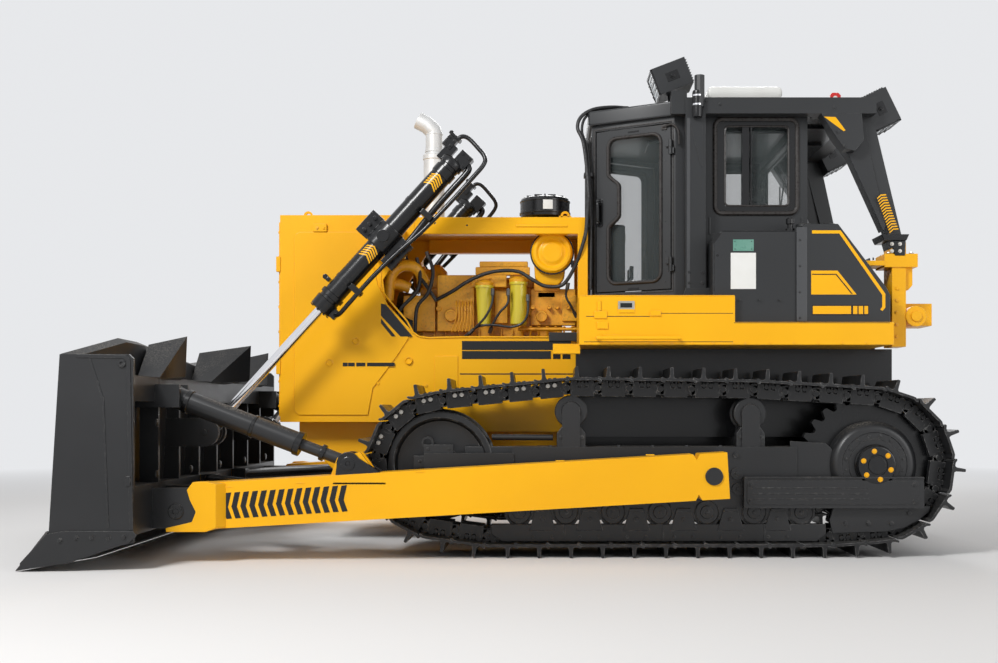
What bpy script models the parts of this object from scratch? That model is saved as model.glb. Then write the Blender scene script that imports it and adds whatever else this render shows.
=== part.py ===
"""A crawler bulldozer with a semi-U blade, two lift cylinders, a cab with two doors and a roll-over frame.

Metres, +Z up. The machine faces -X and its left side is at -Y. Side views are written as x and z.
"""

import math

import bmesh
import bpy
from mathutils import Matrix, Vector

# Fits and shop values that every piece shares.
SEAT = 0.0003
RUNNING = 0.006
OVERRUN = 0.05
BITE = 0.012
FLATNESS = 1e-6
MERGE_DISTANCE = 1e-5
SMOOTH_ANGLE = 35
ROUND_SIDES = 16
WHEEL_SIDES = 24
BEARING_SIDES = 24
FINE_SIDES = 10
BOLT_SIDES = 6
PIPE_STEPS = 2
STACK_STEPS = 3
ELBOW_STEPS = 3
CORNER_STEPS = 3
SIDES = (("left", -1), ("right", 1))

# The middle of the whole length, seen from the place that the side view is drawn around.
ORIGIN_X = 0.03075

# Widths that several groups follow.
TRACK_GAUGE = 2.14
CAB_HALF_WIDTH = 0.900

# Track chain. Lengths are measured from the line through the pins.
SHOE_WIDTH = 0.56
LINK_PITCH = 0.2286
CHAIN_LENGTH = 9.3726
SHOE_COUNT = round(CHAIN_LENGTH / LINK_PITCH)
PIN_TO_PLATE = 0.072
PIN_TO_RAIL = 0.062
PLATE_THICKNESS = 0.020
GROUSER_HEIGHT = 0.080
PIN_Z = GROUSER_HEIGHT + PIN_TO_PLATE
GROUSER_ROOT = 0.036
GROUSER_TIP = 0.024
LINK_INSET = 0.075
LINK_WIDTH = 0.052
GROUSER_PLACE_SHARE = 0.70
CHAIN_SLACK_SHARE = 1e-7
LINK_END_SHARES = (0.12, 0.88)

# Wheels of the track, in side view.
SPROCKET_X = 2.660
SPROCKET_PITCH_RADIUS = 0.4956
SPROCKET_TEETH = round(2 * math.pi / math.asin(LINK_PITCH / 2 / SPROCKET_PITCH_RADIUS))
SPROCKET_LIFT = 0.0224
WHEEL_Z = PIN_Z + SPROCKET_PITCH_RADIUS + SPROCKET_LIFT
SPROCKET_WIDTH = 0.075
TOOTH_RISE = 0.028
TOOTH_ROOT_DROP = 0.030
TOOTH_SHARES = (0.00, 0.36, 0.54, 0.82)
IDLER_RADIUS = 0.390
IDLER_WIDTH = 0.230
IDLER_FLANGE_WIDTH = 0.075
IDLER_FLANGE_RISE = 0.018
IDLER_HUB_RADIUS = 0.110
IDLER_DISH = 0.045
ROLLER_RADIUS = 0.110
ROLLER_COUNT = 7
ROLLER_FIRST_X = 0.070
ROLLER_TO_SPROCKET = 0.0344
ROLLER_LAST_X = SPROCKET_X - SPROCKET_PITCH_RADIUS - ROLLER_TO_SPROCKET
GROUND_FRONT_X = -0.170
GROUND_OVERHANG = 0.160
GROUND_REAR_X = ROLLER_LAST_X + GROUND_OVERHANG
GROUND_BEND_RADIUS = 0.150
CARRIER_RADIUS = 0.105
CARRIER_LIFT = 0.008
CARRIER_FRONT_X = 0.452
CARRIER_REAR_X = 1.767
CARRIER_FRONT_Z = 1.060
CARRIER_REAR_Z = 1.043
CARRIER_WIDTH = 0.200

# Track frame, one on each side.
FRAME_TOP_Z = 0.800
FRAME_BOTTOM_Z = 0.440
FRAME_HALF_WIDTH = 0.165
FRAME_FRONT_X = 0.020
FRAME_REAR_INSET = 0.030
FRAME_REAR_X = ROLLER_LAST_X - FRAME_REAR_INSET
GUARD_WALL = 0.030
GUARD_BOTTOM_Z = 0.270
FORK_WALL = 0.055
FORK_HEIGHT = 0.170
FORK_GAP = 0.012
OUTER_BEAM_FRONT_X = 1.700
OUTER_BEAM_REAR_X = 3.000
OUTER_BEAM_LOW_Z = 0.360
OUTER_BEAM_HIGH_Z = 0.580
OUTER_BEAM_REACH = 0.206
OUTER_BEAM_WALL = 0.050
CARRIER_POST_WIDTH = 0.130
CARRIER_POST_WALL = 0.060
PIVOT_INSET = 0.050
PIVOT_X = FRAME_REAR_X - PIVOT_INSET
PIVOT_RADIUS = 0.110
EQUALIZER_X = 0.330
EQUALIZER_HEIGHT = 0.160
EQUALIZER_LENGTH = 0.260

# Final drive, on the sprocket's outer and inner sides.
DRIVE_CASE_RADIUS = 0.320
DRIVE_CASE_REACH = 0.200
DRIVE_CASE_CHAMFER = 0.045
DRIVE_INNER_SHARE = 0.80
DRIVE_HUB_RADIUS = 0.145
DRIVE_HUB_REACH = 0.065
DRIVE_BOLT_CIRCLE = 0.105
DRIVE_BOLT_RADIUS = 0.016
DRIVE_BOLT_COUNT = 6
DRIVE_BOLT_HEIGHT = 0.012

# Main frame: the steering and transmission case behind, the belly and the crankcase guard in front.
CASE_FRONT_X = 0.500
CASE_REAR_X = 2.960
CASE_HALF_WIDTH = 0.660
CASE_LOW_Z = 0.860
BELLY_Z = 0.485
BELLY_HALF_WIDTH = 0.430
DRAWBAR_LENGTH = 0.200
DRAWBAR_HALF_WIDTH = 0.260
DRAWBAR_LOW_Z = 0.520
DRAWBAR_HIGH_Z = 1.060

# Engine frame under the radiator and the engine.
ENGINE_FRAME_FRONT_X = -1.700
ENGINE_FRAME_HALF_WIDTH = 0.430
ENGINE_FRAME_NOSE_LENGTH = 0.380

# Radiator guard and the side plates of the engine bay.
GUARD_FRONT_X = -1.811
GUARD_HALF_WIDTH = 0.620
GUARD_LOW_Z = 0.976
ENGINE_FRAME_TOP_Z = GUARD_LOW_Z - SEAT
GUARD_TOP_Z = 2.594
GUARD_PLATE = 0.035
GUARD_TOP_REAR_X = -0.760
BAY_REAR_X = 0.500
BAY_SILL_Z = 1.640
BAY_LOW_Z = 0.900
BAY_FRONT_TOP_X = -0.787
BAY_FRONT_TOP_Z = 2.440
BAY_KNEE_HIGH_X = -1.008
BAY_KNEE_HIGH_Z = 2.089
BAY_KNEE_LOW_X = -0.983
BAY_KNEE_LOW_Z = 1.908
BAY_SILL_FRONT_X = -0.736
GRILLE_FRAME = 0.090
GRILLE_BAR_COUNT = 9
GRILLE_BAR_HEIGHT = 0.055
GRILLE_BAR_DEPTH = 0.030
GRILLE_RIB_COUNT = 3
GRILLE_RIB_WIDTH = 0.040
RADIATOR_DEPTH = 0.160
RADIATOR_SETBACK = 0.100

# Hood over the engine.
HOOD_TOP_Z = 2.579
HOOD_BEAM_HEIGHT = 0.133
HOOD_BEAM_WIDTH = 0.100
HOOD_REAR_X = 0.596
HOOD_POST_WIDTH = 0.080
HOOD_POST_FOOT_Z = 1.660
HOOD_PLATE = 0.020

# Engine and what hangs on it.
ENGINE_FRONT_X = -0.780
ENGINE_REAR_X = 0.400
ENGINE_HALF_WIDTH = 0.300
ENGINE_BLOCK_TOP_Z = 1.850
ENGINE_HEAD_TOP_Z = 2.080
ENGINE_HEAD_HALF_WIDTH = 0.190
HEAD_COVER_COUNT = 6
HEAD_COVER_HEIGHT = 0.090
HEAD_COVER_GAP = 0.025
FILTER_RADIUS = 0.072
FILTER_HEIGHT = 0.270
FILTER_HIGH_Z = 2.010
FILTER_Y = 0.445
FILTER_X = (-0.115, 0.150)
PUMP_LENGTH = 0.520
PUMP_RADIUS = 0.075
PUMP_X = -0.560
PUMP_Z = 1.760
MANIFOLD_RADIUS = 0.055
TURBO_RADIUS = 0.130
TURBO_WIDTH = 0.150
TURBO_TOP_SHARE = 0.70
FAN_SHROUD_RADIUS = 0.420
FAN_SHROUD_DEPTH = 0.160
FAN_SHROUD_REAR_SHARE = 0.70
AIR_CLEANER_X = 0.318
AIR_CLEANER_Z = 2.300
AIR_CLEANER_RADIUS = 0.180
AIR_CLEANER_FACE_Y = 0.520
AIR_CLEANER_LENGTH = 0.300
AIR_CLEANER_LIP = 0.016
AIR_CLEANER_NECK_RADIUS = 0.090
AIR_CLEANER_FACE_SHARES = (0.72, 0.90)
AIR_CLEANER_RIM = 0.048

# Intake and exhaust above the hood.
PRECLEANER_X = 0.260
PRECLEANER_Y = -0.300
PRECLEANER_RADIUS = 0.205
PRECLEANER_HEIGHT = 0.180
PRECLEANER_NECK_RADIUS = 0.100
PRECLEANER_NECK_HEIGHT = 0.090
STACK_X = -0.620
STACK_Y = 0.160
STACK_RADIUS = 0.075
STACK_TOP_Z = 3.430
STACK_MUFFLER_RADIUS = 0.130
STACK_MUFFLER_TOP_Z = 3.020
STACK_ELBOW_REACH = 0.130

# Side panel and tank beside the cab, one of each on each side.
PANEL_FRONT_X = 1.485
PANEL_TOP_Z = 2.377
PANEL_TO_CAB = 0.060
PANEL_WIDTH = 0.270
PANEL_INNER_Y = CAB_HALF_WIDTH + PANEL_TO_CAB
PANEL_OUTER_Y = PANEL_INNER_Y + PANEL_WIDTH
TANK_FRONT_X = 2.105
TANK_REAR_X = 2.782
TANK_TOP_Z = 2.430
TANK_SLOPE_TOP_X = 2.400
TANK_SLOPE_FOOT_Z = 1.967
TANK_NOSE = 0.060

# Decks beside and behind the cab.
DECK_LEDGE = 0.070
DECK_OUTER_Y = PANEL_OUTER_Y + DECK_LEDGE
DECK_FRONT_X = 0.508
DECK_STEP_X = 1.638
DECK_REAR_X = 2.790
DECK_LOW_Z = 1.544
CASE_TOP_Z = DECK_LOW_Z - SEAT
DECK_STEP_Z = 1.708
DECK_TOP_Z = 1.900
DECK_INNER_Y = 0.640
STEP_LENGTH = 0.200
STEP_OUTER_INSET = 0.110
STEP_INNER_INSET = 0.220
STEP_DROP = 0.060
STEP_SETBACK = 0.190
GRAB_BAR_RADIUS = 0.014
GRAB_BAR_STANDOFF = 0.050
GRAB_BAR_FRONT_X = 0.640
GRAB_BAR_REAR_X = 1.230
GRAB_BAR_Z = 1.590
LATCH_X = 0.790
LATCH_WIDTH = 0.120
LATCH_HEIGHT = 0.055
LATCH_Z = 1.830

# Rear pedestal under each leg of the roll-over frame.
PEDESTAL_FRONT_X = 2.860
PEDESTAL_REAR_X = 2.965
PEDESTAL_TOP_Z = 2.330
PEDESTAL_Y = CAB_HALF_WIDTH
PEDESTAL_HALF_WIDTH = 0.110
PEDESTAL_FLANGE_FRONT_X = 2.800
PEDESTAL_FLANGE_REAR_X = 3.050
PEDESTAL_FLANGE_LOW_Z = 2.140
PEDESTAL_FLANGE_HIGH_Z = 2.240
REAR_BEAM_REAR_X = 3.225
REAR_BEAM_LOW_Z = 1.715
REAR_BEAM_HIGH_Z = 1.885
REAR_BEAM_WIDTH = 0.300

# Fuel tank behind the cab.
FUEL_FRONT_X = 2.290
FUEL_REAR_X = 2.840
FUEL_TOP_Z = 2.330
FUEL_HALF_WIDTH = 0.620
FUEL_SLOPE_X = 2.640
FUEL_SLOPE_Z = 2.050

# Cab, with a plan that narrows to the front.
CAB_FRONT_X = 0.630
CAB_CORNER_X = 1.250
CAB_REAR_X = 2.250
CAB_FRONT_HALF_WIDTH = 0.550
CAB_FLOOR_Z = DECK_TOP_Z + SEAT
CAB_HEADER_Z = 3.300
CAB_WALL = 0.050
CAB_FLOOR_THICKNESS = 0.060
ROOF_OVERHANG = 0.030
ROOF_TOP_Z = 3.410
ROOF_PAD_FRONT_X = 0.800
ROOF_PAD_REAR_X = 1.450
ROOF_PAD_HALF_WIDTH = 0.350
ROOF_PAD_RISE = 0.012
DOOR_LOW_Z = 1.985
DOOR_HIGH_Z = 3.255
DOOR_THICKNESS = 0.045
DOOR_END_SHARE = 0.045
DOOR_GAP = 0.009
GLASS_THICKNESS = 0.008
GLASS_LAP = 0.020
WINDOW_CORNER = 0.070
WINDSHIELD_LOW_Z = 2.220
WINDSHIELD_HIGH_Z = 3.220
WINDSHIELD_MARGIN = 0.070
REAR_WINDOW_LOW_Z = 2.480
REAR_WINDOW_HIGH_Z = 3.200
REAR_WINDOW_MARGIN = 0.130
SIDE_WINDOW_FRONT_X = 1.575
SIDE_WINDOW_REAR_X = 2.145
SIDE_WINDOW_LOW_Z = 2.610
SIDE_WINDOW_HIGH_Z = 3.220
HANDLE_LENGTH = 0.170
HANDLE_RADIUS = 0.013
HANDLE_STANDOFF = 0.040
HANDLE_SETBACK = 0.036
HINGE_RADIUS = 0.016
HINGE_LENGTH = 0.110
HINGE_STANDOFF = 0.022
HINGE_LEAF = 0.045
HINGE_BITE = 0.004
HINGE_PIN_RADIUS = 0.008
HINGE_PLAY = 0.0009
HINGE_HEIGHT_SHARES = (0.15, 0.85)
DOOR_WINDOW_SHARES = (0.20, 0.83)
DOOR_BULGE_SHARE = 0.13
DOOR_BULGE_HEIGHT_SHARES = (0.76, 0.67, 0.47, 0.38)

# Seat and controls.
SEAT_X = 1.720
SEAT_WIDTH = 0.500
SEAT_DEPTH = 0.480
SEAT_CUSHION_HEIGHT = 0.130
SEAT_CUSHION_Z = 2.330
SEAT_BACK_HEIGHT = 0.560
SEAT_BACK_THICKNESS = 0.130
SEAT_FOOT_MARGIN = 0.100
CONSOLE_LENGTH = 0.520
CONSOLE_WIDTH = 0.170
CONSOLE_TOP_Z = 2.480
CONSOLE_Y = 0.380
DASH_DEPTH = 0.200
DASH_HALF_WIDTH = 0.300
DASH_TOP_Z = 2.560

# Roll-over frame round the cab.
ROPS_POST_FRONT_X = 1.310
ROPS_POST_REAR_X = 1.460
ROPS_TO_CAB = 0.015
ROPS_POST_WIDTH = 0.125
ROPS_INNER_Y = CAB_HALF_WIDTH + ROPS_TO_CAB
ROPS_OUTER_Y = ROPS_INNER_Y + ROPS_POST_WIDTH
ROPS_TOP_Z = 3.405
ROPS_BEAM_HEIGHT = 0.120
ROPS_BEAM_REAR_X = 2.735
ROPS_LEG_TOP_X = 2.640
ROPS_LEG_FOOT_X = 2.905
ROPS_LEG_INSET = 0.040
ROPS_LEG_TOP_Y = CAB_HALF_WIDTH - ROPS_LEG_INSET
ROPS_LEG_DEPTH = 0.150
ROPS_LEG_WIDTH = 0.130
ROPS_LEG_FOOT_SHARE = 0.70
ROPS_CROSS_FRONT_X = 2.560

# What stands on the roof.
AC_FRONT_X = 1.560
AC_REAR_X = 2.160
AC_HALF_WIDTH = 0.420
AC_HEIGHT = 0.262
AC_TAPER_SHARE = 0.80
AC_SIDE_SHARE = 0.45
AC_EDGE = 0.024
LAMP_WIDTH = 0.300
LAMP_DEPTH = 0.265
LAMP_HEIGHT = 0.206
LAMP_FRONT_X = 1.225
LAMP_FRONT_Z = 3.598
LAMP_FRONT_TILT = 21.0
LAMP_REAR_X = 2.800
LAMP_REAR_Z = 3.350
LAMP_REAR_TILT = -64.0
LAMP_INSET = 0.120
LAMP_Y = CAB_HALF_WIDTH - LAMP_INSET
LAMP_STALK_RADIUS = 0.022
BEACON_RADIUS = 0.038
BEACON_LOW_Z = 3.325
BEACON_HIGH_Z = 3.560
BEACON_X = 1.410
PILLAR_BOX_FRONT_X = 1.205
PILLAR_BOX_LOW_Z = 3.285
PILLAR_BOX_HIGH_Z = 3.460
PILLAR_BOX_INSET = 0.030
PILLAR_BOX_INNER_Y = ROPS_INNER_Y + PILLAR_BOX_INSET

# Blade. Its section is drawn at the centre, and the wings lead it forwards.
BLADE_HALF_WIDTH = 2.065
BLADE_STRAIGHT_HALF_WIDTH = 1.300
BLADE_BREAK_Y = 1.500
BLADE_TIP_Z = 0.012
BLADE_EDGE_TOP_Z = 0.250
BLADE_CENTRE_TOP_Z = 1.460
BLADE_BREAK_TOP_Z = 1.580
BLADE_END_TOP_Z = 1.440
BLADE_TIP_X = -2.985
BLADE_EDGE_TOP_X = -2.785
BLADE_HOLLOW_X = -2.620
BLADE_FRONT_TOP_X = -2.700
BLADE_BACK_X = -2.460
BLADE_WING_LEAD = 0.250
BLADE_PLATE = 0.060
BLADE_HEEL_Z = 0.185
BLADE_LOW_SHARES = (0.28, 0.25)
BLADE_HIGH_SHARE = 0.62
BLADE_BOX_FRONT_X = -2.665
BLADE_RIB_FRONT_X = -2.605
END_PLATE = 0.030
END_PLATE_REAR_X = -2.462
END_BOTTOM_REAR_Z = 0.190
BLADE_UPPER_BOX_LOW_Z = 1.130
BLADE_UPPER_BOX_HIGH_Z = 1.300
BLADE_LOWER_BOX_LOW_Z = 0.240
BLADE_LOWER_BOX_HIGH_Z = 0.560
BLADE_RIB_COUNT = 7
BLADE_RIB_WALL = 0.035
GUSSET_HALF_WIDTH = 0.240
GUSSET_APEX_X = -2.190
GUSSET_APEX_Z = 1.605
GUSSET_OUTER_APEX_X = -2.340
GUSSET_FOOT_Z = 1.310
GUSSET_REAR_FOOT_Z = 1.286
GUSSET_OUTER_Y = 1.280
LIFT_EAR_WALL = 0.040
LIFT_EAR_RADIUS = 0.105
LIFT_EAR_GAP = 0.025
CLEVIS_WALL = 0.060
CLEVIS_REACH = 0.130
CLEVIS_LOW_Z = 0.250
CLEVIS_HIGH_Z = 0.530

# Push arms and the trunnions that they turn on.
TRUNNION_X = 1.442
TRUNNION_Z = 0.606
TRUNNION_RADIUS = 0.060
TRUNNION_PLAY = 0.0009
TRUNNION_PROUD = 0.012
ARM_TO_TRACK_MIDDLE = 0.330
ARM_WIDTH = 0.220
ARM_INNER_Y = TRACK_GAUGE / 2 + ARM_TO_TRACK_MIDDLE
ARM_OUTER_Y = ARM_INNER_Y + ARM_WIDTH
ARM_DEPTH = 0.325
ARM_REAR_REACH = 0.101
ARM_PIN_X = -2.281
ARM_PIN_Z = 0.389
ARM_NOSE = 0.090
ARM_NOSE_SHARE = 0.50
ARM_FACE = 0.050
ARM_FACE_CHAMFER = 0.050
ARM_NOTCH_X = 1.328
ARM_NOTCH_HALF_WIDTH = 0.024
ARM_NOTCH_DEPTH = 0.040
ARM_BOSS_RADIUS = 0.085
STRUT_RADIUS = 0.060
STRUT_X = -1.700
STRUT_Z = 0.500
STRUT_END_Y = 0.470

# Braces between the blade's top and the arms.
BRACE_TOP_X = -2.372
BRACE_TOP_Z = 1.169
BRACE_EYE_X = -1.117
BRACE_EYE_Z = 0.695
BRACE_Y = (ARM_INNER_Y + ARM_OUTER_Y) / 2
BRACE_RADIUS = 0.078
BRACE_NECK_RADIUS = 0.042
BRACE_EYE_RADIUS = 0.080
BRACE_EYE_WIDTH = 0.090
BRACE_BALL_WIDTH = 0.165
BRACE_NECK_SHARE = 0.70
BRACE_NECK_OVERLAP_SHARE = 0.05
BRACE_EAR_WALL = 0.035
BRACE_BRACKET_LENGTH = 0.260
BRACE_BRACKET_BITE = 0.024

# Lift cylinders, drawn along their own line from the rod's eye.
LIFT_Y = 0.950
LIFT_EYE_X = -2.274
LIFT_EYE_Z = 0.904
LIFT_PIVOT_X = -0.947
LIFT_PIVOT_Z = 2.367
LIFT_EYE_RADIUS = 0.070
LIFT_EYE_WIDTH = 0.100
LIFT_ROD_RADIUS = 0.036
LIFT_ROD_INSIDE = 0.680
LIFT_BARREL_RADIUS = 0.0825
LIFT_BARREL_BORE_PLAY = 0.0005
LIFT_BARREL_START = 1.2386
LIFT_BARREL_END = 2.769
LIFT_BARREL_CAP = 0.060
LIFT_BAND_RADIUS = 0.105
LIFT_BAND_LENGTH = 0.190
LIFT_GLAND_RADIUS = 0.092
LIFT_GLAND_LENGTH = 0.090
LIFT_STUB_RADIUS = 0.055
YOKE_WALL = 0.090
YOKE_RADIUS = 0.115
YOKE_GAP = 0.008
PIPE_RADIUS = 0.016
PIPE_OFFSET = 0.135
PIPE_OVER_CAP = 0.180

# Colours, roughness and metal share of each finish.
FINISHES = {
    "yellow_paint": ((0.90, 0.48, 0.02), 0.42, 0.0),
    "black_paint": ((0.025, 0.026, 0.028), 0.45, 0.0),
    "cab_paint": ((0.050, 0.053, 0.056), 0.50, 0.0),
    "track_steel": ((0.030, 0.031, 0.033), 0.55, 0.5),
    "engine_paint": ((0.75, 0.32, 0.02), 0.50, 0.0),
    "exhaust_metal": ((0.70, 0.70, 0.68), 0.40, 0.8),
    "chrome": ((0.80, 0.80, 0.82), 0.12, 1.0),
    "glass": ((0.45, 0.50, 0.50), 0.05, 0.0),
    "seat_cloth": ((0.06, 0.06, 0.065), 0.85, 0.0),
    "white_plastic": ((0.85, 0.85, 0.83), 0.40, 0.0),
}

parts = bpy.data.collections.new("bulldozer")
helpers = bpy.data.collections.new("bulldozer_cutters")


def clear_scene():
    for old in list(bpy.data.objects):
        bpy.data.objects.remove(old, do_unlink=True)
    for collection in (parts, helpers):
        bpy.context.scene.collection.children.link(collection)


def finish(name):
    """The Principled material of that name, made the first time it is asked for."""
    found = bpy.data.materials.get(name)
    if found:
        return found
    colour, roughness, metallic = FINISHES[name]
    made = bpy.data.materials.new(name)
    made.use_nodes = True
    shader = made.node_tree.nodes["Principled BSDF"]
    shader.inputs["Base Color"].default_value = (*colour, 1.0)
    shader.inputs["Roughness"].default_value = roughness
    shader.inputs["Metallic"].default_value = metallic
    return made


def helper(name, mesh):
    """An object that other objects are cut by or made from."""
    made = bpy.data.objects.new(name, mesh)
    helpers.objects.link(made)
    made.hide_render = True
    made.display_type = "WIRE"
    return made


def mesh_of(edit, name):
    mesh = bpy.data.meshes.new(name)
    edit.to_mesh(mesh)
    edit.free()
    return mesh


def box(low, high):
    """A block between two corners, given in any order."""
    low, high = Vector(low), Vector(high)
    edit = bmesh.new()
    bmesh.ops.create_cube(edit, size=1.0)
    size = high - low
    for corner in edit.verts:
        share = corner.co
        corner.co = [(low[i] + high[i]) / 2 + share[i] * abs(size[i]) for i in range(3)]
    return helper("box", mesh_of(edit, "box"))


def rod(start, end, radius, end_radius=None, sides=ROUND_SIDES):
    """A round bar or cone between two points."""
    start, end = Vector(start), Vector(end)
    edit = bmesh.new()
    bmesh.ops.create_cone(
        edit, cap_ends=True, segments=sides, radius1=radius,
        radius2=radius if end_radius is None else end_radius, depth=(end - start).length,
    )
    turn = (end - start).to_track_quat("Z", "Y").to_matrix().to_4x4()
    edit.transform(Matrix.Translation((start + end) / 2) @ turn)
    return helper("rod", mesh_of(edit, "rod"))


def across(x, z, near, far, radius, end_radius=None, sides=ROUND_SIDES):
    """A round bar that runs from side to side."""
    return rod((x, near, z), (x, far, z), radius, end_radius, sides)


def upright(x, y, low, high, radius, end_radius=None, sides=ROUND_SIDES):
    return rod((x, y, low), (x, y, high), radius, end_radius, sides)


def turned(profile, foot, direction, sides=ROUND_SIDES):
    """A body turned about a line. The profile holds radius and distance along the line, far end first."""
    mesh = bpy.data.meshes.new("profile")
    mesh.from_pydata([(radius, 0, along) for radius, along in profile],
                     [(i, i + 1) for i in range(len(profile) - 1)], [])
    made = helper("turned", mesh)
    screw = made.modifiers.new("Turn", "SCREW")
    screw.axis = "Z"
    screw.steps = sides
    screw.render_steps = sides
    screw.use_merge_vertices = True
    screw.merge_threshold = MERGE_DISTANCE
    turn = Vector(direction).to_track_quat("Z", "Y").to_matrix().to_4x4()
    made.matrix_world = Matrix.Translation(foot) @ turn
    bpy.context.view_layer.update()
    return baked(made)


def bent(face):
    """Whether a face is out of flat, which a Boolean reads wrongly."""
    middle = face.calc_center_median()
    return any(abs((corner.co - middle).dot(face.normal)) > FLATNESS for corner in face.verts)


def baked(source):
    """The evaluated mesh of a curve or of an object with modifiers, as a new plain object."""
    graph = bpy.context.evaluated_depsgraph_get()
    mesh = bpy.data.meshes.new_from_object(source.evaluated_get(graph))
    edit = bmesh.new()
    edit.from_mesh(mesh)
    bmesh.ops.remove_doubles(edit, verts=edit.verts, dist=FLATNESS)
    bmesh.ops.triangulate(edit, faces=[face for face in edit.faces if bent(face)])
    bmesh.ops.recalc_face_normals(edit, faces=edit.faces)
    edit.transform(source.matrix_world)
    bpy.data.objects.remove(source, do_unlink=True)
    return helper("baked", mesh_of(edit, "baked"))


def flat_curve(outlines, thickness):
    """An extruded 2D curve in its own XY plane. The outlines after the first are holes."""
    curve = bpy.data.curves.new("outline", "CURVE")
    curve.dimensions = "2D"
    curve.fill_mode = "BOTH"
    curve.extrude = thickness / 2
    for outline in outlines:
        spline = curve.splines.new("POLY")
        spline.points.add(len(outline) - 1)
        spline.use_cyclic_u = True
        for point, (across_x, along_y) in zip(spline.points, outline):
            point.co = (across_x, along_y, 0, 1)
    made = bpy.data.objects.new("outline", curve)
    helpers.objects.link(made)
    return made


def side_plate(outline, near, far, holes=()):
    """A plate with an x, z outline, standing between two places across the machine."""
    made = flat_curve((outline, *holes), abs(far - near))
    made.matrix_world = Matrix.Translation((0, (near + far) / 2, 0)) @ Matrix.Rotation(math.pi / 2, 4, "X")
    bpy.context.view_layer.update()
    return baked(made)


def plan_plate(outline, low, high, holes=()):
    """A plate with an x, y outline between two heights."""
    made = flat_curve((outline, *holes), high - low)
    made.location.z = (low + high) / 2
    bpy.context.view_layer.update()
    return baked(made)


def upright_plate(outline, foot, direction, thickness, holes=()):
    """A plate that stands on a plan line: outline x runs along the line from its foot, outline y is height.

    Its outer face is on the line and its thickness lies to the left of the direction.
    """
    direction = Vector(direction).normalized()
    inward = Vector((-direction.y, direction.x, 0))
    made = flat_curve((outline, *holes), thickness)
    turn = Matrix((direction, Vector((0, 0, 1)), -inward)).transposed().to_4x4()
    made.matrix_world = Matrix.Translation(Vector(foot) + inward * thickness / 2) @ turn
    bpy.context.view_layer.update()
    return baked(made)


def pipe(points, radius, steps=PIPE_STEPS):
    """A round tube along a polyline."""
    curve = bpy.data.curves.new("pipe", "CURVE")
    curve.dimensions = "3D"
    curve.bevel_depth = radius
    curve.bevel_resolution = steps
    curve.use_fill_caps = True
    spline = curve.splines.new("POLY")
    spline.points.add(len(points) - 1)
    for point, place in zip(spline.points, points):
        point.co = (*place, 1)
    made = bpy.data.objects.new("pipe", curve)
    helpers.objects.link(made)
    bpy.context.view_layer.update()
    return baked(made)


def loft(sections, endless=False):
    """A closed body through like rings of points. An endless one runs back into its first ring."""
    edit = bmesh.new()
    rings = [[edit.verts.new(point) for point in section] for section in sections]
    for first, second in zip(rings, rings[1:] + rings[:1] if endless else rings[1:]):
        for i in range(len(first)):
            j = (i + 1) % len(first)
            edit.faces.new((first[i], first[j], second[j], second[i]))
    if not endless:
        edit.faces.new(list(reversed(rings[0])))
        edit.faces.new(rings[-1])
    bmesh.ops.triangulate(edit, faces=[face for face in edit.faces if bent(face)])
    bmesh.ops.recalc_face_normals(edit, faces=edit.faces)
    return helper("loft", mesh_of(edit, "loft"))


def wedge(corners, apexes):
    """The convex body round a few points, such as a folded gusset."""
    edit = bmesh.new()
    for point in (*corners, *apexes):
        edit.verts.new(point)
    bmesh.ops.convex_hull(edit, input=edit.verts)
    bmesh.ops.recalc_face_normals(edit, faces=edit.faces)
    return helper("wedge", mesh_of(edit, "wedge"))


def bevelled(piece, width, segments=1):
    modifier = piece.modifiers.new("Edges", "BEVEL")
    modifier.width = width
    modifier.segments = segments
    modifier.limit_method = "ANGLE"
    bpy.context.view_layer.update()
    return baked(piece)


def weld(pieces, cuts=()):
    """One body of several overlapping pieces, less the cutters."""
    whole = pieces[0]
    for operation, tools in (("UNION", pieces[1:]), ("DIFFERENCE", cuts)):
        for tool in tools:
            modifier = whole.modifiers.new(operation.title(), "BOOLEAN")
            modifier.operation = operation
            modifier.object = tool
    bpy.context.view_layer.update()
    made = baked(whole)
    for tool in (*pieces[1:], *cuts):
        bpy.data.objects.remove(tool, do_unlink=True)
    return made


def publish(piece, name, finish_name, carrier=None):
    """Turns a helper into the named part, with its origin at the carrier's when it moves."""
    mesh = piece.data
    mesh.name = name
    mesh.materials.clear()
    mesh.materials.append(finish(finish_name))
    helpers.objects.unlink(piece)
    parts.objects.link(piece)
    piece.name = name
    piece.hide_render = False
    piece.display_type = "TEXTURED"
    mesh.shade_smooth()
    mesh.set_sharp_from_angle(angle=math.radians(SMOOTH_ANGLE))
    if carrier:
        mesh.transform(Matrix.Translation(-carrier.location))
        piece.parent = carrier
    return piece


def mirror_image(piece):
    """The same piece on the machine's other side."""
    mesh = piece.data.copy()
    mesh.transform(Matrix.Scale(-1, 4, (0, 1, 0)))
    mesh.flip_normals()
    return helper("mirrored", mesh)


def publish_pair(left, stem, finish_name, carriers=(None, None)):
    right = mirror_image(left)
    publish(left, stem + "_left", finish_name, carriers[0])
    publish(right, stem + "_right", finish_name, carriers[1])


def axis(name, place):
    """An empty that stands on a joint's axis and carries what turns there."""
    made = bpy.data.objects.new(name, None)
    parts.objects.link(made)
    made.location = place
    return made


def rounded_rectangle(low, high, radius, steps=CORNER_STEPS):
    """A rectangle with arcs at its corners, counterclockwise from its lower right."""
    outline = []
    for quarter, (share_x, share_y) in enumerate(((1, 0), (1, 1), (0, 1), (0, 0))):
        centre_x = (high[0] - radius) if share_x else (low[0] + radius)
        centre_y = (high[1] - radius) if share_y else (low[1] + radius)
        for step in range(steps + 1):
            angle = math.pi / 2 * (quarter - 1 + step / steps)
            outline.append((centre_x + radius * math.cos(angle), centre_y + radius * math.sin(angle)))
    return outline


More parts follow.
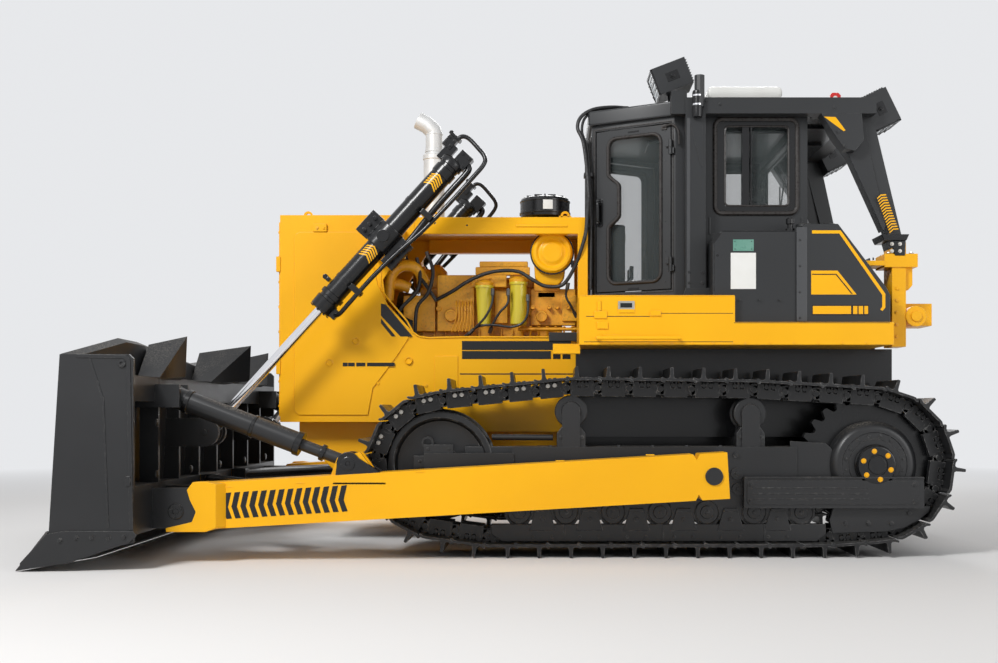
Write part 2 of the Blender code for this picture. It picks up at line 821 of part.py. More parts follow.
def belt(circles):
    """Arcs and straight runs of a belt that goes counterclockwise round circles given in that order.

    Each run is (start, end, centre or None, radius, start angle, turn) in x and z.
    """
    runs = []
    count = len(circles)
    tangents = []
    for i in range(count):
        (ax, az, ar), (bx, bz, br) = circles[i], circles[(i + 1) % count]
        distance = math.hypot(bx - ax, bz - az)
        angle = math.atan2(bz - az, bx - ax) - math.acos((ar - br) / distance)
        normal = (math.cos(angle), math.sin(angle))
        tangents.append(((ax + ar * normal[0], az + ar * normal[1]),
                         (bx + br * normal[0], bz + br * normal[1]), angle))
    for i in range(count):
        start, end, angle = tangents[i]
        runs.append((start, end, None, math.dist(start, end)))
        x, z, radius = circles[(i + 1) % count]
        turn = (tangents[(i + 1) % count][2] - angle) % (2 * math.pi)
        runs.append(((x, z), (radius, angle), turn, radius * turn))
    return runs


def belt_point(runs, distance):
    """The point at a distance along a belt."""
    for run in runs:
        if distance <= run[3]:
            break
        distance -= run[3]
    if run[2] is None:
        share = distance / run[3]
        return (run[0][0] + (run[1][0] - run[0][0]) * share, run[0][1] + (run[1][1] - run[0][1]) * share)
    (x, z), (radius, angle) = run[0], run[1]
    angle += distance / radius
    return (x + radius * math.cos(angle), z + radius * math.sin(angle))


SPROCKET_RADIUS = LINK_PITCH / (2 * math.sin(2 * math.pi / SPROCKET_TEETH))
IDLER_PIN_RADIUS = math.hypot(IDLER_RADIUS + PIN_TO_RAIL, LINK_PITCH / 2)
TRACK_Y = TRACK_GAUGE / 2
ROLLER_Z = PIN_Z + PIN_TO_RAIL + ROLLER_RADIUS


def chain_runs(idler_x):
    bend_z = PIN_Z + GROUND_BEND_RADIUS
    carrier = CARRIER_RADIUS + PIN_TO_RAIL + CARRIER_LIFT
    return belt((
        (GROUND_FRONT_X, bend_z, GROUND_BEND_RADIUS),
        (GROUND_REAR_X, bend_z, GROUND_BEND_RADIUS),
        (SPROCKET_X, WHEEL_Z, SPROCKET_RADIUS),
        (CARRIER_REAR_X, CARRIER_REAR_Z, carrier),
        (CARRIER_FRONT_X, CARRIER_FRONT_Z, carrier),
        (idler_x, WHEEL_Z, IDLER_PIN_RADIUS),
    ))


def tight_idler_x():
    """Where the idler stands when the chain is tight, as its grease cylinder would push it."""
    wanted = SHOE_COUNT * LINK_PITCH
    near, far = GROUND_FRONT_X, GROUND_FRONT_X - SHOE_COUNT * LINK_PITCH / 2
    while abs(near - far) > CHAIN_SLACK_SHARE * wanted:
        middle = (near + far) / 2
        if sum(run[3] for run in chain_runs(middle)) < wanted:
            near = middle
        else:
            far = middle
    return (near + far) / 2


IDLER_X = tight_idler_x()


def chain_pins():
    """The pins' places in x and z, counterclockwise seen with +X to the right and +Z up."""
    runs = chain_runs(IDLER_X)
    length = sum(run[3] for run in runs)
    return [belt_point(runs, length * i / SHOE_COUNT) for i in range(SHOE_COUNT)]


def chain_band(outer, inner, near, far):
    """An endless band with a rectangular section, between two lines of as many points."""
    return loft([[(ox, near, oz), (ox, far, oz), (ix, far, iz), (ix, near, iz)]
                 for (ox, oz), (ix, iz) in zip(outer, inner)], endless=True)


def outward(pins, along_share, rise):
    """For each link, the point at a share of its length and a rise off the line of the pins."""
    points = []
    for (ax, az), (bx, bz) in zip(pins, pins[1:] + pins[:1]):
        length = math.dist((ax, az), (bx, bz))
        normal = ((bz - az) / length, (ax - bx) / length)
        points.append((ax + (bx - ax) * along_share + normal[0] * rise,
                       az + (bz - az) * along_share + normal[1] * rise))
    return points


def chain_lines(pins, stations):
    """The outer and inner lines of a band, from a table of share along the link, outer rise and inner rise."""
    outer = [outward(pins, share, rise) for share, rise, _ in stations]
    inner = [outward(pins, share, rise) for share, _, rise in stations]
    return ([row[i] for i in range(SHOE_COUNT) for row in outer],
            [row[i] for i in range(SHOE_COUNT) for row in inner])


def make_tracks():
    pins = chain_pins()
    root = GROUSER_ROOT / LINK_PITCH / 2
    tip = GROUSER_TIP / LINK_PITCH / 2
    place = GROUSER_PLACE_SHARE
    under = PIN_TO_PLATE - PLATE_THICKNESS
    top = PIN_TO_PLATE + GROUSER_HEIGHT
    # Share along the link, height of the upper face, height of the lower face.
    shoe_stations = (
        (0.00, PIN_TO_PLATE, under),
        (place - root, PIN_TO_PLATE, under),
        (place - tip, top, under),
        (place + tip, top, under),
        (place + root, PIN_TO_PLATE, under),
    )
    link_top = PIN_TO_PLATE - PLATE_THICKNESS / 2
    link_stations = [(share, link_top, -PIN_TO_RAIL) for share in LINK_END_SHARES]
    near, far = -TRACK_Y - SHOE_WIDTH / 2, -TRACK_Y + SHOE_WIDTH / 2
    pieces = [chain_band(*chain_lines(pins, shoe_stations), near, far)]
    for side in (-1, 1):
        inner = -TRACK_Y + side * LINK_INSET
        pieces.append(chain_band(*chain_lines(pins, link_stations), inner, inner + side * LINK_WIDTH))
    publish_pair(weld(pieces), "track", "track_steel")


def make_idlers():
    flange = IDLER_RADIUS + IDLER_FLANGE_RISE
    half = IDLER_WIDTH / 2
    pieces = [
        across(IDLER_X, WHEEL_Z, -TRACK_Y - half, -TRACK_Y + half, IDLER_RADIUS - SEAT,
               sides=WHEEL_SIDES),
        across(IDLER_X, WHEEL_Z, -TRACK_Y - IDLER_FLANGE_WIDTH / 2, -TRACK_Y + IDLER_FLANGE_WIDTH / 2,
               flange, sides=WHEEL_SIDES),
        across(IDLER_X, WHEEL_Z, -TRACK_Y - half, -TRACK_Y + half, IDLER_HUB_RADIUS),
    ]
    cuts = []
    for side in (-1, 1):
        face = -TRACK_Y + side * half
        cuts.append(across(IDLER_X, WHEEL_Z, face - side * IDLER_DISH, face + side * OVERRUN,
                           IDLER_RADIUS - IDLER_DISH, sides=WHEEL_SIDES))
    wheel = weld(pieces[:2], cuts)
    publish_pair(weld([wheel, pieces[2]]), "idler", "track_steel")


def sprocket_outline():
    root = SPROCKET_RADIUS - TOOTH_ROOT_DROP
    tip = SPROCKET_RADIUS + TOOTH_RISE
    outline = []
    for tooth in range(SPROCKET_TEETH):
        for share, radius in zip(TOOTH_SHARES, (root, root, tip, tip)):
            angle = 2 * math.pi * (tooth + share) / SPROCKET_TEETH
            outline.append((SPROCKET_X + radius * math.cos(angle), WHEEL_Z + radius * math.sin(angle)))
    return outline


def make_sprockets():
    half = SPROCKET_WIDTH / 2
    case_end = -TRACK_Y - DRIVE_CASE_REACH
    hub_end = case_end - DRIVE_HUB_REACH
    case, hub, inner = DRIVE_CASE_RADIUS, DRIVE_HUB_RADIUS, DRIVE_CASE_RADIUS * DRIVE_INNER_SHARE
    chamfer = DRIVE_CASE_CHAMFER
    reach = DRIVE_CASE_REACH
    # Radius and distance outwards from the sprocket's middle, from the outer face to the inner end.
    drive = ((0, reach), (case - chamfer, reach), (case, reach - chamfer), (case, 0), (inner, 0),
             (inner, CASE_HALF_WIDTH + SEAT - TRACK_Y), (0, CASE_HALF_WIDTH + SEAT - TRACK_Y))
    pieces = [
        side_plate(sprocket_outline(), -TRACK_Y - half, -TRACK_Y + half),
        turned(drive, (SPROCKET_X, -TRACK_Y, WHEEL_Z), (0, -1, 0), WHEEL_SIDES),
        across(SPROCKET_X, WHEEL_Z, case_end + BITE, hub_end, hub),
    ]
    for i in range(DRIVE_BOLT_COUNT):
        angle = 2 * math.pi * i / DRIVE_BOLT_COUNT
        pieces.append(across(
            SPROCKET_X + DRIVE_BOLT_CIRCLE * math.cos(angle), WHEEL_Z + DRIVE_BOLT_CIRCLE * math.sin(angle),
            hub_end + BITE, hub_end - DRIVE_BOLT_HEIGHT, DRIVE_BOLT_RADIUS, sides=BOLT_SIDES,
        ))
    publish_pair(weld(pieces), "sprocket", "track_steel")


def make_track_frames():
    y = -TRACK_Y
    outer, inner = y - FRAME_HALF_WIDTH, y + FRAME_HALF_WIDTH
    pieces = [box((FRAME_FRONT_X, outer, FRAME_BOTTOM_Z), (FRAME_REAR_X, inner, FRAME_TOP_Z))]
    for side in (-1, 1):
        wall = y + side * FRAME_HALF_WIDTH
        pieces.append(box((FRAME_FRONT_X, wall, GUARD_BOTTOM_Z),
                          (FRAME_REAR_X, wall - side * GUARD_WALL, FRAME_BOTTOM_Z + BITE)))
        fork = y + side * (IDLER_WIDTH / 2 + FORK_GAP)
        fork_end = IDLER_X - IDLER_HUB_RADIUS
        pieces.append(box((fork_end, fork, WHEEL_Z - FORK_HEIGHT / 2),
                          (FRAME_FRONT_X + BITE, fork + side * FORK_WALL, WHEEL_Z + FORK_HEIGHT / 2)))
        pieces.append(across(IDLER_X, WHEEL_Z, y + side * (IDLER_WIDTH / 2 + SEAT),
                             fork + side * FORK_WALL, IDLER_HUB_RADIUS / 2))
    step = (ROLLER_LAST_X - ROLLER_FIRST_X) / (ROLLER_COUNT - 1)
    for i in range(ROLLER_COUNT):
        x = ROLLER_FIRST_X + i * step
        pieces.append(across(x, ROLLER_Z, outer + GUARD_WALL / 2, inner - GUARD_WALL / 2, ROLLER_RADIUS - SEAT,
                             sides=FINE_SIDES))
    for x, z in ((CARRIER_FRONT_X, CARRIER_FRONT_Z), (CARRIER_REAR_X, CARRIER_REAR_Z)):
        half = CARRIER_WIDTH / 2
        pieces.append(across(x, z, y - half, y + half, CARRIER_RADIUS - SEAT))
        for side in (-1, 1):
            face = y + side * (half - BITE / 2)
            pieces.append(box((x - CARRIER_POST_WIDTH / 2, face, FRAME_TOP_Z - BITE),
                              (x + CARRIER_POST_WIDTH / 2, face + side * CARRIER_POST_WALL, z)))
            pieces.append(across(x, z, face, face + side * CARRIER_POST_WALL, CARRIER_POST_WIDTH / 2))
    beam = y - OUTER_BEAM_REACH
    pieces.append(box((OUTER_BEAM_FRONT_X, beam, OUTER_BEAM_LOW_Z),
                      (OUTER_BEAM_REAR_X, beam - OUTER_BEAM_WALL, OUTER_BEAM_HIGH_Z)))
    pieces.append(box((OUTER_BEAM_FRONT_X, outer + BITE, FRAME_BOTTOM_Z + BITE),
                      (FRAME_REAR_X - BITE, beam - BITE, OUTER_BEAM_HIGH_Z - BITE)))
    hub_way = across(SPROCKET_X, WHEEL_Z, beam + OVERRUN, beam - OUTER_BEAM_WALL - OVERRUN,
                     DRIVE_HUB_RADIUS + RUNNING)
    cap = -ARM_OUTER_Y - TRUNNION_PROUD
    pieces.append(across(TRUNNION_X, TRUNNION_Z, outer + BITE, cap, TRUNNION_RADIUS, sides=BEARING_SIDES))
    pieces.append(across(TRUNNION_X, TRUNNION_Z, outer + BITE, -ARM_INNER_Y + RUNNING,
                         TRUNNION_RADIUS + BLADE_PLATE, sides=BEARING_SIDES))
    pieces.append(across(PIVOT_X, WHEEL_Z, inner - BITE, -BELLY_HALF_WIDTH - SEAT, PIVOT_RADIUS))
    pieces.append(box((EQUALIZER_X - EQUALIZER_LENGTH / 2, inner - BITE, FRAME_TOP_Z - EQUALIZER_HEIGHT),
                      (EQUALIZER_X + EQUALIZER_LENGTH / 2, -BELLY_HALF_WIDTH - SEAT, FRAME_TOP_Z - BITE)))
    publish_pair(weld(pieces, [hub_way]), "track_frame", "black_paint")


def make_main_frame():
    case = side_plate(
        ((CASE_FRONT_X, CASE_LOW_Z), (CASE_FRONT_X, CASE_TOP_Z), (CASE_REAR_X, CASE_TOP_Z),
         (CASE_REAR_X, CASE_LOW_Z)), -CASE_HALF_WIDTH, CASE_HALF_WIDTH)
    belly = side_plate(
        ((CASE_FRONT_X, BELLY_Z), (CASE_FRONT_X, CASE_LOW_Z + BITE), (CASE_REAR_X - BITE, CASE_LOW_Z + BITE),
         (CASE_REAR_X - BITE, BELLY_Z + OVERRUN), (CASE_REAR_X - DRAWBAR_LENGTH, BELLY_Z)),
        -BELLY_HALF_WIDTH, BELLY_HALF_WIDTH)
    drive = across(SPROCKET_X, WHEEL_Z, -CASE_HALF_WIDTH, CASE_HALF_WIDTH,
                   DRIVE_CASE_RADIUS * DRIVE_INNER_SHARE, sides=BEARING_SIDES)
    drawbar = box((CASE_REAR_X - OVERRUN, -DRAWBAR_HALF_WIDTH, DRAWBAR_LOW_Z),
                  (CASE_REAR_X + DRAWBAR_LENGTH, DRAWBAR_HALF_WIDTH, DRAWBAR_HIGH_Z))
    publish(weld([case, belly, drive, bevelled(drawbar, BITE)]), "main_frame", "black_paint")

    nose = ENGINE_FRAME_FRONT_X + ENGINE_FRAME_NOSE_LENGTH
    engine_frame = side_plate(
        ((ENGINE_FRAME_FRONT_X, ENGINE_FRAME_TOP_Z), (ENGINE_FRAME_FRONT_X, BELLY_Z + ENGINE_FRAME_NOSE_LENGTH),
         (nose, BELLY_Z), (CASE_FRONT_X - SEAT, BELLY_Z), (CASE_FRONT_X - SEAT, ENGINE_FRAME_TOP_Z)),
        -ENGINE_FRAME_HALF_WIDTH, ENGINE_FRAME_HALF_WIDTH)
    publish(engine_frame, "engine_frame", "yellow_paint")


def guard_side_outline():
    return (
        (GUARD_FRONT_X, GUARD_LOW_Z),
        (GUARD_FRONT_X, GUARD_TOP_Z),
        (GUARD_TOP_REAR_X, GUARD_TOP_Z),
        (GUARD_TOP_REAR_X, BAY_FRONT_TOP_Z),
        (BAY_FRONT_TOP_X, BAY_FRONT_TOP_Z),
        (BAY_KNEE_HIGH_X, BAY_KNEE_HIGH_Z),
        (BAY_KNEE_LOW_X, BAY_KNEE_LOW_Z),
        (BAY_SILL_FRONT_X, BAY_SILL_Z),
        (BAY_REAR_X, BAY_SILL_Z),
        (BAY_REAR_X, BAY_LOW_Z),
        (BAY_SILL_FRONT_X, BAY_LOW_Z),
        (BAY_SILL_FRONT_X, GUARD_LOW_Z),
    )


def make_radiator_guard():
    pieces = []
    inner = GUARD_HALF_WIDTH - GUARD_PLATE
    for side in (-1, 1):
        pieces.append(side_plate(guard_side_outline(), side * GUARD_HALF_WIDTH, side * inner))
        yoke_face = side * (LIFT_Y - LIFT_BAND_RADIUS - YOKE_GAP)
        pieces.append(box((LIFT_PIVOT_X - YOKE_RADIUS, side * (inner + BITE), LIFT_PIVOT_Z - YOKE_RADIUS),
                          (LIFT_PIVOT_X + YOKE_RADIUS, yoke_face - side * YOKE_WALL / 2,
                           LIFT_PIVOT_Z + YOKE_RADIUS)))
        pieces.append(across(LIFT_PIVOT_X, LIFT_PIVOT_Z, yoke_face - side * YOKE_WALL, yoke_face, YOKE_RADIUS,
                             sides=BEARING_SIDES))
    plates = (
        (GUARD_FRONT_X, GUARD_TOP_REAR_X, GUARD_TOP_Z - GUARD_PLATE, GUARD_TOP_Z),
        (GUARD_FRONT_X, GUARD_FRONT_X + GRILLE_FRAME, GUARD_LOW_Z, GUARD_LOW_Z + GRILLE_FRAME),
        (GUARD_FRONT_X, GUARD_FRONT_X + GRILLE_FRAME, GUARD_TOP_Z - GRILLE_FRAME, GUARD_TOP_Z),
        (GUARD_FRONT_X, ENGINE_FRONT_X - RUNNING, GUARD_LOW_Z, GUARD_LOW_Z + GUARD_PLATE),
    )
    for low_x, high_x, low_z, high_z in plates:
        pieces.append(box((low_x, -inner - BITE, low_z), (high_x, inner + BITE, high_z)))
    cuts = []
    for side in (-1, 1):
        stub_end = LIFT_Y - LIFT_BAND_RADIUS - YOKE_GAP - YOKE_WALL - RUNNING
        cuts.append(across(LIFT_PIVOT_X, LIFT_PIVOT_Z, side * stub_end, side * (LIFT_Y + OVERRUN),
                           LIFT_STUB_RADIUS + TRUNNION_PLAY, sides=BEARING_SIDES))
    guard = weld(pieces, cuts)
    publish(guard, "radiator_guard", "yellow_paint")

    opening = inner - SEAT
    low, high = GUARD_LOW_Z + GRILLE_FRAME + SEAT, GUARD_TOP_Z - GRILLE_FRAME - SEAT
    front = GUARD_FRONT_X + GRILLE_BAR_DEPTH
    pieces = []
    for i in range(GRILLE_BAR_COUNT):
        z = low + (high - low - GRILLE_BAR_HEIGHT) * i / (GRILLE_BAR_COUNT - 1)
        pieces.append(box((front, -opening, z), (front + GRILLE_BAR_DEPTH, opening, z + GRILLE_BAR_HEIGHT)))
    for i in range(GRILLE_RIB_COUNT):
        y = opening * (2 * i / (GRILLE_RIB_COUNT - 1) - 1)
        y = max(-opening + GRILLE_RIB_WIDTH / 2, min(opening - GRILLE_RIB_WIDTH / 2, y))
        pieces.append(box((front + BITE, y - GRILLE_RIB_WIDTH / 2, low),
                          (front + GRILLE_BAR_DEPTH + BITE, y + GRILLE_RIB_WIDTH / 2, high)))
    publish(weld(pieces), "radiator_grille", "black_paint")
    core = box((GUARD_FRONT_X + RADIATOR_SETBACK, -opening, GUARD_LOW_Z + GUARD_PLATE + SEAT),
               (GUARD_FRONT_X + RADIATOR_SETBACK + RADIATOR_DEPTH, opening, GUARD_TOP_Z - GRILLE_FRAME - SEAT))
    publish(core, "radiator", "black_paint")


def make_hood():
    beam_low = HOOD_TOP_Z - HOOD_BEAM_HEIGHT
    front = GUARD_TOP_REAR_X + SEAT
    pieces = [box((front, -GUARD_HALF_WIDTH, HOOD_TOP_Z - HOOD_PLATE),
                  (HOOD_REAR_X, GUARD_HALF_WIDTH, HOOD_TOP_Z))]
    for side in (-1, 1):
        edge = side * GUARD_HALF_WIDTH
        inner = side * (GUARD_HALF_WIDTH - HOOD_BEAM_WIDTH)
        pieces.append(box((front, edge, beam_low), (HOOD_REAR_X, inner, HOOD_TOP_Z - HOOD_PLATE / 2)))
        pieces.append(box((HOOD_REAR_X - HOOD_POST_WIDTH, edge, HOOD_POST_FOOT_Z),
                          (HOOD_REAR_X, inner, beam_low + BITE)))
    publish(weld(pieces), "hood", "yellow_paint")


def make_engine():
    low = ENGINE_FRAME_TOP_Z + SEAT
    half = ENGINE_HALF_WIDTH
    pieces = [
        box((ENGINE_FRONT_X, -half, low), (ENGINE_REAR_X, half, ENGINE_BLOCK_TOP_Z)),
        box((ENGINE_FRONT_X + BITE, -ENGINE_HEAD_HALF_WIDTH, ENGINE_BLOCK_TOP_Z - BITE),
            (ENGINE_REAR_X - BITE, ENGINE_HEAD_HALF_WIDTH, ENGINE_HEAD_TOP_Z)),
    ]
    heads_front, heads_rear = ENGINE_FRONT_X + BITE, ENGINE_REAR_X - BITE
    span = (heads_rear - heads_front) / HEAD_COVER_COUNT
    for i in range(HEAD_COVER_COUNT):
        start = heads_front + i * span + HEAD_COVER_GAP / 2
        end = start + span - HEAD_COVER_GAP
        half_width = ENGINE_HEAD_HALF_WIDTH - BITE
        pieces.append(box((start, -half_width, ENGINE_HEAD_TOP_Z - BITE),
                          (end, half_width, ENGINE_HEAD_TOP_Z + HEAD_COVER_HEIGHT)))
    for x in FILTER_X:
        pieces.append(upright(x, -FILTER_Y, FILTER_HIGH_Z - FILTER_HEIGHT, FILTER_HIGH_Z, FILTER_RADIUS))
        pieces.append(box((x - FILTER_RADIUS, -FILTER_Y, FILTER_HIGH_Z - FILTER_RADIUS),
                          (x + FILTER_RADIUS, -ENGINE_HEAD_HALF_WIDTH + BITE, FILTER_HIGH_Z - BITE)))
    pump_y = -half - PUMP_RADIUS / 2
    pieces.append(rod((PUMP_X, pump_y, PUMP_Z), (PUMP_X + PUMP_LENGTH, pump_y, PUMP_Z), PUMP_RADIUS))
    manifold_z = ENGINE_HEAD_TOP_Z - MANIFOLD_RADIUS
    manifold_y = ENGINE_HEAD_HALF_WIDTH + MANIFOLD_RADIUS / 2
    pieces.append(rod((ENGINE_FRONT_X + OVERRUN, manifold_y, manifold_z),
                      (ENGINE_REAR_X - OVERRUN, manifold_y, manifold_z), MANIFOLD_RADIUS))
    fan_front = ENGINE_FRONT_X - FAN_SHROUD_DEPTH
    fan_z = ENGINE_BLOCK_TOP_Z - FAN_SHROUD_RADIUS / 2
    pieces.append(rod((fan_front, 0, fan_z), (ENGINE_FRONT_X + OVERRUN, 0, fan_z), FAN_SHROUD_RADIUS,
                      FAN_SHROUD_RADIUS * FAN_SHROUD_REAR_SHARE, sides=BEARING_SIDES))
    stack_foot = HOOD_TOP_Z - HOOD_PLATE - SEAT
    pieces.append(upright(STACK_X, STACK_Y, ENGINE_HEAD_TOP_Z - BITE, stack_foot, STACK_RADIUS))
    pieces.append(upright(STACK_X, STACK_Y, ENGINE_HEAD_TOP_Z - BITE,
                          ENGINE_HEAD_TOP_Z + TURBO_WIDTH, TURBO_RADIUS, TURBO_RADIUS * TURBO_TOP_SHARE))
    publish(weld(pieces), "engine", "engine_paint")


def make_intake_and_exhaust():
    face = -AIR_CLEANER_FACE_Y
    back = face + AIR_CLEANER_LENGTH
    z, x, radius = AIR_CLEANER_Z, AIR_CLEANER_X, AIR_CLEANER_RADIUS
    body = weld([
        across(x, z, face + AIR_CLEANER_LIP, back, radius - AIR_CLEANER_LIP, sides=WHEEL_SIDES),
        across(x, z, face + AIR_CLEANER_LIP / 2, face + AIR_CLEANER_RIM, radius, sides=WHEEL_SIDES),
        across(x, z, face, face + AIR_CLEANER_LIP, *(radius * share for share in AIR_CLEANER_FACE_SHARES),
               sides=WHEEL_SIDES),
        upright(x, (face + back) / 2, z, HOOD_TOP_Z - HOOD_PLATE - SEAT, AIR_CLEANER_NECK_RADIUS),
    ])
    publish(body, "air_cleaner", "yellow_paint")
    low = HOOD_TOP_Z + SEAT
    drum = low + PRECLEANER_NECK_HEIGHT
    precleaner = weld([
        upright(PRECLEANER_X, PRECLEANER_Y, low, drum + BITE, PRECLEANER_NECK_RADIUS),
        upright(PRECLEANER_X, PRECLEANER_Y, drum, drum + PRECLEANER_HEIGHT, PRECLEANER_RADIUS,
                sides=WHEEL_SIDES),
    ])
    publish(precleaner, "precleaner", "black_paint")
    elbow = []
    for step in range(ELBOW_STEPS + 1):
        angle = math.pi / 2 * step / ELBOW_STEPS
        elbow.append((STACK_X - STACK_ELBOW_REACH * (1 - math.cos(angle)), STACK_Y,
                      STACK_TOP_Z + STACK_ELBOW_REACH * (math.sin(angle) - 1)))
    stack = weld([
        upright(STACK_X, STACK_Y, low, STACK_MUFFLER_TOP_Z, STACK_MUFFLER_RADIUS),
        pipe([(STACK_X, STACK_Y, STACK_MUFFLER_TOP_Z - BITE), *elbow], STACK_RADIUS, STACK_STEPS),
    ])
    publish(stack, "exhaust_stack", "exhaust_metal")


def make_decks():
    outline = ((DECK_FRONT_X, DECK_LOW_Z), (DECK_FRONT_X, DECK_TOP_Z), (DECK_STEP_X, DECK_TOP_Z),
               (DECK_STEP_X, DECK_STEP_Z), (DECK_REAR_X, DECK_STEP_Z), (DECK_REAR_X, DECK_LOW_Z))
    pieces = [side_plate(outline, -DECK_OUTER_Y, -DECK_INNER_Y)]
    bar_y = -DECK_OUTER_Y - GRAB_BAR_STANDOFF
    pieces.append(pipe([(GRAB_BAR_FRONT_X, -DECK_OUTER_Y + GRAB_BAR_STANDOFF, GRAB_BAR_Z),
                        (GRAB_BAR_FRONT_X, bar_y, GRAB_BAR_Z), (GRAB_BAR_REAR_X, bar_y, GRAB_BAR_Z),
                        (GRAB_BAR_REAR_X, -DECK_OUTER_Y + GRAB_BAR_STANDOFF, GRAB_BAR_Z)], GRAB_BAR_RADIUS))
    pieces.append(box((LATCH_X, -DECK_OUTER_Y + BITE, LATCH_Z - LATCH_HEIGHT),
                      (LATCH_X + LATCH_WIDTH, -DECK_OUTER_Y - GRAB_BAR_RADIUS / 2, LATCH_Z)))
    step_z = DECK_LOW_Z - STEP_DROP
    pieces.append(box((DECK_FRONT_X - STEP_SETBACK, -DECK_OUTER_Y + STEP_OUTER_INSET, step_z),
                      (DECK_FRONT_X - STEP_SETBACK + STEP_LENGTH, -DECK_OUTER_Y + STEP_INNER_INSET,
                       DECK_LOW_Z + BITE)))
    pedestal_y = (-PEDESTAL_Y - PEDESTAL_HALF_WIDTH, -PEDESTAL_Y + PEDESTAL_HALF_WIDTH)
    pieces.append(box((PEDESTAL_FRONT_X, pedestal_y[0], DECK_LOW_Z),
                      (PEDESTAL_REAR_X, pedestal_y[1], PEDESTAL_TOP_Z)))
    pieces.append(box((PEDESTAL_FLANGE_FRONT_X, pedestal_y[0] - BITE, PEDESTAL_FLANGE_LOW_Z),
                      (PEDESTAL_FLANGE_REAR_X, pedestal_y[1] + BITE, PEDESTAL_FLANGE_HIGH_Z)))
    pieces.append(box((DECK_REAR_X - BITE, pedestal_y[0] + BITE, DECK_LOW_Z + BITE),
                      (PEDESTAL_FRONT_X + BITE, pedestal_y[1] - BITE, DECK_STEP_Z - BITE)))
    pieces.append(box((PEDESTAL_FRONT_X + BITE, pedestal_y[1] - BITE, REAR_BEAM_LOW_Z),
                      (REAR_BEAM_REAR_X, pedestal_y[1] + REAR_BEAM_WIDTH, REAR_BEAM_HIGH_Z)))
    publish_pair(weld(pieces), "fender", "yellow_paint")


def make_side_tanks():
    foot = DECK_STEP_Z + SEAT
    panel_foot = DECK_TOP_Z + SEAT
    panel = side_plate(
        ((PANEL_FRONT_X, panel_foot), (PANEL_FRONT_X, PANEL_TOP_Z - TANK_NOSE),
         (PANEL_FRONT_X + TANK_NOSE, PANEL_TOP_Z), (TANK_FRONT_X + BITE, PANEL_TOP_Z),
         (TANK_FRONT_X + BITE, foot), (DECK_STEP_X + SEAT, foot), (DECK_STEP_X + SEAT, panel_foot)),
        -PANEL_OUTER_Y, -PANEL_INNER_Y)
    tank = side_plate(
        ((TANK_FRONT_X, foot), (TANK_FRONT_X, PANEL_TOP_Z), (TANK_FRONT_X + TANK_NOSE, TANK_TOP_Z),
         (TANK_SLOPE_TOP_X, TANK_TOP_Z), (TANK_REAR_X - TANK_NOSE / 2, TANK_SLOPE_FOOT_Z),
         (TANK_REAR_X, TANK_SLOPE_FOOT_Z - TANK_NOSE), (TANK_REAR_X, foot)),
        -PANEL_OUTER_Y - BITE, -PANEL_INNER_Y)
    publish_pair(weld([panel, tank]), "side_tank", "cab_paint")
    foot = CASE_TOP_Z + SEAT
    fuel = side_plate(
        ((FUEL_FRONT_X, foot), (FUEL_FRONT_X, FUEL_TOP_Z), (FUEL_SLOPE_X, FUEL_TOP_Z),
         (FUEL_REAR_X, FUEL_SLOPE_Z), (FUEL_REAR_X, foot)), -FUEL_HALF_WIDTH, FUEL_HALF_WIDTH)
    publish(fuel, "fuel_tank", "cab_paint")


def cab_plan(inset=0.0):
    """The cab's plan, counterclockwise, drawn in by an inset."""
    front, corner, rear = CAB_FRONT_X + inset, CAB_CORNER_X, CAB_REAR_X - inset
    narrow, wide = CAB_FRONT_HALF_WIDTH - inset, CAB_HALF_WIDTH - inset
    return ((front, -narrow), (corner, -wide), (rear, -wide), (rear, wide), (corner, wide), (front, narrow))


def door_line():
    """The foot of the left door's line at its front end, its direction to the rear and its length."""
    start = Vector((CAB_FRONT_X, -CAB_FRONT_HALF_WIDTH, 0))
    end = Vector((CAB_CORNER_X, -CAB_HALF_WIDTH, 0))
    return start, (end - start).normalized(), (end - start).length


def door_window(margin):
    """The door's window with its inward bulge behind the handle, in the door's own plane."""
    length = door_line()[2]
    low, high = DOOR_LOW_Z + WINDOW_CORNER, DOOR_HIGH_Z - WINDOW_CORNER
    front = length * DOOR_WINDOW_SHARES[0] - margin
    rear = length * DOOR_WINDOW_SHARES[1] + margin
    bulge = front + length * DOOR_BULGE_SHARE
    outline = rounded_rectangle((front, low - margin), (rear, high + margin), WINDOW_CORNER)
    heights = [low + (high - low) * share for share in DOOR_BULGE_HEIGHT_SHARES]
    bulge_points = list(zip((front, bulge, bulge, front), heights))
    before = len(outline) - (CORNER_STEPS + 1)
    return outline[:before] + bulge_points + outline[before:]


def door_hinge():
    """The foot of the line that the left door turns on, and the low end, middle and high end of each hinge."""
    start, along, length = door_line()
    outside = Vector((along.y, -along.x, 0))
    foot = start + along * length * (1 - DOOR_END_SHARE) + outside * HINGE_STANDOFF
    middles = [DOOR_LOW_Z + (DOOR_HIGH_Z - DOOR_LOW_Z) * share for share in HINGE_HEIGHT_SHARES]
    return foot, [(middle - HINGE_LENGTH / 2, middle, middle + HINGE_LENGTH / 2) for middle in middles]


def hinge_leaf(near, far, low, high):
    """A flat strip from a hinge's knuckle to the wall behind it, between two places along the door's line."""
    start, along, _ = door_line()
    outside = Vector((along.y, -along.x, 0))
    return upright_plate(((near, low), (far, low), (far, high), (near, high)),
                         start + outside * HINGE_STANDOFF, along, HINGE_STANDOFF + HINGE_BITE)


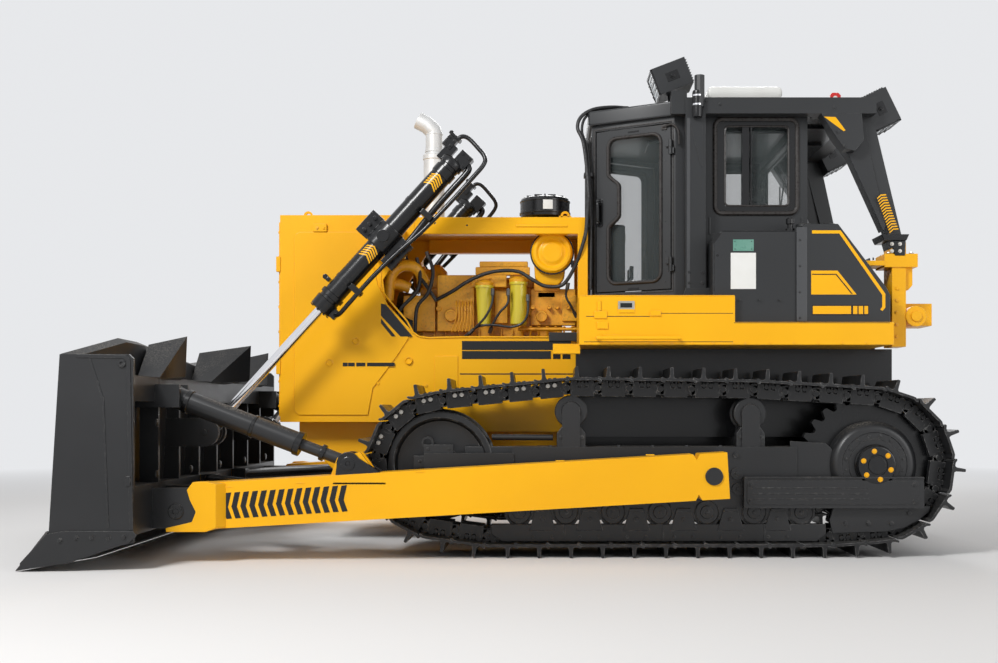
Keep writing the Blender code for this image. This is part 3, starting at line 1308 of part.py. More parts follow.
def cab_hinge_pieces():
    """The lower knuckles and the pins of the left door's hinges, which stay with the cab."""
    foot, spans = door_hinge()
    length = door_line()[2]
    rear = length * (1 - DOOR_END_SHARE)
    pieces = []
    for low, middle, high in spans:
        pieces.append(upright(foot.x, foot.y, low, middle, HINGE_RADIUS, sides=FINE_SIDES))
        pieces.append(upright(foot.x, foot.y, low + BITE, high - BITE, HINGE_PIN_RADIUS, sides=FINE_SIDES))
        pieces.append(hinge_leaf(rear + HINGE_BITE, length - HINGE_BITE, low + BITE / 2, middle - BITE / 2))
    return pieces


def door_hinge_pieces():
    """The upper knuckles of the left door's hinges, and the bores for their pins."""
    foot, spans = door_hinge()
    rear = door_line()[2] * (1 - DOOR_END_SHARE)
    pieces = []
    bores = []
    for _, middle, high in spans:
        pieces.append(upright(foot.x, foot.y, middle + SEAT, high, HINGE_RADIUS, sides=FINE_SIDES))
        pieces.append(hinge_leaf(rear - HINGE_LEAF, rear - HINGE_BITE, middle + BITE / 2, high - BITE / 2))
        bores.append(upright(foot.x, foot.y, middle - OVERRUN, high + OVERRUN, HINGE_PIN_RADIUS + HINGE_PLAY,
                             sides=FINE_SIDES))
    return pieces, bores


def lamp(x, y, z, tilt):
    """A work lamp's housing, tilted about the line across the machine: a positive tilt lifts its rear end."""
    half = Vector((LAMP_DEPTH, LAMP_WIDTH, LAMP_HEIGHT)) / 2
    housing = box(-half, half)
    housing.data.transform(Matrix.Translation((x, y, z)) @ Matrix.Rotation(math.radians(-tilt), 4, "Y"))
    return housing


def make_cab(door_axes):
    header = CAB_HEADER_Z
    start, along, length = door_line()
    shell = plan_plate(cab_plan(), CAB_FLOOR_Z, header)
    hollow = plan_plate(cab_plan(CAB_WALL), CAB_FLOOR_Z + CAB_FLOOR_THICKNESS, header + OVERRUN)
    door_ends = (length * DOOR_END_SHARE, length * (1 - DOOR_END_SHARE))
    doorway = ((door_ends[0], DOOR_LOW_Z), (door_ends[1], DOOR_LOW_Z),
               (door_ends[1], DOOR_HIGH_Z), (door_ends[0], DOOR_HIGH_Z))
    outside = Vector((along.y, -along.x, 0)) * OVERRUN
    left_way = upright_plate(doorway, start + outside, along, CAB_WALL + OVERRUN + OVERRUN)
    cuts = [hollow, left_way, mirror_image(left_way)]
    side_window = rounded_rectangle((SIDE_WINDOW_FRONT_X, SIDE_WINDOW_LOW_Z),
                                    (SIDE_WINDOW_REAR_X, SIDE_WINDOW_HIGH_Z), WINDOW_CORNER)
    cuts.append(side_plate(side_window, -CAB_HALF_WIDTH - OVERRUN, CAB_HALF_WIDTH + OVERRUN))
    half = CAB_FRONT_HALF_WIDTH - WINDSHIELD_MARGIN
    cuts.append(box((CAB_FRONT_X - OVERRUN, -half, WINDSHIELD_LOW_Z),
                    (CAB_FRONT_X + CAB_WALL + OVERRUN, half, WINDSHIELD_HIGH_Z)))
    rear_half = CAB_HALF_WIDTH - REAR_WINDOW_MARGIN
    cuts.append(box((CAB_REAR_X - CAB_WALL - OVERRUN, -rear_half, REAR_WINDOW_LOW_Z),
                    (CAB_REAR_X + OVERRUN, rear_half, REAR_WINDOW_HIGH_Z)))
    hinges = cab_hinge_pieces()
    hinges += [mirror_image(piece) for piece in hinges]
    publish(weld([weld([shell], cuts), *hinges]), "cab_shell", "cab_paint")

    roof = bevelled(plan_plate(cab_plan(-ROOF_OVERHANG), header + SEAT, ROOF_TOP_Z), BITE)
    on_roof = [box((ROOF_PAD_FRONT_X, -ROOF_PAD_HALF_WIDTH, ROOF_TOP_Z - BITE),
                 (ROOF_PAD_REAR_X, ROOF_PAD_HALF_WIDTH, ROOF_TOP_Z + ROOF_PAD_RISE))]
    for _, side in SIDES:
        on_roof.append(lamp(LAMP_FRONT_X, side * LAMP_Y, LAMP_FRONT_Z, LAMP_FRONT_TILT))
        on_roof.append(upright(LAMP_FRONT_X, side * LAMP_Y, ROOF_TOP_Z - BITE, LAMP_FRONT_Z, LAMP_STALK_RADIUS,
                             sides=FINE_SIDES))
    publish(weld([roof, *on_roof]), "cab_roof", "cab_paint")

    inner_front = CAB_FRONT_X + CAB_WALL + SEAT
    publish(box((inner_front, -half - GLASS_LAP, WINDSHIELD_LOW_Z - GLASS_LAP),
                (inner_front + GLASS_THICKNESS, half + GLASS_LAP, WINDSHIELD_HIGH_Z + GLASS_LAP)),
            "windshield", "glass")
    inner_rear = CAB_REAR_X - CAB_WALL - SEAT
    publish(box((inner_rear - GLASS_THICKNESS, -rear_half - GLASS_LAP, REAR_WINDOW_LOW_Z - GLASS_LAP),
                (inner_rear, rear_half + GLASS_LAP, REAR_WINDOW_HIGH_Z + GLASS_LAP)), "rear_glass", "glass")
    inner_side = -CAB_HALF_WIDTH + CAB_WALL + SEAT
    pane = box((SIDE_WINDOW_FRONT_X - GLASS_LAP, inner_side, SIDE_WINDOW_LOW_Z - GLASS_LAP),
               (SIDE_WINDOW_REAR_X + GLASS_LAP, inner_side + GLASS_THICKNESS, SIDE_WINDOW_HIGH_Z + GLASS_LAP))
    publish_pair(pane, "side_glass", "glass")

    near, far = door_ends[0] + DOOR_GAP, door_ends[1] - DOOR_GAP
    foot, head = DOOR_LOW_Z + DOOR_GAP, DOOR_HIGH_Z - DOOR_GAP
    leaf = ((near, foot), (far, foot), (far, head), (near, head))
    panel = upright_plate(leaf, start, along, DOOR_THICKNESS)
    hole = upright_plate(door_window(0), start + outside, along, DOOR_THICKNESS + OVERRUN + OVERRUN)
    handle_x = door_ends[0] + HANDLE_SETBACK
    grip = start + along * handle_x + outside * HANDLE_STANDOFF / OVERRUN
    root = start + along * handle_x - outside * BITE / OVERRUN
    middle = (DOOR_LOW_Z + DOOR_HIGH_Z) / 2
    heights = (middle - HANDLE_LENGTH / 2, middle + HANDLE_LENGTH / 2)
    up = Vector((0, 0, 1))
    low, high = (up * height for height in heights)
    handle = pipe([root + low, grip + low, grip + high, root + high], HANDLE_RADIUS)
    knuckles, bores = door_hinge_pieces()
    publish_pair(weld([panel, handle, *knuckles], [hole, *bores]), "door", "cab_paint", door_axes)
    inward = -outside / OVERRUN
    pane_foot = start + inward * (DOOR_THICKNESS + SEAT)
    door_pane = upright_plate(door_window(GLASS_LAP), pane_foot, along, GLASS_THICKNESS)
    publish_pair(door_pane, "door_glass", "glass", door_axes)


def make_cab_inside():
    floor = CAB_FLOOR_Z + CAB_FLOOR_THICKNESS + SEAT
    half = SEAT_WIDTH / 2
    front, rear = SEAT_X - SEAT_DEPTH / 2, SEAT_X + SEAT_DEPTH / 2
    back_front = rear - BITE
    seat = weld([
        box((front, -half, SEAT_CUSHION_Z), (rear, half, SEAT_CUSHION_Z + SEAT_CUSHION_HEIGHT)),
        box((back_front, -half + BITE, SEAT_CUSHION_Z + BITE),
            (back_front + SEAT_BACK_THICKNESS, half - BITE, SEAT_CUSHION_Z + SEAT_BACK_HEIGHT)),
        box((front + SEAT_FOOT_MARGIN, -half + SEAT_FOOT_MARGIN, floor),
            (rear - SEAT_FOOT_MARGIN, half - SEAT_FOOT_MARGIN, SEAT_CUSHION_Z + BITE)),
    ])
    publish(seat, "operator_seat", "seat_cloth")
    console_front = SEAT_X - CONSOLE_LENGTH / 2
    console = []
    for side in (-1, 1):
        near = side * (CONSOLE_Y - CONSOLE_WIDTH / 2)
        console.append(box((console_front, near, floor),
                           (console_front + CONSOLE_LENGTH, near + side * CONSOLE_WIDTH, CONSOLE_TOP_Z)))
    dash_front = CAB_FRONT_X + CAB_WALL + GLASS_THICKNESS + GLASS_LAP
    console.append(box((dash_front, -DASH_HALF_WIDTH, floor),
                       (dash_front + DASH_DEPTH, DASH_HALF_WIDTH, DASH_TOP_Z)))
    console.append(box((dash_front + BITE, -CONSOLE_Y, floor),
                       (console_front + BITE, CONSOLE_Y, floor + BITE)))
    publish(weld(console), "control_console", "cab_paint")


def make_rops():
    pieces = []
    beam_low = ROPS_TOP_Z - ROPS_BEAM_HEIGHT
    for side in (-1, 1):
        inner, outer = side * ROPS_INNER_Y, side * ROPS_OUTER_Y
        pieces.append(box((ROPS_POST_FRONT_X, inner, DECK_TOP_Z + SEAT), (ROPS_POST_REAR_X, outer, ROPS_TOP_Z)))
        pieces.append(box((ROPS_POST_FRONT_X, side * ROPS_LEG_TOP_Y, ROPS_TOP_Z),
                          (ROPS_BEAM_REAR_X, outer, beam_low)))
        half = ROPS_LEG_WIDTH / 2
        top_y, foot_y = side * ROPS_LEG_TOP_Y, side * PEDESTAL_Y
        depth = ROPS_LEG_DEPTH / 2
        pieces.append(loft((
            [(ROPS_LEG_TOP_X + dx, top_y + dy, ROPS_TOP_Z - BITE)
             for dx, dy in ((-depth, -half), (depth, -half), (depth, half), (-depth, half))],
            [(ROPS_LEG_FOOT_X + dx * ROPS_LEG_FOOT_SHARE, foot_y + dy, PEDESTAL_TOP_Z + SEAT)
             for dx, dy in ((-depth, -half), (depth, -half), (depth, half), (-depth, half))],
        )))
    pieces.append(box((ROPS_CROSS_FRONT_X, -ROPS_OUTER_Y + BITE, beam_low + BITE),
                      (ROPS_BEAM_REAR_X, ROPS_OUTER_Y - BITE, ROPS_TOP_Z)))
    for _, side in SIDES:
        pieces.append(lamp(LAMP_REAR_X, side * LAMP_Y, LAMP_REAR_Z, LAMP_REAR_TILT))
        pieces.append(box((PILLAR_BOX_FRONT_X, side * PILLAR_BOX_INNER_Y, PILLAR_BOX_LOW_Z),
                          (ROPS_POST_FRONT_X + BITE, side * (ROPS_OUTER_Y - BITE), PILLAR_BOX_HIGH_Z)))
        beacon_y = side * (ROPS_OUTER_Y + BEACON_RADIUS - BITE)
        pieces.append(upright(BEACON_X, beacon_y, BEACON_LOW_Z, BEACON_HIGH_Z, BEACON_RADIUS, sides=FINE_SIDES))
    roof_cut = plan_plate(cab_plan(-ROOF_OVERHANG - SEAT), CAB_FLOOR_Z, ROPS_TOP_Z + OVERRUN)
    publish(weld(pieces, [roof_cut]), "rops_frame", "cab_paint")


def make_roof_top():
    low = ROOF_TOP_Z + SEAT
    taper = AC_TAPER_SHARE
    middle = (AC_FRONT_X + AC_REAR_X) / 2
    half = (AC_REAR_X - AC_FRONT_X) / 2
    rings = []
    for share, z in ((1.0, low), (1.0, low + AC_HEIGHT * AC_SIDE_SHARE), (taper, low + AC_HEIGHT)):
        rings.append([(middle + sx * half * share, sy * AC_HALF_WIDTH * share, z)
                      for sx, sy in ((-1, -1), (1, -1), (1, 1), (-1, 1))])
    publish(bevelled(loft(rings), AC_EDGE, 2), "ac_unit", "white_plastic")


def blade_section(y):
    """The mouldboard's section at a place across the blade, from the tip up the front and down the back."""
    reach = abs(y)
    wing = max(0.0, reach - BLADE_STRAIGHT_HALF_WIDTH) / (BLADE_HALF_WIDTH - BLADE_STRAIGHT_HALF_WIDTH)
    lead = -BLADE_WING_LEAD * wing
    if reach <= BLADE_BREAK_Y:
        top = BLADE_CENTRE_TOP_Z + (BLADE_BREAK_TOP_Z - BLADE_CENTRE_TOP_Z) * reach / BLADE_BREAK_Y
    else:
        past = (reach - BLADE_BREAK_Y) / (BLADE_HALF_WIDTH - BLADE_BREAK_Y)
        top = BLADE_BREAK_TOP_Z + (BLADE_END_TOP_Z - BLADE_BREAK_TOP_Z) * past
    rise = top - BLADE_EDGE_TOP_Z
    front = ((BLADE_EDGE_TOP_X, BLADE_EDGE_TOP_Z),
             (BLADE_HOLLOW_X - BLADE_PLATE, BLADE_EDGE_TOP_Z + rise * BLADE_LOW_SHARES[0]),
             (BLADE_HOLLOW_X, BLADE_EDGE_TOP_Z + rise * BLADE_HIGH_SHARE),
             (BLADE_FRONT_TOP_X, top))
    back = ((BLADE_FRONT_TOP_X + BLADE_PLATE, top - BLADE_PLATE / 2),
            (BLADE_HOLLOW_X + BLADE_PLATE, BLADE_EDGE_TOP_Z + rise * BLADE_HIGH_SHARE),
            (BLADE_HOLLOW_X + BLADE_PLATE / 2, BLADE_EDGE_TOP_Z + rise * BLADE_LOW_SHARES[1]),
            (BLADE_BOX_FRONT_X, BLADE_HEEL_Z))
    return [(x + lead, y, z) for x, z in ((BLADE_TIP_X, BLADE_TIP_Z), *front, *back)]


def end_plate_outline():
    front = BLADE_WING_LEAD
    return (
        (BLADE_TIP_X - front, BLADE_TIP_Z),
        (BLADE_EDGE_TOP_X - front + BITE, BLADE_EDGE_TOP_Z),
        (BLADE_FRONT_TOP_X - front, BLADE_END_TOP_Z),
        (END_PLATE_REAR_X - BLADE_PLATE / 2, BLADE_END_TOP_Z),
        (END_PLATE_REAR_X, BLADE_END_TOP_Z - BLADE_PLATE / 2),
        (END_PLATE_REAR_X, END_BOTTOM_REAR_Z),
    )


def make_blade(carrier):
    stations = (BLADE_HALF_WIDTH - BITE, BLADE_BREAK_Y, BLADE_STRAIGHT_HALF_WIDTH)
    places = [-y for y in stations] + [0.0] + list(reversed(stations))
    pieces = [loft([blade_section(y) for y in places])]
    rear = BLADE_BACK_X
    straight = BLADE_STRAIGHT_HALF_WIDTH + GUSSET_HALF_WIDTH
    boxes = ((BLADE_UPPER_BOX_LOW_Z, BLADE_UPPER_BOX_HIGH_Z), (BLADE_LOWER_BOX_LOW_Z, BLADE_LOWER_BOX_HIGH_Z))
    for low, high in boxes:
        pieces.append(box((BLADE_BOX_FRONT_X, -straight, low), (rear, straight, high)))
    for i in range(BLADE_RIB_COUNT):
        y = straight * (2 * i / (BLADE_RIB_COUNT - 1) - 1)
        y = max(-straight + BLADE_RIB_WALL, min(straight - BLADE_RIB_WALL, y))
        pieces.append(box((BLADE_RIB_FRONT_X, y - BLADE_RIB_WALL / 2, BLADE_LOWER_BOX_LOW_Z + BITE),
                          (rear - BITE, y + BLADE_RIB_WALL / 2, BLADE_UPPER_BOX_HIGH_Z - BITE)))
    for _, side in SIDES:
        end = side * BLADE_HALF_WIDTH
        pieces.append(side_plate(end_plate_outline(), end - side * END_PLATE, end))
        for low, high in boxes:
            pieces.append(box((END_PLATE_REAR_X, end - side * BITE, low),
                              (BLADE_EDGE_TOP_X, side * (straight - BITE), high)))
        for ear in (-1, 1):
            y = side * LIFT_Y + ear * (LIFT_EYE_WIDTH / 2 + LIFT_EAR_GAP + LIFT_EAR_WALL / 2)
            ear_low, ear_high = y - LIFT_EAR_WALL / 2, y + LIFT_EAR_WALL / 2
            pieces.append(box((BLADE_HOLLOW_X + BLADE_PLATE / 2, ear_low, LIFT_EYE_Z - LIFT_EAR_RADIUS),
                              (LIFT_EYE_X, ear_high, LIFT_EYE_Z + LIFT_EAR_RADIUS)))
            pieces.append(across(LIFT_EYE_X, LIFT_EYE_Z, ear_low, ear_high, LIFT_EAR_RADIUS))
            clevis = side * (ARM_INNER_Y + ARM_OUTER_Y) / 2 + ear * (
                (ARM_OUTER_Y - ARM_INNER_Y) / 2 + RUNNING + CLEVIS_WALL / 2)
            pieces.append(box((BLADE_BACK_X - OVERRUN, clevis - CLEVIS_WALL / 2, CLEVIS_LOW_Z),
                              (ARM_PIN_X + CLEVIS_REACH, clevis + CLEVIS_WALL / 2, CLEVIS_HIGH_Z)))
            brace = side * BRACE_Y + ear * (BRACE_BALL_WIDTH / 2 + SEAT + BRACE_EAR_WALL / 2)
            pieces.append(box((BLADE_HOLLOW_X, brace - BRACE_EAR_WALL / 2, BRACE_TOP_Z - BRACE_EYE_RADIUS),
                              (BRACE_TOP_X + BRACE_EYE_RADIUS, brace + BRACE_EAR_WALL / 2,
                               BRACE_TOP_Z + BRACE_EYE_RADIUS)))
    for y in (-GUSSET_OUTER_Y, 0.0, GUSSET_OUTER_Y):
        apex_x = GUSSET_OUTER_APEX_X if y else GUSSET_APEX_X
        half = GUSSET_HALF_WIDTH
        foot_x = BLADE_HOLLOW_X
        corners = [(foot_x, y - half, GUSSET_FOOT_Z - BITE), (foot_x, y + half, GUSSET_FOOT_Z - BITE),
                   (rear - BITE, y - half, GUSSET_REAR_FOOT_Z), (rear - BITE, y + half, GUSSET_REAR_FOOT_Z),
                   (foot_x, y, GUSSET_APEX_Z - BLADE_PLATE)]
        pieces.append(wedge(corners, [(apex_x - BITE, y, GUSSET_FOOT_Z), (apex_x, y, GUSSET_APEX_Z)]))
    publish(weld(pieces), "blade", "black_paint", carrier)


def arm_direction():
    return Vector((TRUNNION_X - ARM_PIN_X, 0, TRUNNION_Z - ARM_PIN_Z)).normalized()


def make_arms(carrier):
    along = arm_direction()
    up = Vector((-along.z, 0, along.x))
    front = Vector((ARM_PIN_X, 0, ARM_PIN_Z))
    rear = Vector((TRUNNION_X, 0, TRUNNION_Z)) + along * ARM_REAR_REACH
    half = ARM_DEPTH / 2
    nose = up * half * ARM_NOSE_SHARE
    face = front + along * ARM_FACE
    notch = front + along * ((ARM_NOTCH_X - front.x) / along.x)
    notch_end = along * ARM_NOTCH_HALF_WIDTH
    chamfer = ARM_FACE_CHAMFER
    corners = (front - along * ARM_NOSE - nose, front - along * ARM_NOSE + nose, face + nose,
               face + up * (half - chamfer), face + along * chamfer + up * half,
               notch - notch_end + up * half, notch + up * (half - ARM_NOTCH_DEPTH),
               notch + notch_end + up * half, rear + up * half, rear - up * half,
               notch + notch_end - up * half, notch - up * (half - ARM_NOTCH_DEPTH),
               notch - notch_end - up * half, face + along * chamfer - up * half,
               face - up * (half - chamfer), face - nose)
    pieces = [side_plate([(p.x, p.z) for p in corners], -ARM_OUTER_Y, -ARM_INNER_Y)]
    pieces.append(across(ARM_PIN_X, ARM_PIN_Z, -ARM_OUTER_Y - RUNNING + SEAT, -ARM_INNER_Y + RUNNING - SEAT,
                         ARM_BOSS_RADIUS))
    strut_end = BLADE_BACK_X + SEAT + STRUT_RADIUS
    pieces.append(rod((STRUT_X, -ARM_INNER_Y - BITE, STRUT_Z), (strut_end, -STRUT_END_Y, STRUT_Z),
                      STRUT_RADIUS, sides=FINE_SIDES))
    pieces.append(box((strut_end - STRUT_RADIUS, -STRUT_END_Y - STRUT_RADIUS, STRUT_Z - STRUT_RADIUS),
                      (strut_end + STRUT_RADIUS, -STRUT_END_Y + STRUT_RADIUS, STRUT_Z + STRUT_RADIUS)))
    for ear in (-1, 1):
        y = -BRACE_Y + ear * (BRACE_EYE_WIDTH / 2 + SEAT + BRACE_EAR_WALL / 2)
        arm_top = front.z + (BRACE_EYE_X - front.x) * along.z / along.x + half
        pieces.append(side_plate(
            ((BRACE_EYE_X - BRACE_BRACKET_LENGTH / 2, arm_top - BRACE_BRACKET_BITE),
             (BRACE_EYE_X - BRACE_EYE_RADIUS, BRACE_EYE_Z + BRACE_EYE_RADIUS / 2),
             (BRACE_EYE_X + BRACE_EYE_RADIUS, BRACE_EYE_Z + BRACE_EYE_RADIUS),
             (BRACE_EYE_X + BRACE_BRACKET_LENGTH / 2 + BRACE_EYE_RADIUS, arm_top - BRACE_BRACKET_BITE)),
            y - BRACE_EAR_WALL / 2, y + BRACE_EAR_WALL / 2))
    bore = across(TRUNNION_X, TRUNNION_Z, -ARM_OUTER_Y - OVERRUN, -ARM_INNER_Y + OVERRUN,
                  TRUNNION_RADIUS + TRUNNION_PLAY, sides=BEARING_SIDES)
    publish_pair(weld(pieces, [bore]), "push_arm", "yellow_paint", (carrier, carrier))


def make_braces(carrier):
    start = Vector((BRACE_TOP_X, -BRACE_Y, BRACE_TOP_Z))
    end = Vector((BRACE_EYE_X, -BRACE_Y, BRACE_EYE_Z))
    half, ball_half = BRACE_EYE_WIDTH / 2, BRACE_BALL_WIDTH / 2
    pieces = [
        rod(start, start.lerp(end, BRACE_NECK_SHARE), BRACE_RADIUS),
        rod(start.lerp(end, BRACE_NECK_SHARE - BRACE_NECK_OVERLAP_SHARE), end, BRACE_NECK_RADIUS),
        across(start.x, start.z, -BRACE_Y - ball_half, -BRACE_Y + ball_half, BRACE_EYE_RADIUS),
        across(end.x, end.z, -BRACE_Y - half, -BRACE_Y + half, BRACE_EYE_RADIUS - BITE),
    ]
    left = weld(pieces)
    right = mirror_image(left)
    publish(left, "pitch_brace_left", "black_paint", carrier)
    publish(right, "tilt_cylinder_right", "black_paint", carrier)


def lift_line():
    eye = Vector((LIFT_EYE_X, -LIFT_Y, LIFT_EYE_Z))
    pivot = Vector((LIFT_PIVOT_X, -LIFT_Y, LIFT_PIVOT_Z))
    return eye, (pivot - eye).normalized(), (pivot - eye).length


def make_lift_cylinders(carriers):
    eye, along, pivot = lift_line()
    start, end = eye + along * LIFT_BARREL_START, eye + along * LIFT_BARREL_END
    band = LIFT_BAND_LENGTH / 2
    pieces = [
        rod(start, end, LIFT_BARREL_RADIUS, sides=BEARING_SIDES),
        rod(eye + along * (pivot - band), eye + along * (pivot + band), LIFT_BAND_RADIUS, sides=BEARING_SIDES),
        rod(start, start + along * LIFT_GLAND_LENGTH, LIFT_GLAND_RADIUS, sides=BEARING_SIDES),
    ]
    stub_end = -LIFT_Y + LIFT_BAND_RADIUS + YOKE_GAP + YOKE_WALL
    pieces.append(across(LIFT_PIVOT_X, LIFT_PIVOT_Z, -LIFT_Y, stub_end, LIFT_STUB_RADIUS, sides=BEARING_SIDES))
    side = Vector((along.z, 0, -along.x))
    pipe_line = [start + along * LIFT_GLAND_LENGTH / 2 + side * BITE,
                 start + along * LIFT_GLAND_LENGTH / 2 + side * PIPE_OFFSET,
                 end + along * LIFT_GLAND_LENGTH + side * PIPE_OFFSET,
                 end + along * PIPE_OVER_CAP + side * PIPE_OFFSET / 2,
                 end - along * LIFT_GLAND_LENGTH / 2 + side * BITE]
    pieces.append(pipe(pipe_line, PIPE_RADIUS))
    bore = rod(start - along * OVERRUN, end - along * LIFT_BARREL_CAP, LIFT_ROD_RADIUS + LIFT_BARREL_BORE_PLAY)
    publish_pair(weld(pieces, [bore]), "lift_barrel", "black_paint", carriers[:2])

    half = LIFT_EYE_WIDTH / 2
    shaft = rod(eye, start + along * LIFT_ROD_INSIDE, LIFT_ROD_RADIUS)
    knuckle = across(eye.x, eye.z, -LIFT_Y - half, -LIFT_Y + half, LIFT_EYE_RADIUS)
    publish_pair(weld([knuckle, shaft]), "lift_rod", "chrome", carriers[2:])


def place_origin():
    """Moves the machine so that the middle of its whole length is at x = 0."""
    for piece in parts.objects:
        if piece.parent is None:
            piece.location.x -= ORIGIN_X


def main():
    clear_scene()
    lift_axis = axis("dozer_lift_axis", (TRUNNION_X, 0, TRUNNION_Z))
    hinge = door_hinge()[0]
    door_axes = [axis("door_axis_" + name, (hinge.x, -side * hinge.y, DOOR_LOW_Z)) for name, side in SIDES]
    barrel_axes = [axis("barrel_axis_" + name, (LIFT_PIVOT_X, side * LIFT_Y, LIFT_PIVOT_Z))
                   for name, side in SIDES]
    rod_axes = [axis("rod_axis_" + name, (LIFT_EYE_X, side * LIFT_Y, LIFT_EYE_Z))
                for name, side in SIDES]
    make_tracks()
    make_idlers()
    make_sprockets()
    make_track_frames()
    make_main_frame()
    make_radiator_guard()
    make_hood()
    make_engine()
    make_intake_and_exhaust()
    make_decks()
    make_side_tanks()
    make_cab(door_axes)
    make_cab_inside()
    make_rops()
    make_roof_top()
    make_blade(lift_axis)
    make_arms(lift_axis)
    make_braces(lift_axis)
    make_lift_cylinders(barrel_axes + rod_axes)
    place_origin()


main()
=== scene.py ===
import math

import bmesh
import bpy
from mathutils import Matrix, Vector


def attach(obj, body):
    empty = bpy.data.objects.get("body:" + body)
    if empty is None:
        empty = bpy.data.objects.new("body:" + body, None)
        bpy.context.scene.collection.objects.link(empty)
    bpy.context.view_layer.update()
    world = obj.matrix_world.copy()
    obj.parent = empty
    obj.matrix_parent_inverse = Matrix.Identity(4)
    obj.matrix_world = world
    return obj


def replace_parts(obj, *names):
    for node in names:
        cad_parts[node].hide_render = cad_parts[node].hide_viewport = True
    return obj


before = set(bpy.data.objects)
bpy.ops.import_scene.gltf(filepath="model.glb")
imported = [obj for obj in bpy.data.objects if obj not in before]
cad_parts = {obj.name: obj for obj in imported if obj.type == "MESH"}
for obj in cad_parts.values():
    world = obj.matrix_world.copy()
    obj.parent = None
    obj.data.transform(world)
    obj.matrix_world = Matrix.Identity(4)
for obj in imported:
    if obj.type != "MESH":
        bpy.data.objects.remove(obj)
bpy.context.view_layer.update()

# Looks of the crawler bulldozer. Metres, +Z up. The machine faces -X and its left side is at -Y.
# Places are written in the side view that the part is drawn around, and SHIFT moves them into the frame.
ORIGIN_X = 0.03075
SHIFT = Matrix.Translation((-ORIGIN_X, 0, 0))
SIDES = (("left", -1), ("right", 1))

# The photograph's view: the picture is 998 x 663, and straight ahead is at this pixel.
IMAGE_WIDTH = 998
IMAGE_HEIGHT = 663
AHEAD_PX = 545
AHEAD_PY = 410
FOCAL_PX = 1200
CAMERA_X = 0.26
CAMERA_Y = -10.0
CAMERA_Z = 1.07
SENSOR = 36.0


def seen(px, py, y):
    """The x and z that a pixel of the photograph shows at a depth."""
    scale = (y - CAMERA_Y) / FOCAL_PX
    return (CAMERA_X + (px - AHEAD_PX) * scale, CAMERA_Z + (AHEAD_PY - py) * scale)


def seen_at(px, py, y):
    x, z = seen(px, py, y)
    return Vector((x, y, z))


# Materials


def add_node(tree, kind, links=(), **settings):
    """A new node. Each link is a socket with the output or the value that feeds it."""
    made = tree.nodes.new(kind)
    for name, value in settings.items():
        setattr(made, name, value)
    for socket, value in links:
        if hasattr(value, "is_linked"):
            tree.links.new(value, made.inputs[socket])
        else:
            made.inputs[socket].default_value = value
    return made


class Finish:
    """A Principled material whose colour, roughness and relief are layers of procedural texture."""

    def __init__(self, name, colour, roughness, metallic=0.0, coat=0.0, shine=0.5):
        self.material = bpy.data.materials.new(name)
        self.material.use_nodes = True
        self.tree = self.material.node_tree
        self.shader = self.tree.nodes["Principled BSDF"]
        self.colour = (*colour, 1)
        self.rough = roughness
        self.relief = None
        self.fix({"Base Color": self.colour, "Roughness": roughness, "Metallic": metallic,
                  "Coat Weight": coat, "Coat Roughness": 0.12, "Specular IOR Level": shine})
        self.place = self.node("ShaderNodeTexCoord").outputs["Object"]
        self.facing = self.node("ShaderNodeNewGeometry").outputs["Normal"]

    def fix(self, values):
        """Sets sockets of the shader to plain values."""
        for name, value in values.items():
            self.shader.inputs[name].default_value = value

    def node(self, kind, links=(), **settings):
        return add_node(self.tree, kind, links, **settings)

    def noise(self, scale, detail=4.0, roughness=0.55, stretch=(1, 1, 1)):
        place = self.node("ShaderNodeVectorMath", ((0, self.place), (1, stretch)), operation="MULTIPLY")
        links = (("Vector", place.outputs[0]), ("Scale", scale), ("Detail", detail), ("Roughness", roughness))
        return self.node("ShaderNodeTexNoise", links).outputs["Fac"]

    def between(self, value, low, high, start=0.0, end=1.0):
        """A mask that runs from start to end as the value goes from low to high."""
        links = (("Value", value), ("From Min", low), ("From Max", high), ("To Min", start), ("To Max", end))
        return self.node("ShaderNodeMapRange", links).outputs["Result"]

    def times(self, first, second):
        return self.node("ShaderNodeMath", ((0, first), (1, second)), operation="MULTIPLY").outputs[0]

    def tint(self, mask, colour):
        """Lays another colour over the colour so far."""
        links = ((0, mask), (6, self.colour), (7, (*colour, 1)))
        self.colour = self.node("ShaderNodeMix", links, data_type="RGBA").outputs[2]
        return self

    def gloss(self, mask, roughness):
        self.rough = self.node("ShaderNodeMix", ((0, mask), (2, self.rough), (3, roughness))).outputs[0]
        return self

    def emboss(self, height, strength, depth):
        links = [("Height", height), ("Strength", strength), ("Distance", depth)]
        if self.relief is not None:
            links.append(("Normal", self.relief))
        self.relief = self.node("ShaderNodeBump", links).outputs["Normal"]
        return self

    def upward(self, low=0.55, high=0.95):
        """A mask of the faces that look up, where dust settles."""
        split = self.node("ShaderNodeSeparateXYZ", ((0, self.facing),))
        return self.between(split.outputs["Z"], low, high)

    def edges(self, reach=0.006):
        """A mask of the strips along sharp edges."""
        rounded_off = self.node("ShaderNodeBevel", (("Radius", reach),), samples=4)
        same = self.node("ShaderNodeVectorMath", ((0, rounded_off.outputs[0]), (1, self.facing)),
                         operation="DOT_PRODUCT")
        return self.between(same.outputs["Value"], 0.985, 0.90)

    def done(self):
        for socket, value in (("Base Color", self.colour), ("Roughness", self.rough),
                              ("Normal", self.relief)):
            if hasattr(value, "is_linked"):
                self.tree.links.new(value, self.shader.inputs[socket])
        return self.material


YELLOW = (0.90, 0.450, 0.004)
DUST = (0.30, 0.27, 0.23)
BARE_STEEL = (0.42, 0.41, 0.39)


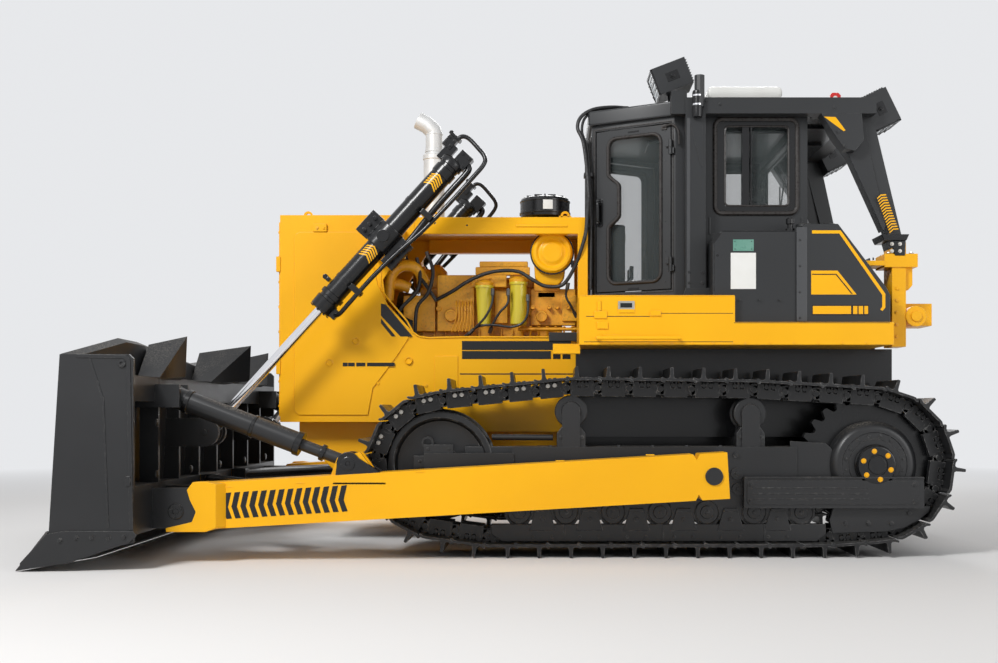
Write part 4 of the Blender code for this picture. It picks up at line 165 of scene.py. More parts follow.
def paint(name, colour, roughness, shade, dust, wear=0.25, relief=0.03, coat=0.25, shine=0.5):
    """Sprayed paint: cloudy in tone, a little dusty on top, rubbed at the edges, with a fine orange peel."""
    made = Finish(name, colour, roughness, coat=coat, shine=shine)
    made.tint(made.between(made.noise(1.1, 2.0), 0.35, 0.68, 0.0, 0.6), shade)
    speckle = made.between(made.noise(95.0, 3.0), 0.44, 0.66)
    settled = made.times(made.upward(), made.between(made.noise(5.0, 6.0), 0.30, 0.62, 0.0, dust))
    made.tint(made.times(settled, speckle), DUST)
    made.tint(made.between(made.noise(1.2, 2.0, 0.4), 0.45, 0.85, 0.0, dust * 0.02), DUST)
    rubbed = made.times(made.edges(), made.between(made.noise(30.0, 5.0), 0.48, 0.66, 0.0, wear))
    made.tint(rubbed, BARE_STEEL)
    made.gloss(made.between(made.noise(3.0, 3.0), 0.35, 0.75, 0.0, 0.35), min(1.0, roughness + 0.12))
    made.gloss(settled, 0.85)
    made.emboss(made.noise(260.0, 2.0), relief, 0.0006)
    made.emboss(made.noise(6.0, 2.0), 0.05, 0.004)
    return made.done()


def metal(name, colour, roughness, shade, metallic=1.0, scratch=0.15, stretch=(1, 1, 1), relief=0.05):
    made = Finish(name, colour, roughness, metallic=metallic)
    made.tint(made.between(made.noise(9.0, 6.0), 0.40, 0.75, 0.0, 0.6), shade)
    made.gloss(made.between(made.noise(120.0, 4.0, stretch=stretch), 0.40, 0.70, 0.0, scratch), 0.6)
    made.emboss(made.noise(180.0, 3.0, stretch=stretch), relief, 0.0008)
    return made.done()


def track_steel():
    """Black-painted track steel: speckled with stone dust, rubbed bright on the grousers' tips."""
    made = Finish("track_steel", (0.009, 0.0093, 0.010), 0.32, coat=0.05, shine=0.4)
    made.tint(made.between(made.noise(5.0, 3.0), 0.42, 0.74, 0.0, 0.3), (0.022, 0.022, 0.0235))
    speckle = made.between(made.noise(120.0, 4.0), 0.50, 0.64, 0.0, 0.6)
    made.tint(made.times(speckle, made.upward(0.35, 0.9)), (0.36, 0.345, 0.325))
    rubbed = made.times(made.edges(0.008), made.between(made.noise(26.0, 6.0), 0.44, 0.64, 0.0, 0.6))
    made.tint(rubbed, (0.46, 0.45, 0.44))
    made.gloss(made.between(made.noise(6.0, 3.0), 0.35, 0.70, 0.0, 0.6), 0.55)
    made.emboss(made.noise(90.0, 4.0), 0.10, 0.0012)
    return made.done()


def cast(name, colour, shade):
    """Painted castings: a rough skin under thick paint, darker in patches."""
    made = Finish(name, colour, 0.42, coat=0.2)
    made.tint(made.between(made.noise(4.0, 6.0), 0.38, 0.72, 0.0, 0.7), shade)
    made.tint(made.between(made.noise(45.0, 4.0), 0.52, 0.74, 0.0, 0.35), (0.10, 0.045, 0.01))
    made.gloss(made.between(made.noise(20.0, 5.0), 0.40, 0.72), 0.62)
    made.emboss(made.noise(110.0, 4.0), 0.22, 0.0016)
    return made.done()


def rubber(name, colour=(0.012, 0.012, 0.013), roughness=0.55):
    made = Finish(name, colour, roughness)
    made.tint(made.between(made.noise(24.0, 5.0), 0.45, 0.75, 0.0, 0.5), (0.045, 0.044, 0.043))
    made.gloss(made.between(made.noise(60.0, 4.0), 0.40, 0.70), 0.75)
    made.emboss(made.noise(320.0, 2.0), 0.10, 0.0006)
    return made.done()


def glass():
    """Tinted cab glass: clear to look through, with a bright gloss and a faint film of dust."""
    made = Finish("cab_glass", (0.10, 0.12, 0.12), 0.5)
    made.fix({"IOR": 1.45, "Alpha": 0.20})
    made.rough = made.between(made.noise(6.0, 6.0, 0.5), 0.42, 0.74, 0.02, 0.10)
    return made.done()


def cloth():
    """Seat cloth: a woven twill of two greys, with nap."""
    made = Finish("seat_cloth", (0.045, 0.047, 0.052), 0.92)
    made.fix({"Sheen Weight": 0.35, "Sheen Roughness": 0.5})
    weave = made.node("ShaderNodeTexWave", (("Vector", made.place), ("Scale", 150.0), ("Distortion", 0.6)),
                      bands_direction="DIAGONAL")
    cross = made.node("ShaderNodeTexWave", (("Vector", made.place), ("Scale", 165.0), ("Distortion", 0.4)),
                      bands_direction="Z")
    threads = made.times(weave.outputs["Fac"], cross.outputs["Fac"])
    made.tint(made.between(threads, 0.1, 0.7), (0.105, 0.108, 0.115))
    made.tint(made.between(made.noise(9.0), 0.45, 0.75, 0.0, 0.4), (0.14, 0.13, 0.115))
    made.emboss(threads, 0.35, 0.0012)
    return made.done()


def plastic(name, colour, shade, roughness=0.38):
    made = Finish(name, colour, roughness)
    made.tint(made.between(made.noise(3.0, 6.0), 0.42, 0.72, 0.0, 0.5), shade)
    made.gloss(made.between(made.noise(30.0, 4.0), 0.40, 0.70), roughness + 0.2)
    made.emboss(made.noise(420.0, 2.0), 0.06, 0.0004)
    return made.done()


def lens():
    """The lamps' clouded lens with its fine relief."""
    made = Finish("lamp_lens", (0.75, 0.78, 0.80), 0.08, coat=0.6)
    made.tint(made.between(made.noise(40.0, 3.0), 0.40, 0.70, 0.0, 0.5), (0.45, 0.48, 0.50))
    made.emboss(made.noise(90.0, 2.0), 0.12, 0.001)
    return made.done()


# Each finish is a material and the slot that it belongs to.
FINISHES = {
    "yellow": (paint("yellow_paint", YELLOW, 0.36, (0.82, 0.385, 0.003), 0.30, coat=0.08, shine=0.25),
               "yellow_paint"),
    "black": (paint("black_paint", (0.0045, 0.0047, 0.0052), 0.24, (0.009, 0.0095, 0.011), 0.22, wear=0.12,
                    coat=0.15, shine=0.35), "black_paint"),
    "frame": (paint("frame_paint", (0.012, 0.0125, 0.0135), 0.36, (0.020, 0.0205, 0.022), 0.60, relief=0.05,
                    coat=0.05, shine=0.4), "black_paint"),
    "charcoal": (paint("cab_paint", (0.017, 0.0182, 0.0195), 0.38, (0.022, 0.0232, 0.025), 0.30, wear=0.12,
                       relief=0.06, coat=0.05, shine=0.4), "cab_paint"),
    # Light grey: the roof lining's own colour, and on the folds of the roll-over frame and the tank a painted
    # highlight where the bent sheet catches the light.
    "light_grey": (paint("fold_highlight_and_lining_grey", (0.042, 0.044, 0.047), 0.38, (0.052, 0.054, 0.057), 0.2, wear=0.1),
                   "cab_paint"),
    "filter": (paint("filter_paint", (0.62, 0.50, 0.03), 0.30, (0.50, 0.40, 0.02), 0.15), "engine_paint"),
    "engine": (cast("engine_paint", (0.80, 0.38, 0.008), (0.62, 0.25, 0.005)), "engine_paint"),
    "track": (track_steel(), "track_steel"),
    "edge_steel": (metal("edge_steel", (0.075, 0.073, 0.070), 0.42, (0.17, 0.16, 0.15), metallic=0.6),
                   "track_steel"),
    "exhaust": (metal("exhaust_metal", (0.66, 0.66, 0.65), 0.52, (0.52, 0.51, 0.49), metallic=0.45),
                "exhaust_metal"),
    "zinc": (metal("zinc", (0.50, 0.48, 0.44), 0.35, (0.30, 0.28, 0.25)), "exhaust_metal"),
    "chrome": (metal("chrome", (0.82, 0.82, 0.84), 0.12, (0.74, 0.75, 0.78), scratch=0.10,
                     stretch=(1, 1, 6), relief=0.02), "chrome"),
    "rubber": (rubber("rubber"), "black_paint"),
    "hose": (rubber("hose_rubber", (0.010, 0.010, 0.011), 0.40), "black_paint"),
    "seal": (rubber("window_seal", (0.020, 0.016, 0.014), 0.24), "black_paint"),
    "white": (plastic("white_plastic", (0.74, 0.74, 0.71), (0.62, 0.61, 0.57)), "white_plastic"),
    "red": (plastic("red_paint", (0.55, 0.015, 0.012), (0.40, 0.010, 0.010)), "yellow_paint"),
    "green": (plastic("green_plate", (0.10, 0.26, 0.20), (0.20, 0.36, 0.30), 0.25), "white_plastic"),
    "glass": (glass(), "glass"),
    "lens": (lens(), "glass"),
    "cloth": (cloth(), "seat_cloth"),
}


# Shapes

SHARP = math.radians(30)
ALONG_Y = Vector((0, 1, 0))


def smooth_line(points, steps=4):
    """A Catmull-Rom line through the points."""
    points = [Vector(point) for point in points]
    if len(points) < 3:
        return points
    ends = [points[0] * 2 - points[1], *points, points[-1] * 2 - points[-2]]
    line = []
    for a, b, c, d in zip(ends, ends[1:], ends[2:], ends[3:]):
        for step in range(steps):
            t = step / steps
            line.append((2 * b + (c - a) * t + (2 * a - 5 * b + 4 * c - d) * t ** 2
                         + (3 * b - a - 3 * c + d) * t ** 3) / 2)
    return [*line, points[-1]]


def circle(x, z, radius, sides):
    """Points of a circle in the side view."""
    angles = [math.tau * i / sides for i in range(sides)]
    return [(x + radius * math.cos(a), z + radius * math.sin(a)) for a in angles]


def rounded(low, high, radius, steps=4):
    """A rectangle in the side view with round corners."""
    (x0, z0), (x1, z1) = low, high
    corners = ((x1 - radius, z0 + radius, -90), (x1 - radius, z1 - radius, 0),
               (x0 + radius, z1 - radius, 90), (x0 + radius, z0 + radius, 180))
    points = []
    for x, z, first in corners:
        for step in range(steps + 1):
            angle = math.radians(first + 90 * step / steps)
            points.append((x + radius * math.cos(angle), z + radius * math.sin(angle)))
    return points


def traced(pixels, y):
    """A side-view outline from pixels of the photograph."""
    return [seen(px, py, y) for px, py in pixels]


def routed(pixels):
    """A line through pixels of the photograph that each have a depth."""
    return [seen_at(*pixel) for pixel in pixels]


class Shape:
    """Plain solids that end up as one mesh."""

    def __init__(self):
        self.mesh = bmesh.new()

    def soften(self, verts, width):
        if width:
            edges = {edge for vert in verts for edge in vert.link_edges}
            sharp = [edge for edge in edges if edge.calc_face_angle(0) > SHARP]
            bmesh.ops.bevel(self.mesh, geom=sharp, offset=width, segments=2, affect="EDGES", profile=0.5,
                            clamp_overlap=True)
        return self

    def block(self, low, high, width=0.005, turn=None):
        low, high = Vector(low), Vector(high)
        size = Vector(abs(b - a) for a, b in zip(low, high))
        place = Matrix.Translation((low + high) / 2) @ (turn or Matrix()) @ Matrix.Diagonal((*size, 1))
        return self.soften(bmesh.ops.create_cube(self.mesh, size=1, matrix=place)["verts"], width)

    def rod(self, start, end, radius, end_radius=None, sides=20, width=0.0):
        start, end = Vector(start), Vector(end)
        turn = (end - start).to_track_quat("Z", "Y").to_matrix().to_4x4()
        made = bmesh.ops.create_cone(
            self.mesh, cap_ends=True, segments=sides, radius1=radius,
            radius2=radius if end_radius is None else end_radius,
            depth=(end - start).length, matrix=Matrix.Translation((start + end) / 2) @ turn)
        return self.soften(made["verts"], width)

    def prism(self, near, far, width=0.003):
        """A solid between two rings of as many points."""
        near = [self.mesh.verts.new(point) for point in near]
        far = [self.mesh.verts.new(point) for point in far]
        faces = [self.mesh.faces.new(near), self.mesh.faces.new(far[::-1])]
        for i in range(len(near)):
            faces.append(self.mesh.faces.new((near[i - 1], near[i], far[i], far[i - 1])))
        bmesh.ops.recalc_face_normals(self.mesh, faces=faces)
        return self.soften(near + far, width)

    def plate(self, outline, near, far, width=0.003):
        """A side-view outline between two depths."""
        return self.prism([(x, near, z) for x, z in outline], [(x, far, z) for x, z in outline], width)

    def turned(self, foot, direction, profile, sides=40):
        """A solid of revolution, from pairs of distance along the direction and radius."""
        turn = Vector(direction).to_track_quat("Z", "Y").to_matrix()
        foot = Vector(foot)
        rings = []
        for along, radius in profile:
            count = 1 if radius == 0 else sides
            angles = [2 * math.pi * i / count for i in range(count)]
            rings.append([self.mesh.verts.new(
                foot + turn @ Vector((radius * math.cos(a), radius * math.sin(a), along))) for a in angles])
        faces = []
        for a, b in zip(rings, rings[1:]):
            if len(a) == len(b) == 1:
                continue
            for i in range(sides):
                corners = [a[i - 1], a[i], b[i], b[i - 1]] if len(a) == len(b) else (
                    [a[0], b[i], b[i - 1]] if len(a) == 1 else [a[i - 1], a[i], b[0]])
                faces.append(self.mesh.faces.new(corners))
        bmesh.ops.recalc_face_normals(self.mesh, faces=faces)
        return self

    def skin(self, rings):
        """Walls from each ring of vertices to the next."""
        return [self.mesh.faces.new((a[k - 1], a[k], b[k], b[k - 1]))
                for a, b in zip(rings, rings[1:]) for k in range(len(a))]

    def tube(self, points, radius, sides=10, steps=4):
        """A round bar along a smooth line, closed at its ends."""
        line = smooth_line(points, steps)
        across = (line[1] - line[0]).orthogonal().normalized()
        angles = [math.tau * k / sides for k in range(sides)]
        rings = []
        for i, point in enumerate(line):
            along = (line[min(i + 1, len(line) - 1)] - line[max(i - 1, 0)]).normalized()
            across = (across - along * across.dot(along)).normalized()
            third = along.cross(across)
            rings.append([self.mesh.verts.new(point + (across * math.cos(a) + third * math.sin(a)) * radius)
                          for a in angles])
        faces = [self.mesh.faces.new(rings[0][::-1]), self.mesh.faces.new(rings[-1]), *self.skin(rings)]
        bmesh.ops.recalc_face_normals(self.mesh, faces=faces)
        return self

    def ring(self, outline, y, radius, sides=8):
        """A round bead along a closed side-view outline."""
        angles = [math.tau * k / sides for k in range(sides)]
        rings = []
        for i, (x, z) in enumerate(outline):
            before, after = Vector(outline[i - 1]), Vector(outline[(i + 1) % len(outline)])
            out = (after - before).orthogonal().normalized()
            rings.append([self.mesh.verts.new((x + out.x * radius * math.cos(a), y + radius * math.sin(a),
                                               z + out.y * radius * math.cos(a))) for a in angles])
        bmesh.ops.recalc_face_normals(self.mesh, faces=self.skin([rings[-1], *rings]))
        return self

    def sheet(self, pixels, y, out, width=0.003):
        """A raised sheet on a face at y, from pixels of the photograph."""
        return self.plate(traced(pixels, y), y + 0.002, y - out, width)

    def panel(self, low, high, y, out, width=0.003):
        """A raised rectangle on a face at y, between two pixels of the photograph."""
        (x0, z1), (x1, z0) = seen(*low, y), seen(*high, y)
        return self.block((x0, y - out, z0), (x1, y + 0.002, z1), width)

    def bolts(self, pixels, y, radius, washer=True):
        """Bolt heads on a face at y that looks at the photograph's camera."""
        for px, py in pixels:
            self.bolt(seen_at(px, py, y), -ALONG_Y, radius, washer=washer)
        return self

    def bolt_circle(self, centre, out, count, reach, radius, height=None, first=0.0):
        """Bolt heads in a circle in the side view."""
        for i in range(count):
            turn = Matrix.Rotation(math.tau * (i + first) / count, 3, "Y")
            self.bolt(centre + turn @ Vector((reach, 0, 0)), out, radius, height)
        return self

    def mirrored(self):
        """The same mesh on the other side of the machine."""
        other = Shape().add(self.data(), Matrix.Diagonal((1, -1, 1, 1)))
        bmesh.ops.reverse_faces(other.mesh, faces=other.mesh.faces)
        return other

    def pair(self, name, finish, body="tractor", angle=34):
        """The left side's piece and its mirror image on the right."""
        other = self.mirrored()
        return [shape.publish(name + "_" + side, finish, body.format(side), angle)
                for shape, side in ((self, "left"), (other, "right"))]

    def bolt(self, foot, direction, radius, height=None, washer=True):
        """A hexagon head on a washer."""
        foot, direction = Vector(foot), Vector(direction).normalized()
        height = height or radius * 0.8
        if washer:
            self.rod(foot, foot + direction * height * 0.25, radius * 1.3, sides=14)
        return self.rod(foot, foot + direction * height, radius, radius * 0.93, sides=6, width=radius * 0.1)

    def add(self, other, place=Matrix()):
        """Takes in a copy of another shape's mesh."""
        count = len(self.mesh.verts)
        self.mesh.from_mesh(other)
        self.mesh.verts.ensure_lookup_table()
        bmesh.ops.transform(self.mesh, matrix=place, verts=self.mesh.verts[count:])
        return self

    def data(self, name="shape"):
        made = bpy.data.meshes.new(name)
        self.mesh.to_mesh(made)
        return made

    def publish(self, name, finish, body="tractor", angle=34):
        bmesh.ops.transform(self.mesh, matrix=SHIFT, verts=self.mesh.verts)
        made = self.data(name)
        self.mesh.free()
        piece = bpy.data.objects.new(name, made)
        bpy.context.scene.collection.objects.link(piece)
        material, slot = FINISHES[finish]
        made.materials.append(material)
        made.shade_smooth()
        made.set_sharp_from_angle(angle=math.radians(angle))
        piece.modifiers.new("Even normals", "WEIGHTED_NORMAL").keep_sharp = True
        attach(piece, body)
        return piece


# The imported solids: their edges are softened and they get the finishes.

def both(*names):
    """The names of the left and the right node."""
    return tuple(name + "_" + side for name in names for side, _ in SIDES)


NODE_FINISHES = {
    "yellow": ("engine_frame", "radiator_guard", "hood", "air_cleaner", *both("fender", "push_arm")),
    "black": ("main_frame", "radiator_grille", "radiator", "precleaner", *both("lift_barrel")),
    "frame": ("blade", "pitch_brace_left", "tilt_cylinder_right", *both("track_frame")),
    "charcoal": ("fuel_tank", "cab_shell", "cab_roof", "control_console", "rops_frame",
                 *both("side_tank", "door")),
    "track": both("track", "idler", "sprocket"),
    "engine": ("engine",),
    "exhaust": ("exhaust_stack",),
    "glass": ("windshield", "rear_glass", *both("side_glass", "door_glass")),
    "cloth": ("operator_seat",),
    "white": ("ac_unit",),
    "chrome": both("lift_rod"),
}
NODE_EDGES = {"radiator_guard": 0.010, "hood": 0.008, "engine_frame": 0.008, "main_frame": 0.008,
              "blade": 0.006, "cab_roof": 0.006, **dict.fromkeys(both("fender"), 0.008),
              **dict.fromkeys(both("push_arm"), 0.007), **dict.fromkeys(both("side_tank"), 0.012)}
NODE_EDGE = 0.004
WELD_REACH = 0.00005
FLAT_ANGLE = math.radians(0.5)


def soften_nodes():
    for finish, names in NODE_FINISHES.items():
        material, slot = FINISHES[finish]
        for name in names:
            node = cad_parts[name]
            if "custom_normal" in node.data.attributes:
                node.data.attributes.remove(node.data.attributes["custom_normal"])
            node.data.materials.clear()
            node.data.materials.append(material)
            node.data.shade_smooth()
            if finish == "glass":
                node.data.set_sharp_from_angle(angle=SHARP)
                continue
            node.modifiers.new("Weld", "WELD").merge_threshold = WELD_REACH
            flat = node.modifiers.new("Flat faces", "DECIMATE")
            flat.decimate_type = "DISSOLVE"
            flat.angle_limit = FLAT_ANGLE
            edge = node.modifiers.new("Soft edges", "BEVEL")
            edge.width = NODE_EDGES.get(name, NODE_EDGE)
            edge.segments = 2
            edge.limit_method = "ANGLE"
            edge.angle_limit = SHARP
            edge.use_clamp_overlap = True
            node.modifiers.new("Even normals", "WEIGHTED_NORMAL").keep_sharp = True


# The track chain, as the solids have it.

TRACK_Y = 1.07
SHOE_WIDTH = 0.56
SHOE_COUNT = 41
LINK_PITCH = 0.2286
PIN_TO_PLATE = 0.072
PIN_TO_RAIL = 0.062
SHOE_PLATE = 0.020
GROUSER_HEIGHT = 0.080
SPROCKET_TEETH = 27
SPROCKET_X = 2.660
WHEEL_Z = 0.670
SPROCKET_RADIUS = LINK_PITCH / (2 * math.sin(2 * math.pi / SPROCKET_TEETH))
IDLER_RADIUS = 0.390
IDLER_PIN_RADIUS = math.hypot(IDLER_RADIUS + PIN_TO_RAIL, LINK_PITCH / 2)
GROUND_BEND = 0.150
GROUND_FRONT_X, GROUND_REAR_X = -0.170, 2.290
GROUND_Z = GROUSER_HEIGHT + PIN_TO_PLATE + GROUND_BEND
CARRIERS = ((0.452, 1.060), (1.767, 1.043))
CARRIER_PIN_RADIUS = 0.105 + PIN_TO_RAIL + 0.008
# The bolts' ends are drawn in bright zinc on the upper run ahead of this place, a painted highlight where the
# light falls on them, and in dark paint elsewhere, painted shade.
LIT_NUTS_X = 0.62


def belt(circles):
    """Straight runs and arcs of a belt round circles of x, z and radius, counterclockwise."""
    tangents = []
    for (ax, az, ar), (bx, bz, br) in zip(circles, circles[1:] + circles[:1]):
        angle = math.atan2(bz - az, bx - ax) - math.acos((ar - br) / math.hypot(bx - ax, bz - az))
        out = Vector((math.cos(angle), math.sin(angle)))
        tangents.append((Vector((ax, az)) + out * ar, Vector((bx, bz)) + out * br, angle))
    runs = []
    for i, (start, end, angle) in enumerate(tangents):
        runs.append((start, end, None, 0, 0, (end - start).length))
        x, z, radius = circles[(i + 1) % len(circles)]
        turn = (tangents[(i + 1) % len(circles)][2] - angle) % math.tau
        runs.append((None, None, Vector((x, z)), radius, angle, radius * turn))
    return runs


def chain_runs(idler_x):
    carriers = [(x, z, CARRIER_PIN_RADIUS) for x, z in CARRIERS[::-1]]
    return belt([(GROUND_FRONT_X, GROUND_Z, GROUND_BEND), (GROUND_REAR_X, GROUND_Z, GROUND_BEND),
                 (SPROCKET_X, WHEEL_Z, SPROCKET_RADIUS), *carriers, (idler_x, WHEEL_Z, IDLER_PIN_RADIUS)])


def chain_length(idler_x):
    return sum(run[5] for run in chain_runs(idler_x))


def tight_idler_x():
    """Where the idler makes the loop as long as its links."""
    near, far = GROUND_FRONT_X, -5.0
    while near - far > 1e-6:
        middle = (near + far) / 2
        short = chain_length(middle) < SHOE_COUNT * LINK_PITCH
        near, far = (middle, far) if short else (near, middle)
    return (near + far) / 2


IDLER_X = tight_idler_x()


def chain_pins():
    runs = chain_runs(IDLER_X)
    total = chain_length(IDLER_X)
    pins = []
    for i in range(SHOE_COUNT):
        left = total * i / SHOE_COUNT
        for start, end, centre, radius, angle, length in runs:
            if left <= length:
                break
            left -= length
        if centre is None:
            pins.append(start.lerp(end, left / length))
        else:
            angle += left / radius
            pins.append(centre + Vector((math.cos(angle), math.sin(angle))) * radius)
    return pins


def link_places(y):
    """Where each link lies: its local x runs to the next pin, and its local z points out of the loop."""
    pins = chain_pins()
    for a, b in zip(pins, pins[1:] + pins[:1]):
        along = (b - a).normalized()
        yield Matrix(((along.x, 0, along.y, a.x), (0, -1, 0, y), (along.y, 0, -along.x, a.y), (0, 0, 0, 1)))


def shoe_shape():
    """One shoe: a plate with a lip at each end and a single grouser, as its section along the chain."""
    top, under = PIN_TO_PLATE, PIN_TO_PLATE - SHOE_PLATE
    tip = top + GROUSER_HEIGHT
    section = [(-0.022, under - 0.010), (-0.020, under + 0.004), (0.006, top - 0.002), (0.030, top),
               (0.138, top), (0.145, top + 0.012), (0.149, tip - 0.004), (0.153, tip), (0.168, tip),
               (0.172, tip - 0.006), (0.176, top + 0.012), (0.184, top), (0.206, top), (0.226, top + 0.010),
               (0.237, top + 0.006), (0.234, top - 0.006), (0.212, under), (0.012, under),
               (-0.008, under - 0.012)]
    shape = Shape()
    half = SHOE_WIDTH / 2
    shape.plate(section, -half, half, 0.0025)
    for x in (0.080, 0.118):
        for y in (-0.101, 0.101):
            shape.bolt((x, y, top), (0, 0, 1), 0.015, 0.011, washer=False)
    return shape.data("shoe")


def link_shape():
    """The two link plates of one pitch with their pin and bushing."""
    shape = Shape()
    rail, seat = -PIN_TO_RAIL, PIN_TO_PLATE - SHOE_PLATE - 0.001
    body = [(0.030, rail), (0.200, rail), (0.206, 0.010), (0.198, seat), (0.156, seat), (0.150, 0.004),
            (0.124, 0.004), (0.118, seat), (0.106, seat), (0.100, 0.004), (0.074, 0.004), (0.068, seat),
            (0.034, seat), (0.024, 0.010)]
    for side in (-1, 1):
        y = side * 0.075
        shape.plate(body, y, y + side * 0.052, 0.002)
        for pin_x, near, foot in ((0, 0.075, 0.032), (LINK_PITCH, 0.101, 0.198)):
            lobe = circle(pin_x, 0, 0.046, 16)
            shape.plate(lobe, side * near, side * (near + 0.025), 0.002)
            low, high = sorted((pin_x, foot))
            shape.block((low, side * near, -0.046), (high, side * (near + 0.025), 0.034), 0.0)
        for x in (0.087, 0.137):
            shape.bolt((x, side * 0.101, seat), (0, 0, -1), 0.018, 0.022, washer=False)
    shape.rod((0, -0.134, 0), (0, 0.134, 0), 0.024, sides=16, width=0.003)
    shape.block((0.066, -0.095, 0.002), (0.158, 0.095, seat), 0.0)
    shape.rod((0, -0.100, 0), (0, 0.100, 0), 0.034, sides=16)
    return shape.data("link")


def nut_shape():
    """The ends of the shoe bolts in the windows of the links."""
    shape = Shape()
    for side in (-1, 1):
        for x in (0.087, 0.137):
            shape.rod((x, side * 0.094, 0.027), (x, side * 0.131, 0.027), 0.0165, sides=14, width=0.002)
    return shape.data("nuts")


def make_tracks():
    shoe, link, nut = shoe_shape(), link_shape(), nut_shape()
    for name, side in SIDES:
        shoes, links, bare, painted = Shape(), Shape(), Shape(), Shape()
        for place in link_places(side * TRACK_Y):
            shoes.add(shoe, place)
            links.add(link, place)
            # Lit and shaded copies of the same nuts: bright zinc where the light falls on the upper run, dark
            # paint elsewhere.
            is_lit = place.translation.x < LIT_NUTS_X and place.translation.z > WHEEL_Z
            (bare if is_lit else painted).add(nut, place)
        bare.publish("track_nuts_" + name, "zinc")
        painted.publish("track_painted_nuts_" + name, "frame")
        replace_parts(shoes.publish("track_shoes_" + name, "track"), "track_" + name)
        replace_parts(links.publish("track_links_" + name, "track"), "track_" + name)


def make_idlers():
    rim, flange = IDLER_RADIUS - 0.002, IDLER_RADIUS + 0.016
    profile = [(-0.113, 0), (-0.113, 0.085), (-0.106, 0.105), (-0.085, 0.115), (-0.050, 0.135),
               (-0.046, 0.250), (-0.060, 0.318), (-0.105, 0.335), (-0.112, 0.345), (-0.112, rim - 0.012),
               (-0.104, rim), (-0.044, rim), (-0.037, rim + 0.006), (-0.033, flange),
               (-0.026, flange + 0.002)]
    profile += [(-along, radius) for along, radius in profile[::-1]]
    for name, side in SIDES:
        shape = Shape()
        centre = Vector((IDLER_X, side * TRACK_Y, WHEEL_Z))
        shape.turned(centre, (0, side, 0), profile, 72)
        out = side * ALONG_Y
        shape.turned(centre, out, [(0.11, 0.075), (0.120, 0.072), (0.124, 0.050), (0.124, 0)], 32)
        shape.bolt_circle(centre + out * 0.110, out, 8, 0.093, 0.009)
        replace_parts(shape.publish("idler_wheel_" + name, "track"), "idler_" + name)


def make_sprockets():
    out_face = 0.198
    for name, side in SIDES:
        shape = Shape()
        centre = Vector((SPROCKET_X, side * TRACK_Y, WHEEL_Z))
        out = side * ALONG_Y
        outline = []
        for tooth in range(SPROCKET_TEETH):
            for share, rise in ((0.04, -0.028), (0.18, -0.031), (0.32, -0.028), (0.45, 0.004), (0.53, 0.025),
                                (0.60, 0.028), (0.76, 0.028), (0.83, 0.025), (0.92, 0.004)):
                angle = math.tau * (tooth + share) / SPROCKET_TEETH
                radius = SPROCKET_RADIUS + rise
                outline.append((SPROCKET_X + radius * math.cos(angle), WHEEL_Z + radius * math.sin(angle)))
        shape.plate(outline, centre.y - 0.036, centre.y + 0.036, 0.004)
        # The teeth get the darkest black paint, darker than the track's steel: painted shade for the deck's
        # shadow over them.
        teeth = shape.publish("sprocket_teeth_" + name, "black")
        case = Shape()
        case.turned(centre, out, [
            (-0.40, 0), (-0.40, 0.250), (-0.05, 0.252), (-0.045, 0.315), (0.0, 0.318), (0.140, 0.318),
            (0.158, 0.314), (0.180, 0.298), (0.192, 0.282), (0.197, 0.270), (out_face, 0.255),
            (out_face, 0.238), (out_face - 0.006, 0.234), (out_face - 0.006, 0.190), (out_face, 0.186),
            (out_face, 0)], 80)
        case.bolt_circle(centre + out * 0.192, out, 16, 0.212, 0.010, first=0.5)
        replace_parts(case.publish("final_drive_" + name, "frame"), "sprocket_" + name)
        hub = Shape()
        hub.turned(centre, out, [
            (0.196, 0.152), (0.214, 0.150), (0.222, 0.143), (0.248, 0.141), (0.262, 0.134), (0.265, 0.126),
            (0.265, 0.078), (0.258, 0.074), (0.258, 0.066), (0.266, 0.062), (0.266, 0)], 64)
        hub.publish("drive_hub_" + name, "black")
        bolts = Shape().bolt_circle(centre + out * 0.264, out, 6, 0.104, 0.015, 0.012, first=0.3)
        bolts.publish("drive_bolts_" + name, "yellow")
        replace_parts(teeth, "sprocket_" + name)


# Lift cylinders

LIFT_Y = 0.95
EYE = Vector((-2.274, -LIFT_Y, 0.904))
PIVOT = Vector((-0.947, -LIFT_Y, 2.367))
BARREL_START = 1.2386
BARREL_END = 2.769
LIFT_LINE = (PIVOT - EYE).normalized()
LIFT_ABOVE = Vector((-LIFT_LINE.z, 0, LIFT_LINE.x))
LIFT_TURN = LIFT_LINE.to_track_quat("X", "Y").to_matrix().to_4x4()
PIVOT_ALONG = (PIVOT - EYE).length
# Where the marks start along the cylinder, their step and length, and their bend round the barrel.
MARK_STARTS = (1.752, 2.474)
MARK_STEP, MARK_LENGTH = 0.021, 0.012
MARK_RADIUS, MARK_REACH = 0.0822, 0.7
# Points of the pipes: distance along the cylinder, height over its line, distance out from it.
LONG_PIPE = ((1.294, -0.075, 0.0), (1.294, -0.118, 0.02), (1.330, -0.140, 0.05), (1.44, -0.145, 0.085),
             (1.70, -0.145, 0.092), (1.95, -0.160, 0.092), (2.183, -0.188, 0.090), (2.45, -0.198, 0.080),
             (2.74, -0.196, 0.065), (2.880, -0.188, 0.050), (2.930, -0.150, 0.035), (2.948, -0.060, 0.018),
             (2.955, 0.040, 0.0), (2.930, 0.085, 0.0), (2.880, 0.095, 0.0))
SHORT_PIPE = ((2.800, -0.080, 0.02), (2.790, -0.118, 0.02), (2.740, -0.132, 0.02), (2.60, -0.132, 0.02),
              (2.40, -0.132, 0.01), (2.25, -0.140, 0.0), (2.10, -0.150, 0.0), (2.0, -0.150, 0.0))


def lift_places(side):
    """Places one side's points: distance along the cylinder, height over its line, distance out from it."""
    def at(along, rise=0.0, out=0.0):
        point = EYE + LIFT_LINE * along + LIFT_ABOVE * rise
        return Vector((point.x, side * (LIFT_Y + out), point.z))
    return at


